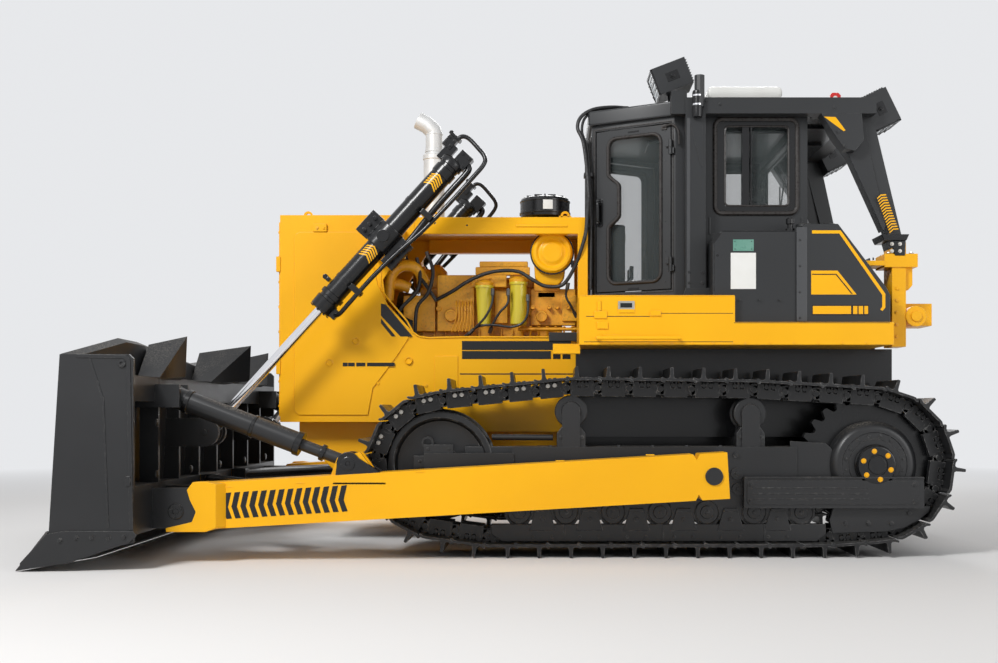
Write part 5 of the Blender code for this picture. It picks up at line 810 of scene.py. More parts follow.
def lump(shape, at, along, rise, size, out=0.0, width=0.005):
    """A block that is turned to the cylinder's line."""
    half = Vector(size) / 2
    shape.block(at(along, rise, out) - half, at(along, rise, out) + half, width, LIFT_TURN)


def make_barrel(name, side, at):
    barrel = Shape()
    start, end = BARREL_START, BARREL_END
    barrel.turned(at(0), LIFT_LINE, [
        (start + 0.004, 0.038), (start + 0.004, 0.070), (start + 0.012, 0.088), (start + 0.10, 0.092),
        (start + 0.105, 0.082), (start + 0.125, 0.082), (start + 0.130, 0.095), (start + 0.165, 0.095),
        (start + 0.170, 0.0815), (end - 0.17, 0.0815), (end - 0.165, 0.088), (end - 0.10, 0.088),
        (end - 0.095, 0.080), (end - 0.07, 0.080), (end - 0.065, 0.092), (end - 0.03, 0.092),
        (end - 0.012, 0.080), (end, 0.055), (end, 0)], 48)
    barrel.turned(at(0), LIFT_LINE, [(start + 0.004, 0.038), (start + 0.03, 0.038), (start + 0.03, 0.0)], 32)
    barrel.turned(at(0), LIFT_LINE, [(PIVOT_ALONG + along, radius) for along, radius in (
        (-0.098, 0.080), (-0.094, 0.102), (-0.085, 0.106), (0.085, 0.106), (0.094, 0.102), (0.098, 0.080))],
        48)
    for out in (-1, 1):
        barrel.rod(at(PIVOT_ALONG, 0, out * 0.09), at(PIVOT_ALONG, 0, out * 0.128), 0.046, sides=28,
                   width=0.003)
    for i in range(8):
        turn = Matrix.Rotation(math.tau * i / 8, 4, LIFT_LINE)
        barrel.bolt(at(start + 0.004) + turn @ (LIFT_ABOVE * 0.079), -LIFT_LINE, 0.009)
    # The two pipes: the long one starts in the gland's port, the short one in a bolted block.
    barrel.tube([at(along, rise, out) for along, rise, out in LONG_PIPE], 0.017, 12, 5)
    barrel.tube([at(along, rise, out) for along, rise, out in SHORT_PIPE], 0.024, 12, 5)
    lump(barrel, at, start + 0.055, -0.096, (0.075, 0.070, 0.060))
    lump(barrel, at, end + 0.03, -0.048, (0.120, 0.110, 0.110))
    for step in (-0.035, 0.035):
        for rise in (-0.080, -0.020):
            barrel.bolt(at(end + 0.03 + step, rise, 0.055), (0, side, 0), 0.011)
    # The lug over the gland, and the clamps of the pipes.
    lump(barrel, at, start + 0.22, 0.105, (0.035, 0.030, 0.075), width=0.008)
    barrel.rod(at(start + 0.22, 0.135, -0.022), at(start + 0.22, 0.135, 0.022), 0.020, sides=20, width=0.003)
    for along, low in ((start + 0.30, -0.165), (end - 0.46, -0.210)):
        lump(barrel, at, along, (low - 0.06) / 2, (0.046, 0.100, -0.06 - low), 0.055)
        barrel.bolt(at(along, low, 0.050), -LIFT_ABOVE, 0.009)
        barrel.turned(at(along), LIFT_LINE, [
            (-0.016, 0.081), (-0.016, 0.085), (0.016, 0.085), (0.016, 0.081)], 40)
    # The port block beyond the barrel's end, on its neck, with a bolted flange.
    lump(barrel, at, end, 0.085, (0.150, 0.085, 0.060))
    lump(barrel, at, end + 0.07, 0.118, (0.100, 0.080, 0.080))
    lump(barrel, at, end + 0.126, 0.118, (0.022, 0.105, 0.105))
    for rise in (0.080, 0.156):
        for out in (-0.038, 0.038):
            barrel.bolt(at(end + 0.136, rise, out), LIFT_LINE, 0.011)
    for step in (0.048, 0.094):
        for rise in (0.096, 0.140):
            barrel.bolt(at(end + step, rise, 0.040), (0, side, 0), 0.010)
    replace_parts(barrel.publish("lift_cylinder_" + name, "black", "lift_barrel_" + name),
                "lift_barrel_" + name)


def make_rod(name, side, at):
    rod = Shape()
    rod.turned(at(0), LIFT_LINE, [
        (0.045, 0.0), (0.045, 0.0355), (BARREL_START + 0.30, 0.0355), (BARREL_START + 0.30, 0)], 40)
    rod.publish("lift_chrome_" + name, "chrome", "lift_rod_" + name)
    knuckle = Shape()
    knuckle.turned(at(0, 0, -0.052), (0, side, 0), [
        (0, 0), (0, 0.058), (0.006, 0.066), (0.098, 0.066), (0.104, 0.058), (0.104, 0)], 36)
    knuckle.turned(at(0), LIFT_LINE, [
        (0.03, 0.0), (0.03, 0.058), (0.095, 0.054), (0.105, 0.044), (0.105, 0)], 36)
    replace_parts(knuckle.publish("lift_eye_" + name, "black", "lift_rod_" + name), "lift_rod_" + name)


def make_marks_and_yoke(name, side, at):
    marks = Shape()
    for first in MARK_STARTS:
        for i in range(5):
            wrap_mark(marks, at, first + MARK_STEP * i)
    marks.publish("lift_marks_" + name, "yellow", "lift_barrel_" + name)
    # The yoke's blocks on the guard, above and below the pivot.
    yoke = Shape()
    for along, rise, size in ((PIVOT_ALONG - 0.03, -0.150, (0.24, 0.11, 0.07)),
                              (PIVOT_ALONG, 0.150, (0.20, 0.11, 0.05))):
        lump(yoke, at, along, rise, size)
        for step in (-0.06, 0.0, 0.06):
            yoke.bolt(at(along + step, rise, 0.055), (0, side, 0), 0.013)
    yoke.publish("yoke_blocks_" + name, "black")


def make_lift_cylinders():
    for name, side in SIDES:
        at = lift_places(side)
        make_barrel(name, side, at)
        make_rod(name, side, at)
        make_marks_and_yoke(name, side, at)


def wrap_mark(shape, at, along):
    """A chevron that is bent round the barrel's outer side."""
    steps = 8
    low, high = [], []
    for i in range(steps + 1):
        share = 2 * i / steps - 1
        angle = MARK_REACH * share
        slant = (1 - abs(share)) * 0.030
        for ring, shift in ((low, 0), (high, MARK_LENGTH)):
            ring.append([at(along + slant + shift, r * math.sin(angle), r * math.cos(angle))
                         for r in (MARK_RADIUS, MARK_RADIUS + 0.001)])
    for a, b, c, d in zip(low, low[1:], high[1:], high):
        shape.prism((a[0], b[0], c[0], d[0]), (a[1], b[1], c[1], d[1]), 0)


# Radiator guard and hood

GUARD_Y = -0.62
GUARD_SHEET = ((294.5, 411), (294.5, 238), (296, 234), (300, 232), (372, 232), (373, 262), (378, 285),
               (392, 313), (409, 338), (407, 341), (397, 356), (386, 371), (373, 388), (368, 415), (299, 415))
GUARD_LUG = ((313.6, 224), (327, 232))
GUARD_DIMPLES = ((355.8, 341.3), (329.4, 362.7), (408.7, 360.7))
GUARD_DASHES = ((342.8, 347.7), (348.1, 354.8), (356.2, 365.4), (367.1, 394.6))
DASH_ROWS = (362.7, 366.3)
GUARD_WEDGE = ((381.2, 303.8), (385.9, 304.5), (412.7, 336.6), (400.6, 336.6), (381.2, 315.9))
GUARD_STRIP = ((381.2, 318.5), (396, 336.6), (391.9, 336.6), (381.2, 323.2))
BAY_LIP = ((381, 268), (381, 287), (386, 296), (395, 307), (407, 321), (419.4, 336.6), (460, 337),
           (548, 337))
SILL_PANEL = ((434.8, 356), (458, 404))
SILL_BOLTS = ((364.5, 384), (378, 383.5), (426, 385.5), (470, 395), (520, 395), (566, 395))
SILL_SEAM = ((460, 373.4), (573, 374.6))
BLANK_STRIPS = (((462, 341), (571, 350)), ((462, 351), (551, 359)), ((553, 351.5), (560.5, 359)),
                ((562.5, 351.5), (570.5, 359)))
HOOD_RIDGE = ((516, 224.7), (567.4, 227))
HOOD_HOLE = (467, 225.3)
GUARD_TOP_Z = 2.594
GUARD_FRONT_X = -1.811
EYE_RING_Z = 2.612


def make_guard():
    sheets = Shape()
    sheets.sheet(GUARD_SHEET, GUARD_Y, 0.012, 0.005)
    sheets.panel(*GUARD_LUG, GUARD_Y, 0.022)
    sheets.panel(*SILL_PANEL, GUARD_Y, 0.008, 0.004)
    sheets.panel(*HOOD_RIDGE, GUARD_Y, 0.010, 0.006)
    sheets.tube([seen_at(px, py, GUARD_Y - 0.004) for px, py in BAY_LIP], 0.007, 8, 3)
    for px, py in GUARD_DIMPLES:
        sheets.turned(seen_at(px, py, GUARD_Y - 0.009), -ALONG_Y, [
            (0, 0.030), (0.006, 0.029), (0.009, 0.025), (0.006, 0.021), (0.001, 0.018), (0.0005, 0)], 28)
    sheets.bolts(((317, 228), (323.6, 228)), GUARD_Y - 0.022, 0.010)
    sheets.bolts(SILL_BOLTS, GUARD_Y, 0.012)
    sheets.pair("guard_sheets", "yellow")
    marks = Shape()
    for low, high in GUARD_DASHES:
        marks.panel((low, DASH_ROWS[0]), (high, DASH_ROWS[1]), GUARD_Y - 0.011, 0.003, 0.0)
    marks.sheet(GUARD_WEDGE, GUARD_Y, 0.014, 0.001)
    marks.sheet(GUARD_STRIP, GUARD_Y, 0.014, 0.001)
    marks.panel(*SILL_SEAM, GUARD_Y, 0.001, 0.0)
    for low, high in BLANK_STRIPS:
        marks.panel(low, high, GUARD_Y, 0.003, 0.001)
    # A black disc for the hole in the hood: painted shade of the hole's inside.
    marks.turned(seen_at(*HOOD_HOLE, GUARD_Y), -ALONG_Y, [(0, 0.007), (0.001, 0.007), (0.001, 0)], 16)
    marks.pair("guard_marks", "black")


def make_hood_fittings():
    """The hood's ring bolts on their feet, its screws and its raised middle."""
    top = Shape()
    for side in (-1, 1):
        for x in (-1.62, -0.62, 0.42):
            top.block((x - 0.05, side * 0.46 - 0.012, GUARD_TOP_Z - 0.02),
                      (x + 0.05, side * 0.46 + 0.012, EYE_RING_Z), 0.004)
            top.turned((x, side * 0.46, EYE_RING_Z), (0, side, 0), [
                (-0.012, 0.019), (-0.012, 0.036), (0.012, 0.036), (0.012, 0.019), (-0.012, 0.019)], 28)
        for i in range(9):
            x = -1.70 + 0.27 * i
            top.bolt((x, side * 0.575, 2.592 if x < -0.78 else 2.578), (0, 0, 1), 0.010)
    top.block((-1.80, -0.40, 2.590), (-0.84, 0.40, 2.600), 0.004)
    top.publish("hood_fittings", "yellow")


def make_guard_front():
    """The frame round the grille, with the bosses of its hinges."""
    front = Shape()
    rear = GUARD_FRONT_X + 0.004
    for z in (1.06, 2.50):
        front.block((GUARD_FRONT_X - 0.012, -0.56, z - 0.035), (rear, 0.56, z + 0.035), 0.004)
    for side in (-1, 1):
        front.block((GUARD_FRONT_X - 0.012, side * 0.565 - 0.04, 1.02), (rear, side * 0.565 + 0.04, 2.54),
                    0.004)
        for i in range(8):
            front.bolt((GUARD_FRONT_X - 0.012, side * 0.575, 1.10 + 0.195 * i), (-1, 0, 0), 0.012)
        for low in (1.35, 2.15):
            front.block((GUARD_FRONT_X - 0.030, side * 0.60 - 0.03, low),
                        (rear, side * 0.60 + 0.01, low + 0.12))
    front.publish("guard_front_frame", "yellow")


# Engine bay

ENGINE_FRONT_X, ENGINE_REAR_X = -0.78, 0.40
ENGINE_SIDE_Y = -0.30
CYLINDERS, CYLINDER_STEP = 6, 0.188
# Metres for a pixel of the photograph at the pump's caps and at the filters.
CAP_SCALE, FILTER_SCALE = 0.0080833, 0.0079583
FILTERS = ((484.2, 288.5, 326, 8.4, 6.4), (518.4, 285, 325.7, 8.2, 8.2))
FILTER_Y = -0.45
BLOCK_SIDE_Y = -0.34
VALVE_BOXES = (((480, 262.5), (528, 268)), ((476, 268), (530, 276)), ((472, 276), (507, 288)))
VALVE_Y = -0.36
BLOCK_LUMPS = (((530.7, 289.5), (575.5, 326)), ((534, 283), (560, 292)), ((562, 296), (577, 322)),
               ((537, 292), (556, 299)), ((495, 291), (508, 324)), ((438, 276), (475, 332)),
               ((404, 296), (436, 332)))
PUMP_CAPS = ((451.5, 316, 6.3), (541.6, 317, 5.8), (439.5, 309.5, 2.6), (466, 309.5, 2.4),
             (533, 308, 2.2), (549, 308, 2.0), (557, 308, 2.0), (568, 308, 2.0))
RAIL = ((518, 327.4), (576.6, 331))
RAIL_Y = -0.42
STEP = ((549, 332.5), (576.6, 341.2))
STEP_Y = -0.64
BIG_HOSE = ((436, 300, -0.40), (451.5, 291.8, -0.46), (468.7, 281, -0.50), (486, 273.5, -0.52),
            (503, 270.6, -0.52), (519, 271.8, -0.52), (531.8, 279.2, -0.54), (543.3, 285.5, -0.55),
            (556, 286.7, -0.56), (565, 282.7, -0.57), (574.3, 267.7, -0.60), (581.2, 249.4, -0.635),
            (585.8, 232, -0.645), (587.3, 211.5, -0.645), (588.7, 196, -0.645))
SMALL_HOSES = (
    ((492.8, 290, -0.53), (492, 303, -0.56), (486, 316, -0.56), (478, 325, -0.54), (470, 333, -0.50)),
    ((508.3, 290, -0.53), (507.7, 303, -0.55), (499.7, 312.5, -0.55), (492.8, 324, -0.52), (490, 332, -0.48)),
    ((527.8, 296, -0.53), (527.8, 312.5, -0.56), (522.7, 322.8, -0.56), (511, 326.9, -0.55),
     (495, 325, -0.54), (481, 325.7, -0.53), (474.4, 328.6, -0.50), (466, 336, -0.44)),
    ((568, 284, -0.50), (566, 296, -0.50), (571, 306, -0.50), (576, 316, -0.46)),
    ((417, 259, -0.42), (420, 274, -0.44), (417, 291, -0.45), (400, 310, -0.45), (392, 330, -0.42)),
    ((427, 253, -0.46), (433, 272, -0.48), (428, 293, -0.49), (417, 308, -0.49), (415, 340, -0.46)),
    ((404, 248, -0.38), (408, 262, -0.40), (425, 284, -0.42), (436, 300, -0.40)),
)
LINE_FOOT_PX = (451.5, 455, 458.5, 462, 465.5, 469)
LINE_TOP_PX = (456, 459, 462, 465, 468, 471)
LINE_Y = -0.43
ELBOWS = (((388, 300, -0.40), (391, 276, -0.42), (402, 266, -0.43), (416, 268, -0.42), (424, 282, -0.36)),
          ((376, 310, -0.34), (384, 290, -0.36), (396, 284, -0.38), (410, 288, -0.36)))
AIR_CLEANER = (552, 252.8)
AIR_CLEANER_Y = -0.50
OUTLET_BOX = ((534, 262), (566, 262), (564, 280), (558, 287), (542, 286), (535, 280))
PRECLEANER_X, PRECLEANER_Y = 0.26, -0.30
PRECLEANER_LOW_Z = 2.611
STACK_X, STACK_Y = -0.678, 0.16
STACK_SLEEVE = 0.089
STACK_PIPE = 0.072
FAN_Z = 1.64


def make_engine():
    engine = Shape()
    engine.block((ENGINE_FRONT_X, ENGINE_SIDE_Y, 1.0), (ENGINE_REAR_X, 0.30, 1.84), 0.02)
    engine.block((ENGINE_FRONT_X + 0.02, -0.20, 1.80), (ENGINE_REAR_X - 0.02, 0.20, 2.07), 0.015)
    for i in range(CYLINDERS):
        x = ENGINE_FRONT_X + 0.035 + CYLINDER_STEP * i
        engine.block((x, -0.175, 2.06), (x + 0.165, 0.175, 2.155), 0.018)
        for side in (-1, 1):
            engine.bolt((x + 0.082, side * 0.12, 2.155), (0, 0, 1), 0.014)
    for low, high in VALVE_BOXES:
        engine.panel(low, high, VALVE_Y, 0.075, 0.008)
    for order, (low, high) in enumerate(BLOCK_LUMPS):
        engine.panel(low, high, BLOCK_SIDE_Y + 0.03, 0.05 + 0.012 * (order % 3), 0.010)
    for px, py, size in PUMP_CAPS:
        radius = size * CAP_SCALE
        engine.turned(seen_at(px, py, -0.33), -ALONG_Y, [
            (-0.05, 0), (-0.05, radius), (0.080, radius), (0.088, radius * 0.9), (0.088, radius * 0.62),
            (0.082, radius * 0.58), (0.082, 0)], 30)
    (x0, z1), (x1, z0) = seen(*RAIL[0], RAIL_Y), seen(*RAIL[1], RAIL_Y)
    engine.rod((x0, RAIL_Y, (z0 + z1) / 2), (x1, RAIL_Y, (z0 + z1) / 2), (z1 - z0) / 2, sides=16)
    for i in range(7):
        x = x0 + (x1 - x0) * (i + 0.5) / 7
        engine.bolt((x, RAIL_Y, z1), (0, 0, 1), 0.012)
        engine.rod((x, RAIL_Y, z0), (x, -0.38, z0 - 0.08), 0.008, sides=8)
    for i in range(22):
        row, column = divmod(i, 11)
        engine.bolt((ENGINE_FRONT_X + 0.07 + 0.104 * column, ENGINE_SIDE_Y, (1.78, 1.30)[row]), -ALONG_Y,
                    0.013)
    for i in range(12):
        engine.block((ENGINE_FRONT_X + 0.05 + 0.09 * i, ENGINE_SIDE_Y - 0.02, 1.36),
                     (ENGINE_FRONT_X + 0.065 + 0.09 * i, ENGINE_SIDE_Y + 0.01, 1.72), 0.004)
    # Injection lines from the pump's head up to the block.
    for foot, top in zip(LINE_FOOT_PX, LINE_TOP_PX):
        engine.tube(routed(((foot, 332, LINE_Y), (top, 318, LINE_Y - 0.02), (top, 306, LINE_Y - 0.01),
                            (top + 1, 300, LINE_Y + 0.06))), 0.005, 6)
    # Exhaust manifold and turbocharger on the far side, under the stack.
    for i in range(CYLINDERS):
        x = ENGINE_FRONT_X + 0.115 + CYLINDER_STEP * i
        engine.tube([(x, 0.15, 1.98), (x, 0.26, 2.00), (x + 0.02, 0.30, 2.03)], 0.042, 12)
    engine.rod((ENGINE_FRONT_X + 0.06, 0.29, 2.03), (ENGINE_REAR_X - 0.06, 0.29, 2.03), 0.055, sides=20,
               width=0.01)
    engine.turned((STACK_X - 0.02, 0.16, 2.17), (-1, 0, 0), [
        (-0.13, 0), (-0.13, 0.07), (-0.08, 0.125), (-0.03, 0.13), (0.0, 0.09), (0.04, 0.09), (0.06, 0.115),
        (0.12, 0.11), (0.15, 0.06), (0.15, 0)], 36)
    for route in ELBOWS:
        engine.tube(routed(route), 0.045, 16)
    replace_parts(engine.publish("engine_castings", "engine"), "engine")


def make_hoses():
    hoses = Shape()
    hoses.tube(routed(BIG_HOSE), 0.0145, 12, 5)
    for number, route in enumerate(SMALL_HOSES):
        hoses.tube(routed(route), 0.0145 if number > 3 else 0.0095, 10, 5)
    hoses.publish("engine_hoses", "hose")
    ends = Shape()
    for route in SMALL_HOSES:
        for pair in (route[:2], route[-1:-3:-1]):
            end, inner = routed(pair)
            along = (inner - end).normalized()
            ends.rod(end - along * 0.01, end + along * 0.045, 0.016, sides=6, width=0.002)
    ends.publish("hose_ends", "edge_steel")


def make_bay_step():
    step = Shape()
    step.panel(*STEP, STEP_Y, 0.02, 0.004)
    (x0, _), (x1, z0) = seen(*STEP[0], STEP_Y), seen(*STEP[1], STEP_Y)
    step.block((x0, STEP_Y, z0), (x1, STEP_Y + 0.14, z0 + 0.01), 0.002)
    for i in range(8):
        step.block((x0 + 0.01 + i * (x1 - x0 - 0.02) / 8, STEP_Y + 0.01, z0 + 0.008),
                   (x0 + 0.022 + i * (x1 - x0 - 0.02) / 8, STEP_Y + 0.13, z0 + 0.020), 0.002)
    step.pair("bay_step", "charcoal")


def make_filters():
    """The two oil filters and the castings that they hang from."""
    filters, heads = Shape(), Shape()
    for px, top, bottom, upper, lower in FILTERS:
        (x, z1), (_, z0) = seen(px, top, FILTER_Y), seen(px, bottom, FILTER_Y)
        upper, lower = upper * FILTER_SCALE, lower * FILTER_SCALE
        height = z1 - z0
        filters.turned((x, FILTER_Y, z0), (0, 0, 1), [
            (0, 0), (0, lower * 0.75), (0.012, lower), (height * 0.5, (lower + upper) / 2), (height, upper),
            (height, upper * 1.10), (height + 0.012, upper * 1.14), (height + 0.020, upper * 1.10),
            (height + 0.026, upper)], 36)
        size = upper * 1.08
        heads.turned((x, FILTER_Y, z1 + 0.022), (0, 0, 1), [
            (0, 0), (0, size), (0.02, size * 1.05), (0.03, size * 0.85), (0.045, size * 0.5), (0.045, 0)], 30)
        heads.block((x - size, FILTER_Y - 0.01, z1 + 0.026), (x + size, -0.28, z1 + 0.075), 0.01)
        for i in range(4):
            heads.bolt((x + size * 0.7 * (-1) ** i, FILTER_Y + 0.05 * (i // 2), z1 + 0.075), (0, 0, 1), 0.010)
    filters.publish("oil_filters", "filter")
    heads.publish("filter_heads", "engine")


def make_fan():
    """A hub with eight twisted blades inside its shroud."""
    fan = Shape()
    fan.turned((-0.90, 0, FAN_Z), (-1, 0, 0), [(-0.12, 0), (-0.12, 0.10), (0, 0.10), (0.02, 0.06), (0.02, 0)],
               30)
    blade = Shape().block((-0.004, -0.075, 0.08), (0.004, 0.075, 0.37), 0.002).data()
    for i in range(8):
        turn = Matrix.Rotation(math.tau * i / 8, 4, "X")
        place = Matrix.Translation((-0.86, 0, FAN_Z)) @ turn @ Matrix.Rotation(math.radians(28), 4, "Z")
        fan.add(blade, place)
    fan.publish("cooling_fan", "black")
    shroud = Shape()
    shroud.turned((-0.80, 0, FAN_Z), (-1, 0, 0), [
        (0, 0.375), (0, 0.39), (0.14, 0.415), (0.14, 0.40), (0, 0.375)], 56)
    shroud.publish("fan_shroud", "black")


def make_air_cleaner():
    x, z = seen(*AIR_CLEANER, AIR_CLEANER_Y)
    foot = Vector((x, AIR_CLEANER_Y, z))
    body = Shape()
    body.turned(foot, -ALONG_Y, [
        (-0.28, 0), (-0.28, 0.13), (-0.265, 0.150), (-0.01, 0.155), (0.0, 0.162), (0.012, 0.163),
        (0.022, 0.160), (0.034, 0.146), (0.036, 0.128), (0.028, 0.116), (0.020, 0.108), (0.022, 0.095),
        (0.032, 0.082), (0.036, 0.068), (0.034, 0.050), (0.033, 0)], 72)
    body.sheet(OUTLET_BOX, -0.36, 0.10, 0.02)
    body.rod((x, -0.37, z + 0.10), (x, -0.37, 2.50), 0.075, sides=28)
    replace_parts(body.publish("air_cleaner_case", "yellow"), "air_cleaner")
    clamp = Shape()
    clamp.turned(foot, -ALONG_Y, [
        (-0.030, 0.158), (-0.028, 0.170), (-0.004, 0.174), (0.002, 0.173), (0.004, 0.160)], 72)
    clamp.block((x + 0.150, AIR_CLEANER_Y - 0.004, z - 0.115), (x + 0.176, AIR_CLEANER_Y + 0.040, z - 0.060),
                0.004)
    clamp.bolt((x + 0.163, AIR_CLEANER_Y - 0.004, z - 0.088), -ALONG_Y, 0.009)
    clamp.publish("air_cleaner_clamp", "black")


def make_precleaner():
    """A black drum with a ribbed skirt and a lid, on a short neck."""
    drum = Shape()
    foot = Vector((PRECLEANER_X, PRECLEANER_Y, PRECLEANER_LOW_Z))
    up = Vector((0, 0, 1))
    profile = [(-0.030, 0), (-0.030, 0.10), (0.0, 0.105), (0.004, 0.185), (0.010, 0.196), (0.030, 0.199),
               (0.034, 0.206), (0.046, 0.206), (0.050, 0.199), (0.125, 0.199), (0.128, 0.203), (0.138, 0.203),
               (0.141, 0.198), (0.156, 0.192), (0.166, 0.172), (0.174, 0.06), (0.176, 0)]
    drum.turned(foot, up, profile, 72)
    for i in range(12):
        turn = Matrix.Rotation(math.tau * i / 12, 3, "Z")
        out = turn @ Vector((1, 0, 0))
        drum.bolt(foot + up * 0.046 + turn @ Vector((0.199, 0, -0.010)), out, 0.008)
        drum.block(*spoke_corners(foot + up * 0.172, out), 0.002)
    drum.rod((PRECLEANER_X, PRECLEANER_Y, 2.582), foot, 0.10, sides=40)
    drum.bolt(foot + up * 0.174, up, 0.018)
    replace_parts(drum.publish("precleaner_drum", "black"), "precleaner")
    label = Shape()
    tile = Shape().block((0.1985, -0.0056, 0), (0.2005, 0.0056, 0.075), 0.0).data()
    for i in range(7):
        turn = Matrix.Rotation(-math.pi / 2 + 0.115 + 0.055 * (i - 3), 4, "Z")
        label.add(tile, Matrix.Translation(foot + up * 0.052) @ turn)
    label.publish("precleaner_label", "white")


def spoke_corners(centre, along):
    """The two corners of an upright block on a spoke of the precleaner's lid."""
    near, far, half = 0.05, 0.17, 0.006
    middle = centre + along * (near + far) / 2
    size = Vector((*(max(abs(share) * (far - near) / 2, half) for share in along.xy), half))
    return middle - size, middle + size


def make_exhaust():
    """The bare exhaust: a sleeve with a rim, the pipe in it, and an elbow cut at an angle."""
    up = Vector((0, 0, 1))
    stack = Shape()
    stack.turned((STACK_X, STACK_Y, 2.582), up, [
        (0, 0), (0, 0.125), (0.012, 0.125), (0.016, STACK_SLEEVE), (0.60, STACK_SLEEVE),
        (0.604, STACK_SLEEVE + 0.006), (0.640, STACK_SLEEVE + 0.006), (0.644, STACK_SLEEVE - 0.002),
        (0.650, STACK_PIPE), (0.655, 0)], 48)
    line = [Vector((STACK_X + x, STACK_Y, z)) for x, z in
            ((0, 3.20), (0, 3.405), (-0.004, 3.425), (-0.060, 3.480), (-0.135, 3.520))]
    angles = [math.tau * k / 40 for k in range(40)]
    rings = []
    for i, point in enumerate(line):
        along = up if i < 2 else (line[min(i + 1, len(line) - 1)] - line[i - 1]).normalized()
        rise = along.cross(ALONG_Y).normalized()
        rings.append([point + ALONG_Y * STACK_PIPE * math.cos(a) + rise * STACK_PIPE * math.sin(a)
                      for a in angles])
    walls = [[stack.mesh.verts.new(point) for point in ring] for ring in rings]
    inner = [[stack.mesh.verts.new(line[i] + (point - line[i]) * 0.93) for point in rings[i]]
             for i in (-1, -2)]
    faces = [*stack.skin(walls + inner), stack.mesh.faces.new(inner[-1])]
    bmesh.ops.recalc_face_normals(stack.mesh, faces=faces)
    # Bands round the pipe.
    for z, radius, height in ((3.25, 0.078, 0.018), (3.395, 0.0745, 0.008)):
        stack.turned((STACK_X, STACK_Y, z), up, [
            (0, 0.070), (0, radius), (height, radius), (height, 0.070)], 48)
    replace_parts(stack.publish("exhaust_pipe", "exhaust"), "exhaust_stack")


# Cab: door seals, window frames, handles, lamps

DOOR_FOOT = Vector((0.63, -0.55, 0))
DOOR_SPAN = Vector((0.62, -0.35, 0))
DOOR_LENGTH = DOOR_SPAN.length
DOOR_WINDOW = ((DOOR_LENGTH * 0.20, 2.055), (DOOR_LENGTH * 0.83, 3.185))
BULGE_DEPTH = DOOR_LENGTH * 0.13
BULGE_HEIGHTS = (2.914, 2.812, 2.586, 2.484)
CAB_SIDE_Y = -0.90
SIDE_WINDOW = ((1.549, 2.560), (2.172, 3.274))
SIDE_PANE = ((1.625, 2.617), (2.105, 3.220))
MULLION = (1.754, 1.806)
CAB_PIPE_TOP = ((588.7, 196, -0.645), (586.5, 165, -0.62), (583, 141, -0.60), (577.6, 128, -0.58),
                (581, 117, -0.56), (593, 109.5, -0.53), (611, 107.2, -0.48), (628, 108, -0.40))
CAB_PIPE_SECOND = ((590.5, 290, -0.60), (591, 240, -0.60), (590, 190, -0.59), (587.5, 150, -0.58),
                   (582, 132, -0.56), (585, 118, -0.54), (597, 111, -0.50), (613, 109, -0.44))
CAN_PX, CAN_Y = 697.5, -1.066
LAMP_SIZE = Vector((0.265, 0.30, 0.206))
LAMP_PLACES = ((1.225, 0.78, 3.598, 21, -1), (2.80, 0.78, 3.35, -64, 1))


def door_place():
    along = DOOR_SPAN.normalized()
    return Matrix(((along.x, -along.y, 0, DOOR_FOOT.x), (along.y, along.x, 0, DOOR_FOOT.y),
                   (0, 0, 1, 0), (0, 0, 0, 1)))


def door_outline():
    """The door window's edge with its inward bulge, in the door's own plane."""
    steps = 8
    outline = rounded(*DOOR_WINDOW, 0.070, steps)
    front = DOOR_WINDOW[0][0]
    top, upper, lower, bottom = BULGE_HEIGHTS
    bulge = []
    for i in range(25):
        z = top + (bottom - top) * i / 24
        share = min(1, (top - z) / (top - upper), (z - bottom) / (lower - bottom))
        share = max(0.0, share)
        bulge.append((front + BULGE_DEPTH * share * share * (3 - 2 * share), z))
    cut = 3 * (steps + 1)
    return outline[:cut] + bulge + outline[cut:]


def door_piece(shape, name, finish):
    return Shape().add(shape.data(), door_place()).pair(name, finish, "door_{}")


def make_doors():
    outline = door_outline()
    seal = Shape()
    seal.ring(outline, -0.003, 0.0135, 10)
    seal.ring(outline, 0.022, 0.010, 6)
    door_piece(seal, "door_seal", "seal")
    dark = Shape()
    length = DOOR_LENGTH
    dark.block((length * 0.44, -0.002, 3.214), (length * 0.57, 0.004, 3.228), 0.001)
    dark.block((length * 0.44, -0.002, 1.998), (length * 0.57, 0.004, 2.016), 0.001)
    dark.plate(rounded((0.046, 2.505), (0.098, 2.725), 0.020, 5), 0.002, -0.007, 0.002)
    dark.tube([(0.070, -0.004, 2.535), (0.072, -0.040, 2.545), (0.074, -0.047, 2.600), (0.074, -0.047, 2.660),
               (0.072, -0.040, 2.695), (0.070, -0.004, 2.705)], 0.0125, 10)
    dark.rod((0.070, -0.004, 2.690), (0.070, -0.022, 2.690), 0.017, sides=20, width=0.002)
    door_piece(dark, "door_handle", "black")
    skin = Shape()
    for x in (0.050, length - 0.085):
        for i in range(6):
            skin.bolt((x, 0.0, 2.05 + 0.23 * i), -ALONG_Y, 0.006, 0.004, washer=False)
    door_piece(skin, "door_screws", "charcoal")
    frame_parts = Shape()
    # The rubber lip round the doorway and the latch bracket by its upper corner stay with the cab.
    for low, high in (((0.018, 0.000, 3.262), (length - 0.018, 0.012, 3.272)),
                      ((0.018, 0.000, 1.968), (length - 0.018, 0.012, 1.978)),
                      ((0.016, 0.000, 1.968), (0.026, 0.012, 3.272)),
                      ((length - 0.026, 0.000, 1.968), (length - 0.016, 0.012, 3.272))):
        frame_parts.block(low, (high[0], -0.004, high[2]), 0.002)
    frame_parts.tube([(length - 0.10, -0.010, 3.225), (length - 0.02, -0.018, 3.235),
                      (length + 0.03, -0.018, 3.18), (length + 0.035, -0.012, 3.08)], 0.009, 8)
    frame_parts.block((length - 0.115, -0.010, 3.205), (length - 0.070, 0.004, 3.245), 0.003)
    Shape().add(frame_parts.data(), door_place()).pair("doorway_lip", "seal")


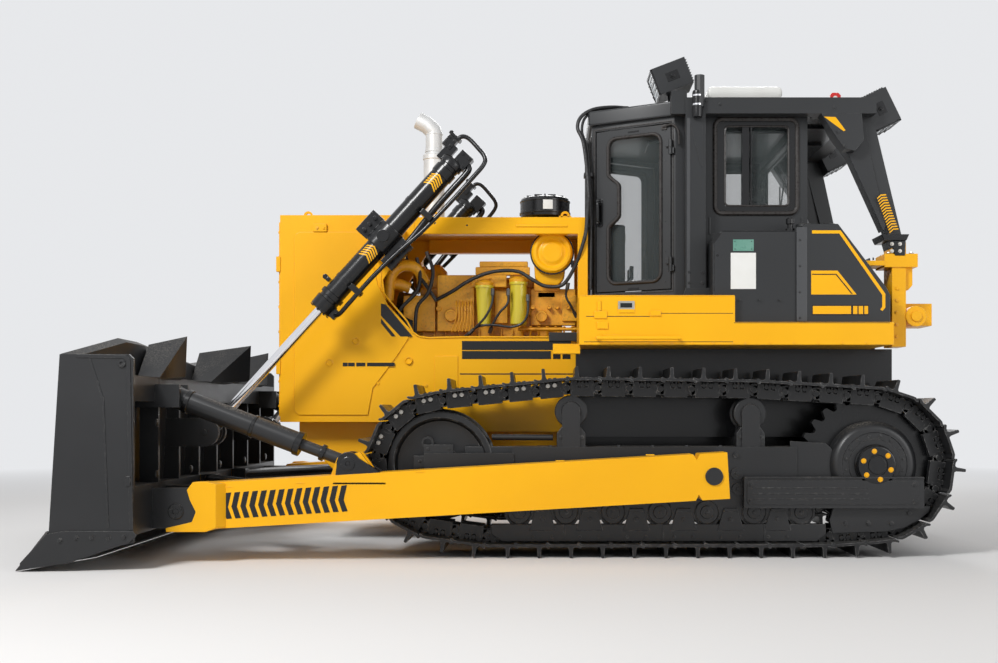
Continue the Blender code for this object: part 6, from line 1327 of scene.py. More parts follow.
def make_side_windows():
    """The side window's bead, its sliding sash and the pane's bead."""
    window = Shape()
    window.ring(rounded(*SIDE_WINDOW, 0.055, 7), CAB_SIDE_Y - 0.004, 0.017, 10)
    (x0, z0), (x1, z1) = SIDE_WINDOW
    (a0, b0), (a1, b1) = SIDE_PANE
    sash = Shape()
    for low, high in (((x0, z0 + 0.025), (a0, z1 - 0.025)), ((a1, z0 + 0.025), (x1, z1 - 0.025)),
                      ((a0, z0), (a1, b0)), ((a0, b1), (a1, z1)),
                      ((MULLION[0], b0), (MULLION[1], b1)),
                      ((MULLION[1] + 0.012, b0), (MULLION[1] + 0.022, b1))):
        sash.block((low[0], CAB_SIDE_Y + 0.040, low[1]), (high[0], CAB_SIDE_Y - 0.006, high[1]), 0.0)
    sash.pair("side_window_sash", "black")
    window.ring(rounded(*SIDE_PANE, 0.030, 6), CAB_SIDE_Y - 0.004, 0.008, 8)
    window.pair("side_window_frame", "seal")


def make_window_surrounds():
    """The seals of the windshield and the rear window, and the wipers."""
    front = Shape()
    for x, half, low, high in ((0.628, 0.48, 2.22, 3.22), (2.252, 0.77, 2.48, 3.20)):
        for y in (-half, half):
            front.block((x - 0.010, y - 0.014, low - 0.012), (x + 0.010, y + 0.014, high + 0.012), 0.005)
        for z in (low, high):
            front.block((x - 0.010, -half, z - 0.014), (x + 0.010, half, z + 0.014), 0.005)
    for x, top, foot, blade in ((0.612, (-0.05, 3.24), (0.30, 2.55), ((0.285, 2.30), (0.298, 2.86))),
                                (2.268, (-0.10, 3.22), (0.26, 2.75), ((0.255, 2.52), (0.268, 2.98)))):
        front.rod((x, *top), (x, *foot), 0.007, sides=8)
        front.block((x - 0.006, *blade[0]), (x + 0.006, *blade[1]), 0.002)
    front.publish("window_surrounds", "seal")


def make_cab_pipes():
    pipes = Shape()
    pipes.tube(routed(CAB_PIPE_TOP), 0.0145, 12, 5)
    pipes.tube(routed(CAB_PIPE_SECOND), 0.011, 10, 5)
    for x, y, top in ((0.585, -0.55, 3.16), (0.606, -0.52, 3.20), (0.600, -0.575, 3.05)):
        pipes.rod((x, y, 1.95), (x, y, top), 0.012, sides=10)
    for z in (2.10, 2.50, 2.90):
        pipes.block((0.565, -0.60, z), (0.632, -0.50, z + 0.03), 0.004)
    pipes.publish("cab_pipes", "hose")


def make_cab_skin():
    """Screws along the header, the roof's gutter and two strips under the side window."""
    skin = Shape()
    for i in range(9):
        skin.bolt((1.36 + 0.105 * i, CAB_SIDE_Y - 0.030, 3.36), -ALONG_Y, 0.007, 0.005, washer=False)
    skin.block((1.26, CAB_SIDE_Y - 0.034, 3.296), (2.24, CAB_SIDE_Y - 0.010, 3.306), 0.003)
    for x in (1.50, 2.20):
        skin.block((x, CAB_SIDE_Y - 0.006, 2.40), (x + 0.016, CAB_SIDE_Y + 0.004, 2.53), 0.003)
    skin.pair("cab_skin", "charcoal")


def make_side_can():
    can = Shape()
    x, z0 = seen(CAN_PX, 117, CAN_Y)
    height = seen(CAN_PX, 90, CAN_Y)[1] - z0
    can.turned((x, CAN_Y, z0), (0, 0, 1), [
        (0, 0), (0, 0.036), (0.030, 0.039), (height - 0.02, 0.039), (height - 0.006, 0.034), (height, 0.02),
        (height, 0)], 32)
    can.pair("side_can", "black")
    bands = Shape()
    for py in (96, 105):
        _, z = seen(CAN_PX, py, CAN_Y)
        bands.turned((x, CAN_Y, z - 0.006), (0, 0, 1), [
            (0, 0.039), (0, 0.0412), (0.012, 0.0412), (0.012, 0.039)], 32)
    bands.pair("side_can_bands", "chrome")


def make_lamps():
    body, glass, guard = Shape(), Shape(), Shape()
    for x, y, z, tilt, face in LAMP_PLACES:
        for side in (-1, 1):
            place = Matrix.Translation((x, side * y, z)) @ Matrix.Rotation(math.radians(-tilt), 4, "Y")
            front = face * LAMP_SIZE.x / 2
            half_y, half_z = LAMP_SIZE.y / 2, LAMP_SIZE.z / 2
            part = Shape()
            for low, high in (((-half_y, -half_z), (half_y, -half_z + 0.018)),
                              ((-half_y, half_z - 0.018), (half_y, half_z)),
                              ((-half_y, -half_z), (-half_y + 0.018, half_z)),
                              ((half_y - 0.018, -half_z), (half_y, half_z))):
                part.block((front, *low), (front + face * 0.014, *high), 0.004)
            for i in range(9):
                z_fin = -half_z + 0.02 + i * (2 * half_z - 0.04) / 8
                part.block((-front - face * 0.012, -half_y + 0.02, z_fin - 0.003),
                           (-front + face * 0.01, half_y - 0.02, z_fin + 0.003), 0.001)
            for out in (-1, 1):
                part.block((-0.05, out * half_y - 0.003, -0.035), (0.05, out * half_y + 0.006, 0.035), 0.003)
                part.bolt((0, out * (half_y + 0.006), 0), (0, out, 0), 0.016)
            body.add(part.data(), place)
            pane = Shape()
            pane.block((front - face * 0.002, -half_y + 0.016, -half_z + 0.016),
                       (front + face * 0.006, half_y - 0.016, half_z - 0.016), 0.003)
            for i in range(7):
                y_rib = -half_y + 0.045 + i * (2 * half_y - 0.09) / 6
                pane.block((front + face * 0.004, y_rib - 0.005, -half_z + 0.022),
                           (front + face * 0.009, y_rib + 0.005, half_z - 0.022), 0.002)
            glass.add(pane.data(), place)
            cage = Shape()
            for z_bar in (-0.045, 0.0, 0.045):
                cage.rod((front + face * 0.017, -half_y + 0.01, z_bar),
                         (front + face * 0.017, half_y - 0.01, z_bar), 0.004, sides=6)
            guard.add(cage.data(), place)
    body.publish("lamp_bodies", "black")
    glass.publish("lamp_lenses", "lens")
    guard.publish("lamp_guards", "black")


# The roll-over frame and the roof

ROPS_Y = -1.04
POST_FOLD_HIGHLIGHT = ((687.0, 118), (690.0, 292))
POST_GUSSET = ((689, 119), (703, 119), (703, 168), (700.5, 166))
POST_FOOT = ((685, 288), (710, 288), (712, 296), (683, 296))
BEAM_STRIPE = ((824, 116.7), (835.5, 117), (845.5, 130.3), (843.6, 131.2))
LEG_MARK_FIRST = ((877.0, 198.0), (885.8, 194.2))
LEG_MARK_STEP = (0.94, 2.62)
LEG_MARKS = 14
LEG_MARK_Y = -1.012
LEG_FLANGE = ((880, 235), (907.6, 235), (905, 241), (883, 241))
LEG_FOOT = ((889, 239), (905, 239), (904, 256), (894, 256))
LEG_GUSSET = ((821, 113), (862, 113), (864, 140), (855, 151), (845, 148.5), (835, 135))
LEG_WEDGE = ((824, 113), (866, 113), (870, 150), (884, 226), (881.5, 232), (849, 155), (834, 135))
EYE_PLATE = ((830, 104.5), (830, 95), (832, 93), (838, 93), (840.5, 95.5), (840.5, 104.5))
BEAM_BOLTS = ((834.5, 107.6), (838, 132), (845, 145.5), (720, 104), (706, 100.5))


def make_rops():
    # A lighter grey strip along the post's fold: a painted highlight where the bend catches the light.
    light = Shape()
    light.panel(*POST_FOLD_HIGHLIGHT, ROPS_Y, 0.004, 0.001)
    light.pair("rops_fold_highlight", "light_grey")
    trim = Shape()
    trim.sheet(POST_GUSSET, ROPS_Y, 0.003, 0.001)
    trim.sheet(POST_FOOT, ROPS_Y, 0.016, 0.004)
    trim.bolts(BEAM_BOLTS, ROPS_Y, 0.011)
    for x in (1.335, 1.435):
        for z in (2.02, 2.10):
            trim.bolt((x, ROPS_Y, z), -ALONG_Y, 0.012)
    trim.pair("rops_trim", "charcoal")
    marks = Shape()
    marks.sheet(BEAM_STRIPE, ROPS_Y - 0.001, 0.002, 0)
    for i in range(LEG_MARKS):
        (x0, y0), (x1, y1) = [(px + LEG_MARK_STEP[0] * i, py + LEG_MARK_STEP[1] * i)
                              for px, py in LEG_MARK_FIRST]
        middle = ((x0 + x1) / 2 - 0.6, (y0 + y1) / 2 - 1.6)
        outline = ((x0, y0), middle, (x1, y1), (x1 + 0.4, y1 + 1.25), (middle[0] + 0.4, middle[1] + 1.25),
                   (x0 + 0.4, y0 + 1.25))
        marks.sheet(outline, LEG_MARK_Y, 0.003, 0)
    marks.pair("rops_marks", "yellow")


def make_rops_rear():
    """The tops and feet of the rear legs, the cover behind the cab and the lifting eyes."""
    gusset = Shape()
    gusset.plate(traced(LEG_GUSSET, ROPS_Y), ROPS_Y, -0.915, 0.004)
    # The wedge that widens the leg towards its top leans outwards with it.
    wedge = [(x, -0.925 - (3.285 - z) * 0.097, z) for x, z in traced(LEG_WEDGE, -0.96)]
    gusset.prism(wedge, [(x, y + 0.13, z) for x, y, z in wedge], 0.004)
    gusset.pair("rops_gussets", "charcoal")
    cover = Shape()
    cover.block((2.235, -0.92, 3.292), (2.600, 0.92, 3.302), 0.002)
    for y in (-0.60, 0.0, 0.60):
        cover.block((2.245, y - 0.012, 3.268), (2.565, y + 0.012, 3.296), 0.003)
    cover.publish("rops_cover", "black")
    feet = Shape()
    feet.sheet(LEG_FLANGE, -1.03, 0.0, 0.003)
    feet.plate(traced(LEG_FLANGE, -1.0), -1.045, -0.765, 0.003)
    feet.plate(traced(LEG_FOOT, -1.0), -1.030, -0.78, 0.006)
    feet.pair("rops_feet", "black")
    eyes = Shape()
    eyes.plate(traced(EYE_PLATE, -0.95), -0.962, -0.938, 0.003)
    eyes.pair("lifting_eyes", "red")
    # A white disc in each lifting eye's hole: painted light for the bright background seen through it.
    holes = Shape()
    holes.turned(seen_at(835.3, 98, -0.9625), -ALONG_Y, [
        (-0.026, 0), (-0.026, 0.017), (0.0005, 0.017), (0.0005, 0)], 20)
    holes.pair("lifting_holes", "white")


def make_roof():
    unit = Shape()
    x0, x1, half, low, high = 1.56, 2.16, 0.42, 3.405, 3.672
    lid = low + 0.155
    unit.block((x0 + 0.004, -half + 0.004, low), (x1 - 0.004, half - 0.004, lid - 0.004), 0.022)
    unit.block((x0 + 0.012, -half + 0.012, lid - 0.008), (x1 - 0.012, half - 0.012, lid + 0.004), 0.0)
    unit.block((x0, -half, lid), (x1, half, high - 0.012), 0.035)
    for i in range(7):
        x = x0 + 0.09 + 0.07 * i
        unit.block((x - 0.010, -half + 0.08, high - 0.016), (x + 0.010, half - 0.08, high - 0.002), 0.004)
    for side in (-1, 1):
        for i in range(4):
            unit.bolt((x0 + 0.06 + 0.16 * i, side * half, low + 0.03), (0, side, 0), 0.008)
    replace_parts(unit.publish("air_conditioner", "white"), "ac_unit")
    vents = Shape()
    for side in (-1, 1):
        for i in range(6):
            vents.block((x0 + 0.34 + 0.036 * i, side * half - 0.003, low + 0.050),
                        (x0 + 0.352 + 0.036 * i, side * half + 0.003, low + 0.125), 0.001)
    for i in range(9):
        y = -0.30 + 0.075 * i
        vents.block((x1 - 0.003, y - 0.02, low + 0.04), (x1 + 0.003, y + 0.02, low + 0.13), 0.001)
    vents.publish("air_conditioner_vents", "black")


# Decks, tanks and pedestals

DECK_Y = -1.30
PANEL_Y = -1.23
TANK_Y = -1.242
DECK_BEZEL = ((618, 301), (634.5, 309.4))
DECK_BEZEL_DARK = ((620.3, 303), (632.2, 307.6))
DECK_BOSSES = (((594, 311), (607, 318.5)), ((650, 310.5), (661, 316)), ((597.4, 300.6), (601, 311)),
               ((597, 322), (608, 329)), ((603, 334.5), (640, 337)))
DECK_SEAMS = (((586, 316), (650, 316.7)), ((661, 313), (733, 313.6)), ((584, 341.5), (733, 342.1)),
              ((734, 322.5), (890, 323.1)))
CORNER_CUT = ((712.5, 233), (722, 233), (713.5, 244), (712.5, 244))
PANEL_LINES = (((722, 230.6), (795, 231.3)), ((713.7, 244), (714.5, 291)))
PANEL_HOLE = (717.6, 255.4)
GREEN_PLATE = ((733, 239.5), (753.7, 251))
WHITE_PLATE = ((730.7, 252.8), (755.9, 289))
TANK_EDGE_HIGHLIGHT = ((796.5, 227), (807, 321))
TANK_STRIPE = ((812, 230.4), (840.6, 230.4), (885.3, 293.8), (885.3, 307.5), (882.5, 311), (880.2, 309.6),
               (882.2, 306.6), (882.2, 295), (839.2, 233.5), (812, 233.5))
TANK_BLOCK = ((811.2, 270.6), (837.5, 270.6), (856.6, 294.5), (811.2, 294.5))
TANK_BLOCK_LINE = ((812, 273.8), (836.4, 273.8), (852.6, 293.7), (851.2, 293.7), (835.8, 274.8), (812, 274.8))
TANK_STRIP = ((812, 304.9), (868.6, 315.2))
TANK_SQUARES = (((812.8, 306), (851, 314)), ((853, 306), (857.3, 314)), ((858.6, 306), (863, 314)),
                ((864.3, 306), (868, 314)))
KNOB = (790, 231.5, 218)


def make_decks():
    raised = Shape()
    for low, high in DECK_BOSSES:
        raised.panel(low, high, DECK_Y, 0.012, 0.005)
    raised.bolts([(590 + 20.5 * i, 343.4) for i in range(8)] + [(746 + 24 * i, 343.0) for i in range(6)],
                 DECK_Y, 0.008)
    raised.block((0.512, DECK_Y + 0.01, 1.896), (1.634, DECK_Y - 0.004, 1.903), 0.003)
    raised.pair("deck_details", "yellow")
    bezel = Shape().panel(*DECK_BEZEL, DECK_Y, 0.008, 0.003)
    bezel.pair("deck_bezel", "zinc")
    dark = Shape().panel(*DECK_BEZEL_DARK, DECK_Y - 0.007, 0.002, 0.0)
    for low, high in DECK_SEAMS:
        dark.panel(low, high, DECK_Y, 0.0008, 0.0)
    # Anti-slip strips on the deck, by the door.
    for i in range(6):
        dark.block((0.56 + 0.11 * i, -1.26, 1.898), (0.60 + 0.11 * i, -0.98, 1.9035), 0.001)
    for i in range(3):
        dark.block((1.26 + 0.07 * i, -1.26, 1.898), (1.295 + 0.07 * i, -1.06, 1.9035), 0.001)
    dark.pair("deck_dark_parts", "black")
    knob = Shape()
    x, low = seen(KNOB[0], KNOB[1], -1.10)
    height = seen(KNOB[0], KNOB[2], -1.10)[1] - low
    knob.turned((x, -1.10, low), (0, 0, 1), [
        (0, 0), (0, 0.034), (0.02, 0.034), (0.024, 0.020), (0.05, 0.020), (0.056, 0.030),
        (height - 0.01, 0.030), (height, 0.022), (height, 0)], 24)
    knob.pair("tank_breather", "black")


def make_tanks():
    dark = Shape()
    # The black triangle in the panel's cut corner and the black disc in its hole are painted shade where the
    # openings are.
    dark.sheet(CORNER_CUT, PANEL_Y, 0.001, 0)
    for low, high in PANEL_LINES:
        dark.panel(low, high, PANEL_Y, 0.001, 0.0)
    dark.turned(seen_at(*PANEL_HOLE, PANEL_Y), -ALONG_Y, [(0, 0.010), (0.001, 0.010), (0.001, 0)], 16)
    dark.sheet(TANK_BLOCK_LINE, TANK_Y - 0.002, 0.001, 0)
    dark.pair("tank_dark_lines", "black")
    # A lighter grey strip along the tank's folded edge: a painted highlight where the bend catches the light.
    light = Shape().panel(*TANK_EDGE_HIGHLIGHT, TANK_Y, 0.003, 0.002)
    light.pair("tank_fold_highlight", "light_grey")
    marks = Shape().sheet(TANK_STRIPE, TANK_Y, 0.002, 0).sheet(TANK_BLOCK, TANK_Y, 0.0015, 0)
    for low, high in TANK_SQUARES:
        marks.panel(low, high, TANK_Y, 0.0025, 0.0)
    marks.pair("tank_marks", "yellow")
    Shape().panel(*TANK_STRIP, TANK_Y, 0.0015, 0.0).pair("tank_strip", "black")
    Shape().panel(*GREEN_PLATE, PANEL_Y, 0.003, 0.001).pair("green_plate", "green")
    Shape().panel(*WHITE_PLATE, PANEL_Y, 0.003, 0.001).pair("white_plate", "white")
    trim = Shape()
    trim.bolts(((735, 241.5), (751.5, 241.5), (735, 249), (751.5, 249)), PANEL_Y - 0.003, 0.004, washer=False)
    trim.bolts([(800, 240 + 26 * i) for i in range(4)] + [(760, 300), (780, 300), (722, 300), (740, 300)],
               TANK_Y - 0.003, 0.007)
    for x in (2.18, 2.36):
        trim.turned((x, -1.10, 2.425), (0, 0, 1), [
            (0, 0.0), (0, 0.060), (0.018, 0.060), (0.024, 0.050), (0.024, 0)], 30)
    trim.pair("tank_trim", "charcoal")


PEDESTAL_TAB = ((860, 261), (884, 261), (884, 266), (862, 266))
PEDESTAL_WING = ((901, 256), (909, 258), (913.5, 266), (913.5, 285), (909, 290), (901, 290))
PEDESTAL_BOLTS = ((892, 244), (900, 244), (892, 251), (900, 251))


def make_pedestals():
    shape = Shape()
    shape.plate(traced(PEDESTAL_TAB, -1.0), -1.03, -0.80, 0.004)
    shape.plate(traced(PEDESTAL_WING, -1.0), -0.98, -0.86, 0.006)
    x, z = seen(913, 317, -0.94)
    shape.rod((x, -1.02, z), (x, -0.80, z), 0.078, sides=36, width=0.006)
    shape.rod((x, -1.034, z), (x, -0.786, z), 0.040, sides=28, width=0.004)
    for i in range(5):
        shape.bolt((2.895, -1.012, 1.62 + 0.09 * i), -ALONG_Y, 0.011)
    shape.pair("pedestal_details", "yellow")
    pins = Shape()
    pins.bolts(PEDESTAL_BOLTS, -1.030, 0.011)
    for side_x in (2.84, 3.01):
        for y in (-0.99, -0.81):
            pins.bolt((side_x, y, 2.245), (0, 0, 1), 0.014)
    pins.pair("pedestal_bolts", "zinc")


# Inside the cab

SEAT_LOW_X, SEAT_HIGH_X, SEAT_HALF = 1.48, 1.96, 0.25
SEAT_PAN_Z, SEAT_TOP_Z, SEAT_BACK_Z = 2.33, 2.46, 2.89


def cushion(low, high, crown, upright=False):
    """A stitched cushion with bolsters, whose crown looks up, or forwards on the upright ones."""
    shape = Shape()
    low, high = Vector(low), Vector(high)
    count = 14
    grid = [[None] * (count + 1) for _ in range(count + 1)]
    under = [[None] * (count + 1) for _ in range(count + 1)]
    for i in range(count + 1):
        for j in range(count + 1):
            u, v = i / count, j / count
            edge = min(1.0, 6 * min(u, 1 - u, v, 1 - v)) ** 0.5
            bolster = 0.35 * (abs(2 * v - 1) > 0.62)
            seam = -0.30 * (0.50 < abs(2 * v - 1) < 0.66) - 0.12 * (i % 3 == 0) * (abs(2 * v - 1) < 0.5)
            rise = crown * (0.35 + 0.55 * edge + bolster * edge + seam)
            y = low.y + (high.y - low.y) * v
            if upright:
                z = low.z + (high.z - low.z) * u
                grid[i][j] = shape.mesh.verts.new((low.x + crown - rise, y, z))
                under[i][j] = shape.mesh.verts.new((high.x, y, z))
            else:
                x = low.x + (high.x - low.x) * u
                grid[i][j] = shape.mesh.verts.new((x, y, high.z - crown + rise))
                under[i][j] = shape.mesh.verts.new((x, y, low.z))
    faces = [shape.mesh.faces.new((sheet[i][j], sheet[i + 1][j], sheet[i + 1][j + 1], sheet[i][j + 1]))
             for sheet in (grid, under) for i in range(count) for j in range(count)]
    border = [(i, 0) for i in range(count)] + [(count, j) for j in range(count)]
    border += [(i, count) for i in range(count, 0, -1)] + [(0, j) for j in range(count, 0, -1)]
    for (i, j), (k, m) in zip(border, border[1:] + border[:1]):
        faces.append(shape.mesh.faces.new((grid[i][j], grid[k][m], under[k][m], under[i][j])))
    bmesh.ops.recalc_face_normals(shape.mesh, faces=faces)
    return shape


def make_seat():
    """The seat in stitched cloth: a cushion, a back and a head roll, with the metal pan under them."""
    seat = cushion((SEAT_LOW_X, -SEAT_HALF, SEAT_PAN_Z), (SEAT_HIGH_X, SEAT_HALF, SEAT_TOP_Z), 0.05)
    back = cushion((1.945, -SEAT_HALF, SEAT_PAN_Z + 0.02), (2.070, SEAT_HALF, SEAT_BACK_Z - 0.13), 0.05, True)
    head = cushion((1.950, -0.15, SEAT_BACK_Z - 0.12), (2.065, 0.15, SEAT_BACK_Z), 0.03, True)
    seat.add(back.data()).add(head.data())
    piece = seat.publish("seat_cover", "cloth", angle=80)
    smooth = piece.modifiers.new("Cloth", "SUBSURF")
    smooth.levels = smooth.render_levels = 1
    piece.modifiers.move(len(piece.modifiers) - 1, 0)
    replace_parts(piece, "operator_seat")
    metal_parts = Shape()
    metal_parts.block((SEAT_LOW_X + 0.02, -SEAT_HALF + 0.02, SEAT_PAN_Z - 0.025),
                      (SEAT_HIGH_X, SEAT_HALF - 0.02, SEAT_PAN_Z), 0.006)
    metal_parts.block((SEAT_LOW_X + 0.06, -0.17, 1.97), (SEAT_HIGH_X - 0.06, 0.17, 2.02), 0.006)
    for i in range(7):
        z = 2.02 + 0.043 * i
        inset = 0.012 * (i % 2)
        metal_parts.block((SEAT_LOW_X + 0.08 + inset, -0.15 + inset, z),
                          (SEAT_HIGH_X - 0.08 - inset, 0.15 - inset, z + 0.044), 0.006)
    metal_parts.publish("seat_base", "black")


def make_controls():
    """Levers, pedals, gauges and grips on the consoles of the cab."""
    dark, bright = Shape(), Shape()
    for side in (-1, 1):
        for x in (1.55, 1.63):
            bright.rod((x, side * 0.38, 2.48), (x - 0.03, side * 0.37, 2.60), 0.008, sides=10)
            dark.turned((x - 0.03, side * 0.37, 2.59), (-0.2, 0, 1), [
                (0, 0), (0, 0.014), (0.02, 0.020), (0.06, 0.022), (0.085, 0.016), (0.09, 0)], 18)
        dark.block((1.70, side * 0.38 - 0.055, 2.48), (1.96, side * 0.38 + 0.055, 2.545), 0.02)
        bright.rod((0.90, side * 0.13, 2.02), (0.96, side * 0.13, 2.16), 0.010, sides=8)
        dark.block((0.955, side * 0.13 - 0.045, 2.14), (0.985, side * 0.13 + 0.045, 2.25), 0.006)
    dark.block((0.72, -0.27, 2.555), (0.90, 0.27, 2.575), 0.012)
    for y in (-0.18, -0.06, 0.06, 0.18):
        bright.turned((0.905, y, 2.48), (1, 0, 0), [
            (0, 0), (0, 0.040), (0.012, 0.040), (0.012, 0.034), (0.008, 0.032), (0.008, 0)], 26)
    dark.publish("cab_controls", "black")
    bright.publish("cab_levers", "zinc")
    mats = Shape()
    mats.block((0.72, -0.50, 1.962), (2.15, 0.50, 1.970), 0.002)
    for i in range(24):
        mats.block((0.76 + 0.055 * i, -0.47, 1.969), (0.785 + 0.055 * i, 0.47, 1.974), 0.001)
    mats.publish("floor_mat", "rubber")
    lining = Shape()
    lining.plate(((0.72, 3.270), (2.18, 3.270), (2.18, 3.292), (0.72, 3.292)), -0.45, 0.45, 0.006)
    lining.block((1.10, -0.20, 3.245), (1.50, 0.20, 3.275), 0.012)
    lining.publish("roof_lining", "light_grey")


# Blade

BLADE_END_Y = -2.065
END_BIT = ((47, 534), (20.5, 563), (20.5, 570), (69, 563), (102, 552), (129, 543), (135, 538), (137, 535),
           (134, 531),
           (64, 531))
END_BIT_BOLTS = ((60, 541), (76, 538), (92, 538), (108, 538), (124, 537))
END_FOLD = ((88.2, 356), (90.0, 356), (104.2, 399), (109.2, 528), (107.2, 528), (102.2, 400))
END_RIM = ((76, 354), (127, 355), (130.5, 360), (133.5, 530), (129.5, 530), (126.6, 362), (124, 358.4),
           (76, 357.4))
END_PLUG = (122, 363.5)
END_LUG = ((125.5, 476), (131, 486))
CLEVIS_FACE_Y = -1.683
CLEVIS_PIN = (176, 511.5)
ARM_Y = -1.62
ARM_NOSE = ((193, 482), (187, 490), (190, 500), (196, 512), (192, 522), (166, 528), (166, 532), (206, 532),
            (216, 528), (216, 484), (206, 481.5))
ARM_CHEVRON = ((225.8, 493.0), (231.3, 492.3), (228.0, 507.1), (232.0, 518.5), (226.6, 519.0),
               (222.6, 507.1))
ARM_CHEVRON_STEP = (8.9, -0.56)
ARM_CHEVRONS = 14
BRACE_FOOT = Vector((-2.372, 0, 1.169))
BRACE_HEAD = Vector((-1.117, 0, 0.695))
BRACE_Y = 1.51
EDGE_TIP = Vector((-2.985, 0.012))
EDGE_TOP = Vector((-2.785, 0.250))


def make_blade():
    ends = Shape()
    ends.plate(traced(END_BIT, BLADE_END_Y), BLADE_END_Y + 0.004, BLADE_END_Y - 0.016, 0.004)
    ends.bolts(END_BIT_BOLTS, BLADE_END_Y - 0.016, 0.014)
    ends.sheet(END_FOLD, BLADE_END_Y, 0.004, 0.001)
    ends.sheet(END_RIM, BLADE_END_Y, 0.007, 0.002)
    ends.turned(seen_at(*END_PLUG, BLADE_END_Y), -ALONG_Y, [(0, 0.026), (0.010, 0.026), (0.013, 0.022),
                                                            (0.013, 0.012), (0.006, 0.010), (0.006, 0)], 28)
    ends.panel(*END_LUG, BLADE_END_Y, 0.014, 0.005)
    ends.pair("blade_ends", "frame", "dozer")


def make_cutting_edge():
    """Bolted plates on the mouldboard's front, with the nuts of the middle ones on its back."""
    edge = Shape()
    along = (EDGE_TOP - EDGE_TIP).normalized()
    out = Vector((-along.y, along.x))
    low, high = EDGE_TIP - along * 0.012, EDGE_TOP + along * 0.01
    section = [tuple(point) for point in (low, high, high + out * 0.016, low + out * 0.004)]
    middle = EDGE_TIP + along * 0.19
    normal = Vector((out.x, 0, out.y))
    for side in (-1, 1):
        ring = [[(x - lead, side * y, z) for x, z in section] for y, lead in ((1.302, 0.0), (2.062, 0.250))]
        edge.prism(*ring, 0.003)
        for i in range(4):
            y = 1.40 + 0.18 * i
            place = Vector((middle.x - 0.25 * (y - 1.3) / 0.765, side * y, middle.y))
            edge.rod(place, place + normal * 0.020, 0.020, 0.017, sides=16, width=0.002)
    for start in (-1.298, -0.432, 0.434):
        edge.plate(section, start, start + 0.862, 0.003)
        for i in range(5):
            place = Vector((middle.x, start + 0.09 + 0.17 * i, middle.y))
            edge.rod(place, place + normal * 0.020, 0.020, 0.017, sides=16, width=0.002)
            edge.bolt(place - normal * 0.045, -normal, 0.018)
    edge.publish("cutting_edge", "edge_steel", "dozer")


def make_blade_back():
    """Plugs and the lift cylinders' pins on the back of the blade."""
    back = Shape()
    for y in (-1.62, -0.82, 0.0, 0.82, 1.62):
        for z in (0.62, 0.98):
            back.turned((-2.452, y, z), (1, 0, 0), [
                (0, 0), (0, 0.030), (0.008, 0.029), (0.012, 0.022), (0.012, 0)], 20)
    for side in (-1, 1):
        for y in (LIFT_Y - 0.085, LIFT_Y + 0.085):
            low, high = [Vector((EYE.x, side * (y + out), EYE.z)) for out in (-0.022, 0.022)]
            back.rod(low, high, 0.085, sides=32, width=0.004)
            back.bolt(high, (0, side, 0), 0.022)
    back.publish("blade_back_fittings", "frame", "dozer")


def make_push_arms():
    near, far = ARM_Y + 0.001, CLEVIS_FACE_Y - 0.012
    foot = [(x + (0.055 if px > 210 else 0), near, z)
            for (px, _), (x, z) in zip(ARM_NOSE, traced(ARM_NOSE, CLEVIS_FACE_Y))]
    nose = Shape().prism(foot, [(x, far, z) for x, z in traced(ARM_NOSE, CLEVIS_FACE_Y)], 0.006)
    nose.pair("arm_noses", "yellow", "dozer")
    marks = Shape()
    for i in range(ARM_CHEVRONS):
        outline = [(px + ARM_CHEVRON_STEP[0] * i, py + ARM_CHEVRON_STEP[1] * i) for px, py in ARM_CHEVRON]
        marks.sheet(outline, ARM_Y, 0.002, 0)
    marks.pair("arm_chevrons", "black", "dozer")
    dark = Shape()
    pin = seen_at(*CLEVIS_PIN, CLEVIS_FACE_Y)
    dark.turned(pin, -ALONG_Y, [
        (-0.02, 0.055), (0.008, 0.055), (0.014, 0.050), (0.014, 0.022), (0.008, 0.018), (0.008, 0)], 36)
    for turn in (0.4, 2.5, 4.6):
        dark.bolt(pin + Vector((0.038 * math.cos(turn), -0.014, 0.038 * math.sin(turn))), -ALONG_Y, 0.008)
    # The trunnion's cap in the arm's rear end, with its bolts.
    dark.turned((1.442, -1.618, 0.606), -ALONG_Y, [(0, 0.063), (0.006, 0.062), (0.009, 0.056), (0.009, 0.030),
                                                   (0.004, 0.027), (0.004, 0)], 40)
    dark.pair("arm_pins", "black", "dozer")


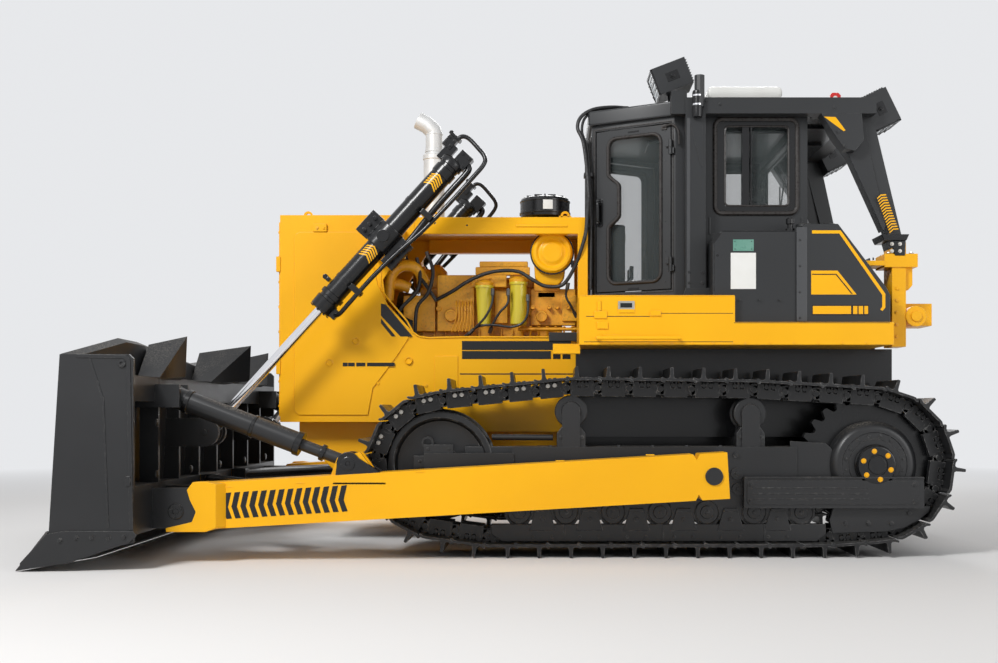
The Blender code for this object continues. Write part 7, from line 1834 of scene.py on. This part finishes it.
def make_brace_brackets():
    """Brackets that hold the braces on the arms, and the braces' collars."""
    brackets = Shape()
    x, z = BRACE_HEAD.x, BRACE_HEAD.z
    arc = [(x + 0.082 * math.cos(a), z + 0.082 * math.sin(a)) for a in
           (math.radians(angle) for angle in range(190, 29, -16))]
    outline = [(x - 0.095, z - 0.130), *arc, (x + 0.20, z - 0.045), (x + 0.25, z - 0.085),
               (x + 0.25, z - 0.130)]
    for low, high in ((-BRACE_Y - 0.105, -BRACE_Y - 0.050), (-BRACE_Y + 0.050, -BRACE_Y + 0.105)):
        brackets.plate(outline, low, high, 0.006)
    brackets.turned((x, -BRACE_Y - 0.105, z), -ALONG_Y, [
        (-0.01, 0.050), (0.008, 0.048), (0.012, 0.040), (0.012, 0.018), (0.006, 0.014), (0.006, 0)], 32)
    brackets.block((x - 0.11, -BRACE_Y - 0.11, z - 0.150), (x + 0.27, -BRACE_Y + 0.11, z - 0.126), 0.006)
    line = (BRACE_HEAD - BRACE_FOOT).normalized()
    foot = BRACE_FOOT - ALONG_Y * BRACE_Y
    for start, end, radius in ((0.10, 0.135, 0.086), (0.60, 0.625, 0.084), (0.93, 0.975, 0.088),
                               (1.12, 1.15, 0.060)):
        brackets.turned(foot, line, [(start, radius * 0.5), (start, radius * 0.96), (start + 0.004, radius),
                                     (end - 0.004, radius), (end, radius * 0.96), (end, radius * 0.5)], 32)
    # Black sleeves on the struts that run inwards to the blade.
    brackets.rod((-1.70, -1.402, 0.50), (-2.3997, -0.47, 0.50), 0.0612, sides=40)
    brackets.block((-2.4597, -0.532, 0.438), (-2.338, -0.408, 0.562), 0.004)
    brackets.pair("brace_brackets", "black", "dozer")


def make_arm_seams():
    trim = Shape()
    for px, py in ((228, 486), (300, 482), (420, 471), (560, 460), (650, 454)):
        x, z = seen(px, py, ARM_Y)
        trim.block((x - 0.03, ARM_Y - 0.004, z - 0.010), (x + 0.03, ARM_Y + 0.006, z - 0.002), 0.001)
    trim.pair("arm_seams", "yellow", "dozer")


# Track frames

ROLLERS_X = [0.070 + 0.34333 * i for i in range(7)]
ROLLER_Z = 0.324
GUARD_FACE_Y = -1.236
BEAM_FACE_Y = -1.326
SIDE_PLATE = ((833, 506), (930, 506), (928, 512), (918, 520), (903, 528), (885, 531.5), (832, 533),
              (829, 520))
GUARD_JOINTS = (0.40, 1.12, 1.86)
REAR_BOX = ((790, 441), (825, 443), (831, 448), (834, 456), (834, 470), (836, 480), (790, 480))
SIDE_PLATE_BOLTS = ((845.7, 523.5), (868.5, 523.5), (891, 523.5), (909, 513))
HOUSING_TOP = ((465, 446), (553, 463))
YOKE_COVER = (((424, 444.5), (453.6, 457)), ((414, 455.6), (462, 468)))
YOKE_RING = (427.7, 442.5)
GUIDE_ROD = ((492, 437), (553, 437.5))
COVER_BOLTS = ((428, 449), (449, 449), (428, 454), (449, 454), (420, 461), (456, 461))
TRUNNION_BOLTS = ((737, 473.6), (738, 489), (736, 455))


def add_rollers(shape):
    """The bottom rollers' caps, the covers between them and the long guard before the lower run's links."""
    for x in ROLLERS_X:
        shape.turned((x, GUARD_FACE_Y + 0.004, ROLLER_Z), -ALONG_Y, [
            (0, 0.092), (0.008, 0.092), (0.012, 0.086), (0.006, 0.080), (0.006, 0.050), (0.016, 0.046),
            (0.018, 0.036), (0.018, 0)], 40)
        shape.bolt((x, GUARD_FACE_Y - 0.014, ROLLER_Z), -ALONG_Y, 0.013)
        for dx in (-0.06, 0.06):
            shape.bolt((x + dx, GUARD_FACE_Y, ROLLER_Z + 0.105), -ALONG_Y, 0.011)
    low, high = 0.112, 0.236
    for a, b in zip(ROLLERS_X, ROLLERS_X[1:]):
        x = (a + b) / 2
        outline = [(x - 0.098, 0.190), (x - 0.050, 0.350), (x + 0.050, 0.350), (x + 0.098, 0.190)]
        shape.plate(outline, GUARD_FACE_Y + 0.004, GUARD_FACE_Y - 0.012, 0.004)
        shape.bolt((x, GUARD_FACE_Y - 0.012, 0.275), -ALONG_Y, 0.016)
        shape.block((x - 0.05, GUARD_FACE_Y + 0.02, 0.330), (x + 0.05, GUARD_FACE_Y - 0.020, 0.352), 0.004)
        for dx in (-0.068, 0.068):
            shape.bolt((x + dx, GUARD_FACE_Y - 0.007, 0.145), -ALONG_Y, 0.010)
    shape.plate([(-0.131, 0.165), (-0.131, high), (2.31, high), (2.31, 0.165), (2.24, low), (-0.05, low)],
                GUARD_FACE_Y + 0.022, GUARD_FACE_Y - 0.007, 0.004)
    for x in GUARD_JOINTS:
        shape.block((x - 0.006, GUARD_FACE_Y - 0.011, low + 0.006), (x + 0.006, GUARD_FACE_Y, high - 0.004),
                    0.002)


def add_outer_beam(shape):
    """The rear box beside the sprocket, the side plate, and the outer beam's panel with its lip and bolts."""
    shape.plate(traced(REAR_BOX, -1.21), -1.218, -1.195, 0.005)
    shape.plate(traced(SIDE_PLATE, -1.24), -1.262, -1.236, 0.005)
    shape.bolts(SIDE_PLATE_BOLTS, -1.262, 0.016)
    low, high = (1.72, 0.385), (2.96, 0.560)
    shape.plate(rounded(low, high, 0.030, 5), BEAM_FACE_Y + 0.002, BEAM_FACE_Y - 0.006, 0.003)
    for z in (0.425, 0.465, 0.505):
        shape.block((1.76, BEAM_FACE_Y - 0.009, z - 0.004), (2.60, BEAM_FACE_Y, z + 0.004), 0.002)
    shape.block((1.70, BEAM_FACE_Y - 0.010, 0.574), (3.00, BEAM_FACE_Y + 0.05, 0.586), 0.003)
    for x in (1.75, 2.93):
        for z in (0.41, 0.53):
            shape.bolt((x, BEAM_FACE_Y - 0.006, z), -ALONG_Y, 0.014)


def add_recoil_housing(shape):
    """The recoil housing with its cover plates, the guide rod beside it and the trunnion's bolts."""
    shape.panel(*HOUSING_TOP, -1.14, 0.03, 0.012)
    for low, high in YOKE_COVER:
        shape.panel(low, high, -1.20, 0.022, 0.005)
    shape.bolts(COVER_BOLTS, -1.222, 0.010)
    shape.turned(seen_at(*YOKE_RING, -1.19), -ALONG_Y, [
        (-0.02, 0.030), (-0.02, 0.044), (0.012, 0.044), (0.012, 0.030), (-0.02, 0.030)], 32)
    shape.rod(seen_at(*GUIDE_ROD[0], -1.15), seen_at(*GUIDE_ROD[1], -1.15), 0.022, sides=20, width=0.003)
    shape.bolts(TRUNNION_BOLTS, -1.250, 0.016)
    for px, py in TRUNNION_BOLTS[:2]:
        shape.turned(seen_at(px, py, -1.245), -ALONG_Y, [
            (-0.01, 0), (-0.01, 0.045), (0.006, 0.043), (0.006, 0)], 28)


def add_carriers(shape):
    """The carrier rollers' flanges and caps, their bolted brackets, and the bolts along the frame's top."""
    for x, z in CARRIERS:
        centre = Vector((x, -1.17, z))
        shape.turned(centre, -ALONG_Y, [
            (0.0, 0.104), (0.004, 0.118), (0.016, 0.120), (0.022, 0.112), (0.022, 0.075), (0.034, 0.068),
            (0.036, 0.030), (0.036, 0)], 44)
        shape.turned(centre, -ALONG_Y, [
            (-0.205, 0.075), (-0.200, 0.120), (-0.185, 0.118), (-0.182, 0.104)], 44)
        shape.bolt((x, -1.206, z), -ALONG_Y, 0.020)
        shape.bolt_circle(centre - ALONG_Y * 0.034, -ALONG_Y, 6, 0.054, 0.008)
        foot = 0.70 if x < 1 else 0.60
        shape.plate([(x - 0.105, foot), (x - 0.105, 0.900), (x - 0.072, 0.945), (x + 0.072, 0.945),
                     (x + 0.105, 0.900), (x + 0.105, foot)], -1.115, -1.208, 0.008)
        for dx in (-0.078, 0.078):
            for z in (0.735, 0.870):
                shape.bolt((x + dx, -1.208, z), -ALONG_Y, 0.012)
        shape.block((x - 0.070, -1.195, 0.835), (x + 0.070, -1.150, z - 0.10), 0.008)
        for dx in (-0.05, 0.05):
            shape.bolt((x + dx, -1.195, 0.870), -ALONG_Y, 0.012)
    for i in range(7):
        shape.bolt((0.30 + 0.25 * i, -1.180, 0.800), (0, 0, 1), 0.014)


def make_track_frames():
    shape = Shape()
    for add in (add_rollers, add_outer_beam, add_recoil_housing, add_carriers):
        add(shape)
    shape.pair("track_frame_details", "frame")


# Underside and rear

def make_rear():
    plates = Shape()
    for x0, x1 in ((-1.66, -0.98), (-0.94, -0.24), (-0.20, 0.48)):
        plates.block((x0, -0.40, 0.474), (x1, 0.40, 0.486), 0.003)
        for x in (x0 + 0.05, x1 - 0.05):
            for y in (-0.34, 0, 0.34):
                plates.bolt((x, y, 0.474), (0, 0, -1), 0.016)
    for x in (0.66, 1.30, 1.94, 2.58):
        plates.block((x, -0.38, 0.476), (x + 0.52, 0.38, 0.486), 0.003)
        for y in (-0.32, 0.32):
            for step in (0.05, 0.47):
                plates.bolt((x + step, y, 0.476), (0, 0, -1), 0.016)
    # The rear of the main case: its cover, three ports and the drawbar's pin.
    rear = 2.960
    plates.block((rear - 0.004, -0.52, 1.02), (rear + 0.014, 0.52, 1.47), 0.006)
    for i in range(9):
        for z in (1.045, 1.445):
            plates.bolt((rear + 0.014, -0.48 + 0.12 * i, z), (1, 0, 0), 0.014)
    for y, z, radius in ((-0.26, 1.30, 0.060), (0.26, 1.30, 0.060), (0.0, 1.18, 0.085)):
        plates.turned((rear + 0.012, y, z), (1, 0, 0), [
            (0, radius * 1.25), (0.016, radius * 1.25), (0.020, radius), (0.045, radius * 0.95),
            (0.050, radius * 0.6), (0.050, 0)], 32)
    plates.rod((3.05, 0, 0.50), (3.05, 0, 0.96), 0.030, sides=24, width=0.004)
    plates.publish("belly_and_rear", "black")
    tank = Shape()
    for y in (-0.40, 0.0, 0.40):
        tank.block((2.836, y - 0.05, 1.60), (2.850, y + 0.05, 2.28), 0.005)
    tank.turned((2.48, 0.35, 2.325), (0, 0, 1), [
        (0, 0), (0, 0.075), (0.030, 0.075), (0.036, 0.060), (0.036, 0)], 32)
    tank.block((2.44, 0.33, 2.355), (2.52, 0.37, 2.375), 0.004)
    for i in range(6):
        for z in (1.62, 2.26):
            tank.bolt((2.842, -0.55 + 0.22 * i, z), (1, 0, 0), 0.010)
    tank.publish("fuel_tank_details", "charcoal")
    lamps = Shape()
    for side in (-1, 1):
        lamps.block((3.222, side * 0.60 - 0.06, 1.76), (3.236, side * 0.60 + 0.06, 1.84), 0.004)
    lamps.publish("rear_reflectors", "red")


# The stage, the lights and the camera

BACKDROP = (0.80, 0.81, 0.83)
AMBIENT = 0.38
LAMPS = (
    ("key", (-5.5, -9.5, 9.0), 3.0, 1260),
    ("fill", (8.5, -8.0, 3.5), 5.0, 245),
    ("back", (2.0, 9.5, 8.0), 6.0, 650),
)
LAMPS_AIM = Vector((0, 0, 1.4))
FLOOR_FADE = (7.0, 15.0)


def make_stage():
    """A floor that fades into an even backdrop, whose light on the part is weaker than its look."""
    bpy.ops.mesh.primitive_plane_add(size=120)
    floor = bpy.context.object
    floor.name = "floor"
    made = Finish("floor", (0.80, 0.79, 0.78), 0.9, shine=0.1)
    distance = made.node("ShaderNodeVectorMath", ((0, made.place),), operation="LENGTH").outputs["Value"]
    plain = made.node("ShaderNodeEmission", (("Color", (*BACKDROP, 1)),))
    mix = made.node("ShaderNodeMixShader", (("Fac", made.between(distance, *FLOOR_FADE)),
                                            (1, made.shader.outputs["BSDF"]),
                                            (2, plain.outputs["Emission"])))
    made.tree.links.new(mix.outputs["Shader"], made.tree.nodes["Material Output"].inputs["Surface"])
    floor.data.materials.append(made.material)

    world = bpy.data.worlds.new("studio")
    bpy.context.scene.world = world
    world.use_nodes = True
    tree = world.node_tree
    rays = add_node(tree, "ShaderNodeLightPath").outputs
    looking = rays["Is Camera Ray"]
    for kind in ("Is Glossy Ray", "Is Transmission Ray"):
        looking = add_node(tree, "ShaderNodeMath", ((0, looking), (1, rays[kind])),
                           operation="MAXIMUM").outputs[0]
    strength = add_node(tree, "ShaderNodeMapRange", (("Value", looking), ("To Min", AMBIENT)))
    background = tree.nodes["Background"]
    background.inputs["Color"].default_value = (*BACKDROP, 1)
    tree.links.new(strength.outputs["Result"], background.inputs["Strength"])


def make_lights():
    for name, place, size, power in LAMPS:
        data = bpy.data.lights.new(name, "AREA")
        data.size = size
        data.energy = power
        lamp = bpy.data.objects.new(name, data)
        lamp.location = place
        lamp.rotation_euler = (LAMPS_AIM - Vector(place)).to_track_quat("-Z", "Y").to_euler()
        bpy.context.scene.collection.objects.link(lamp)


def make_camera():
    data = bpy.data.cameras.new("camera")
    data.sensor_width = SENSOR
    data.lens = FOCAL_PX * SENSOR / IMAGE_WIDTH
    data.shift_x = (IMAGE_WIDTH / 2 - AHEAD_PX) / IMAGE_WIDTH
    data.shift_y = (AHEAD_PY - IMAGE_HEIGHT / 2) / IMAGE_WIDTH
    camera = bpy.data.objects.new("camera", data)
    camera.location = (CAMERA_X - ORIGIN_X, CAMERA_Y, CAMERA_Z)
    camera.rotation_euler = (math.radians(90), 0, 0)
    bpy.context.scene.collection.objects.link(camera)
    bpy.context.scene.camera = camera


def main():
    bpy.context.scene.view_settings.view_transform = "Standard"
    make_camera()
    make_stage()
    make_lights()
    soften_nodes()
    make_tracks()
    make_idlers()
    make_sprockets()
    make_lift_cylinders()
    make_guard()
    make_hood_fittings()
    make_guard_front()
    make_engine()
    make_filters()
    make_hoses()
    make_bay_step()
    make_fan()
    make_air_cleaner()
    make_precleaner()
    make_exhaust()
    make_doors()
    make_side_windows()
    make_window_surrounds()
    make_cab_pipes()
    make_cab_skin()
    make_side_can()
    make_lamps()
    make_rops()
    make_rops_rear()
    make_roof()
    make_decks()
    make_tanks()
    make_pedestals()
    make_seat()
    make_controls()
    make_blade()
    make_cutting_edge()
    make_blade_back()
    make_push_arms()
    make_brace_brackets()
    make_arm_seams()
    make_track_frames()
    make_rear()


main()
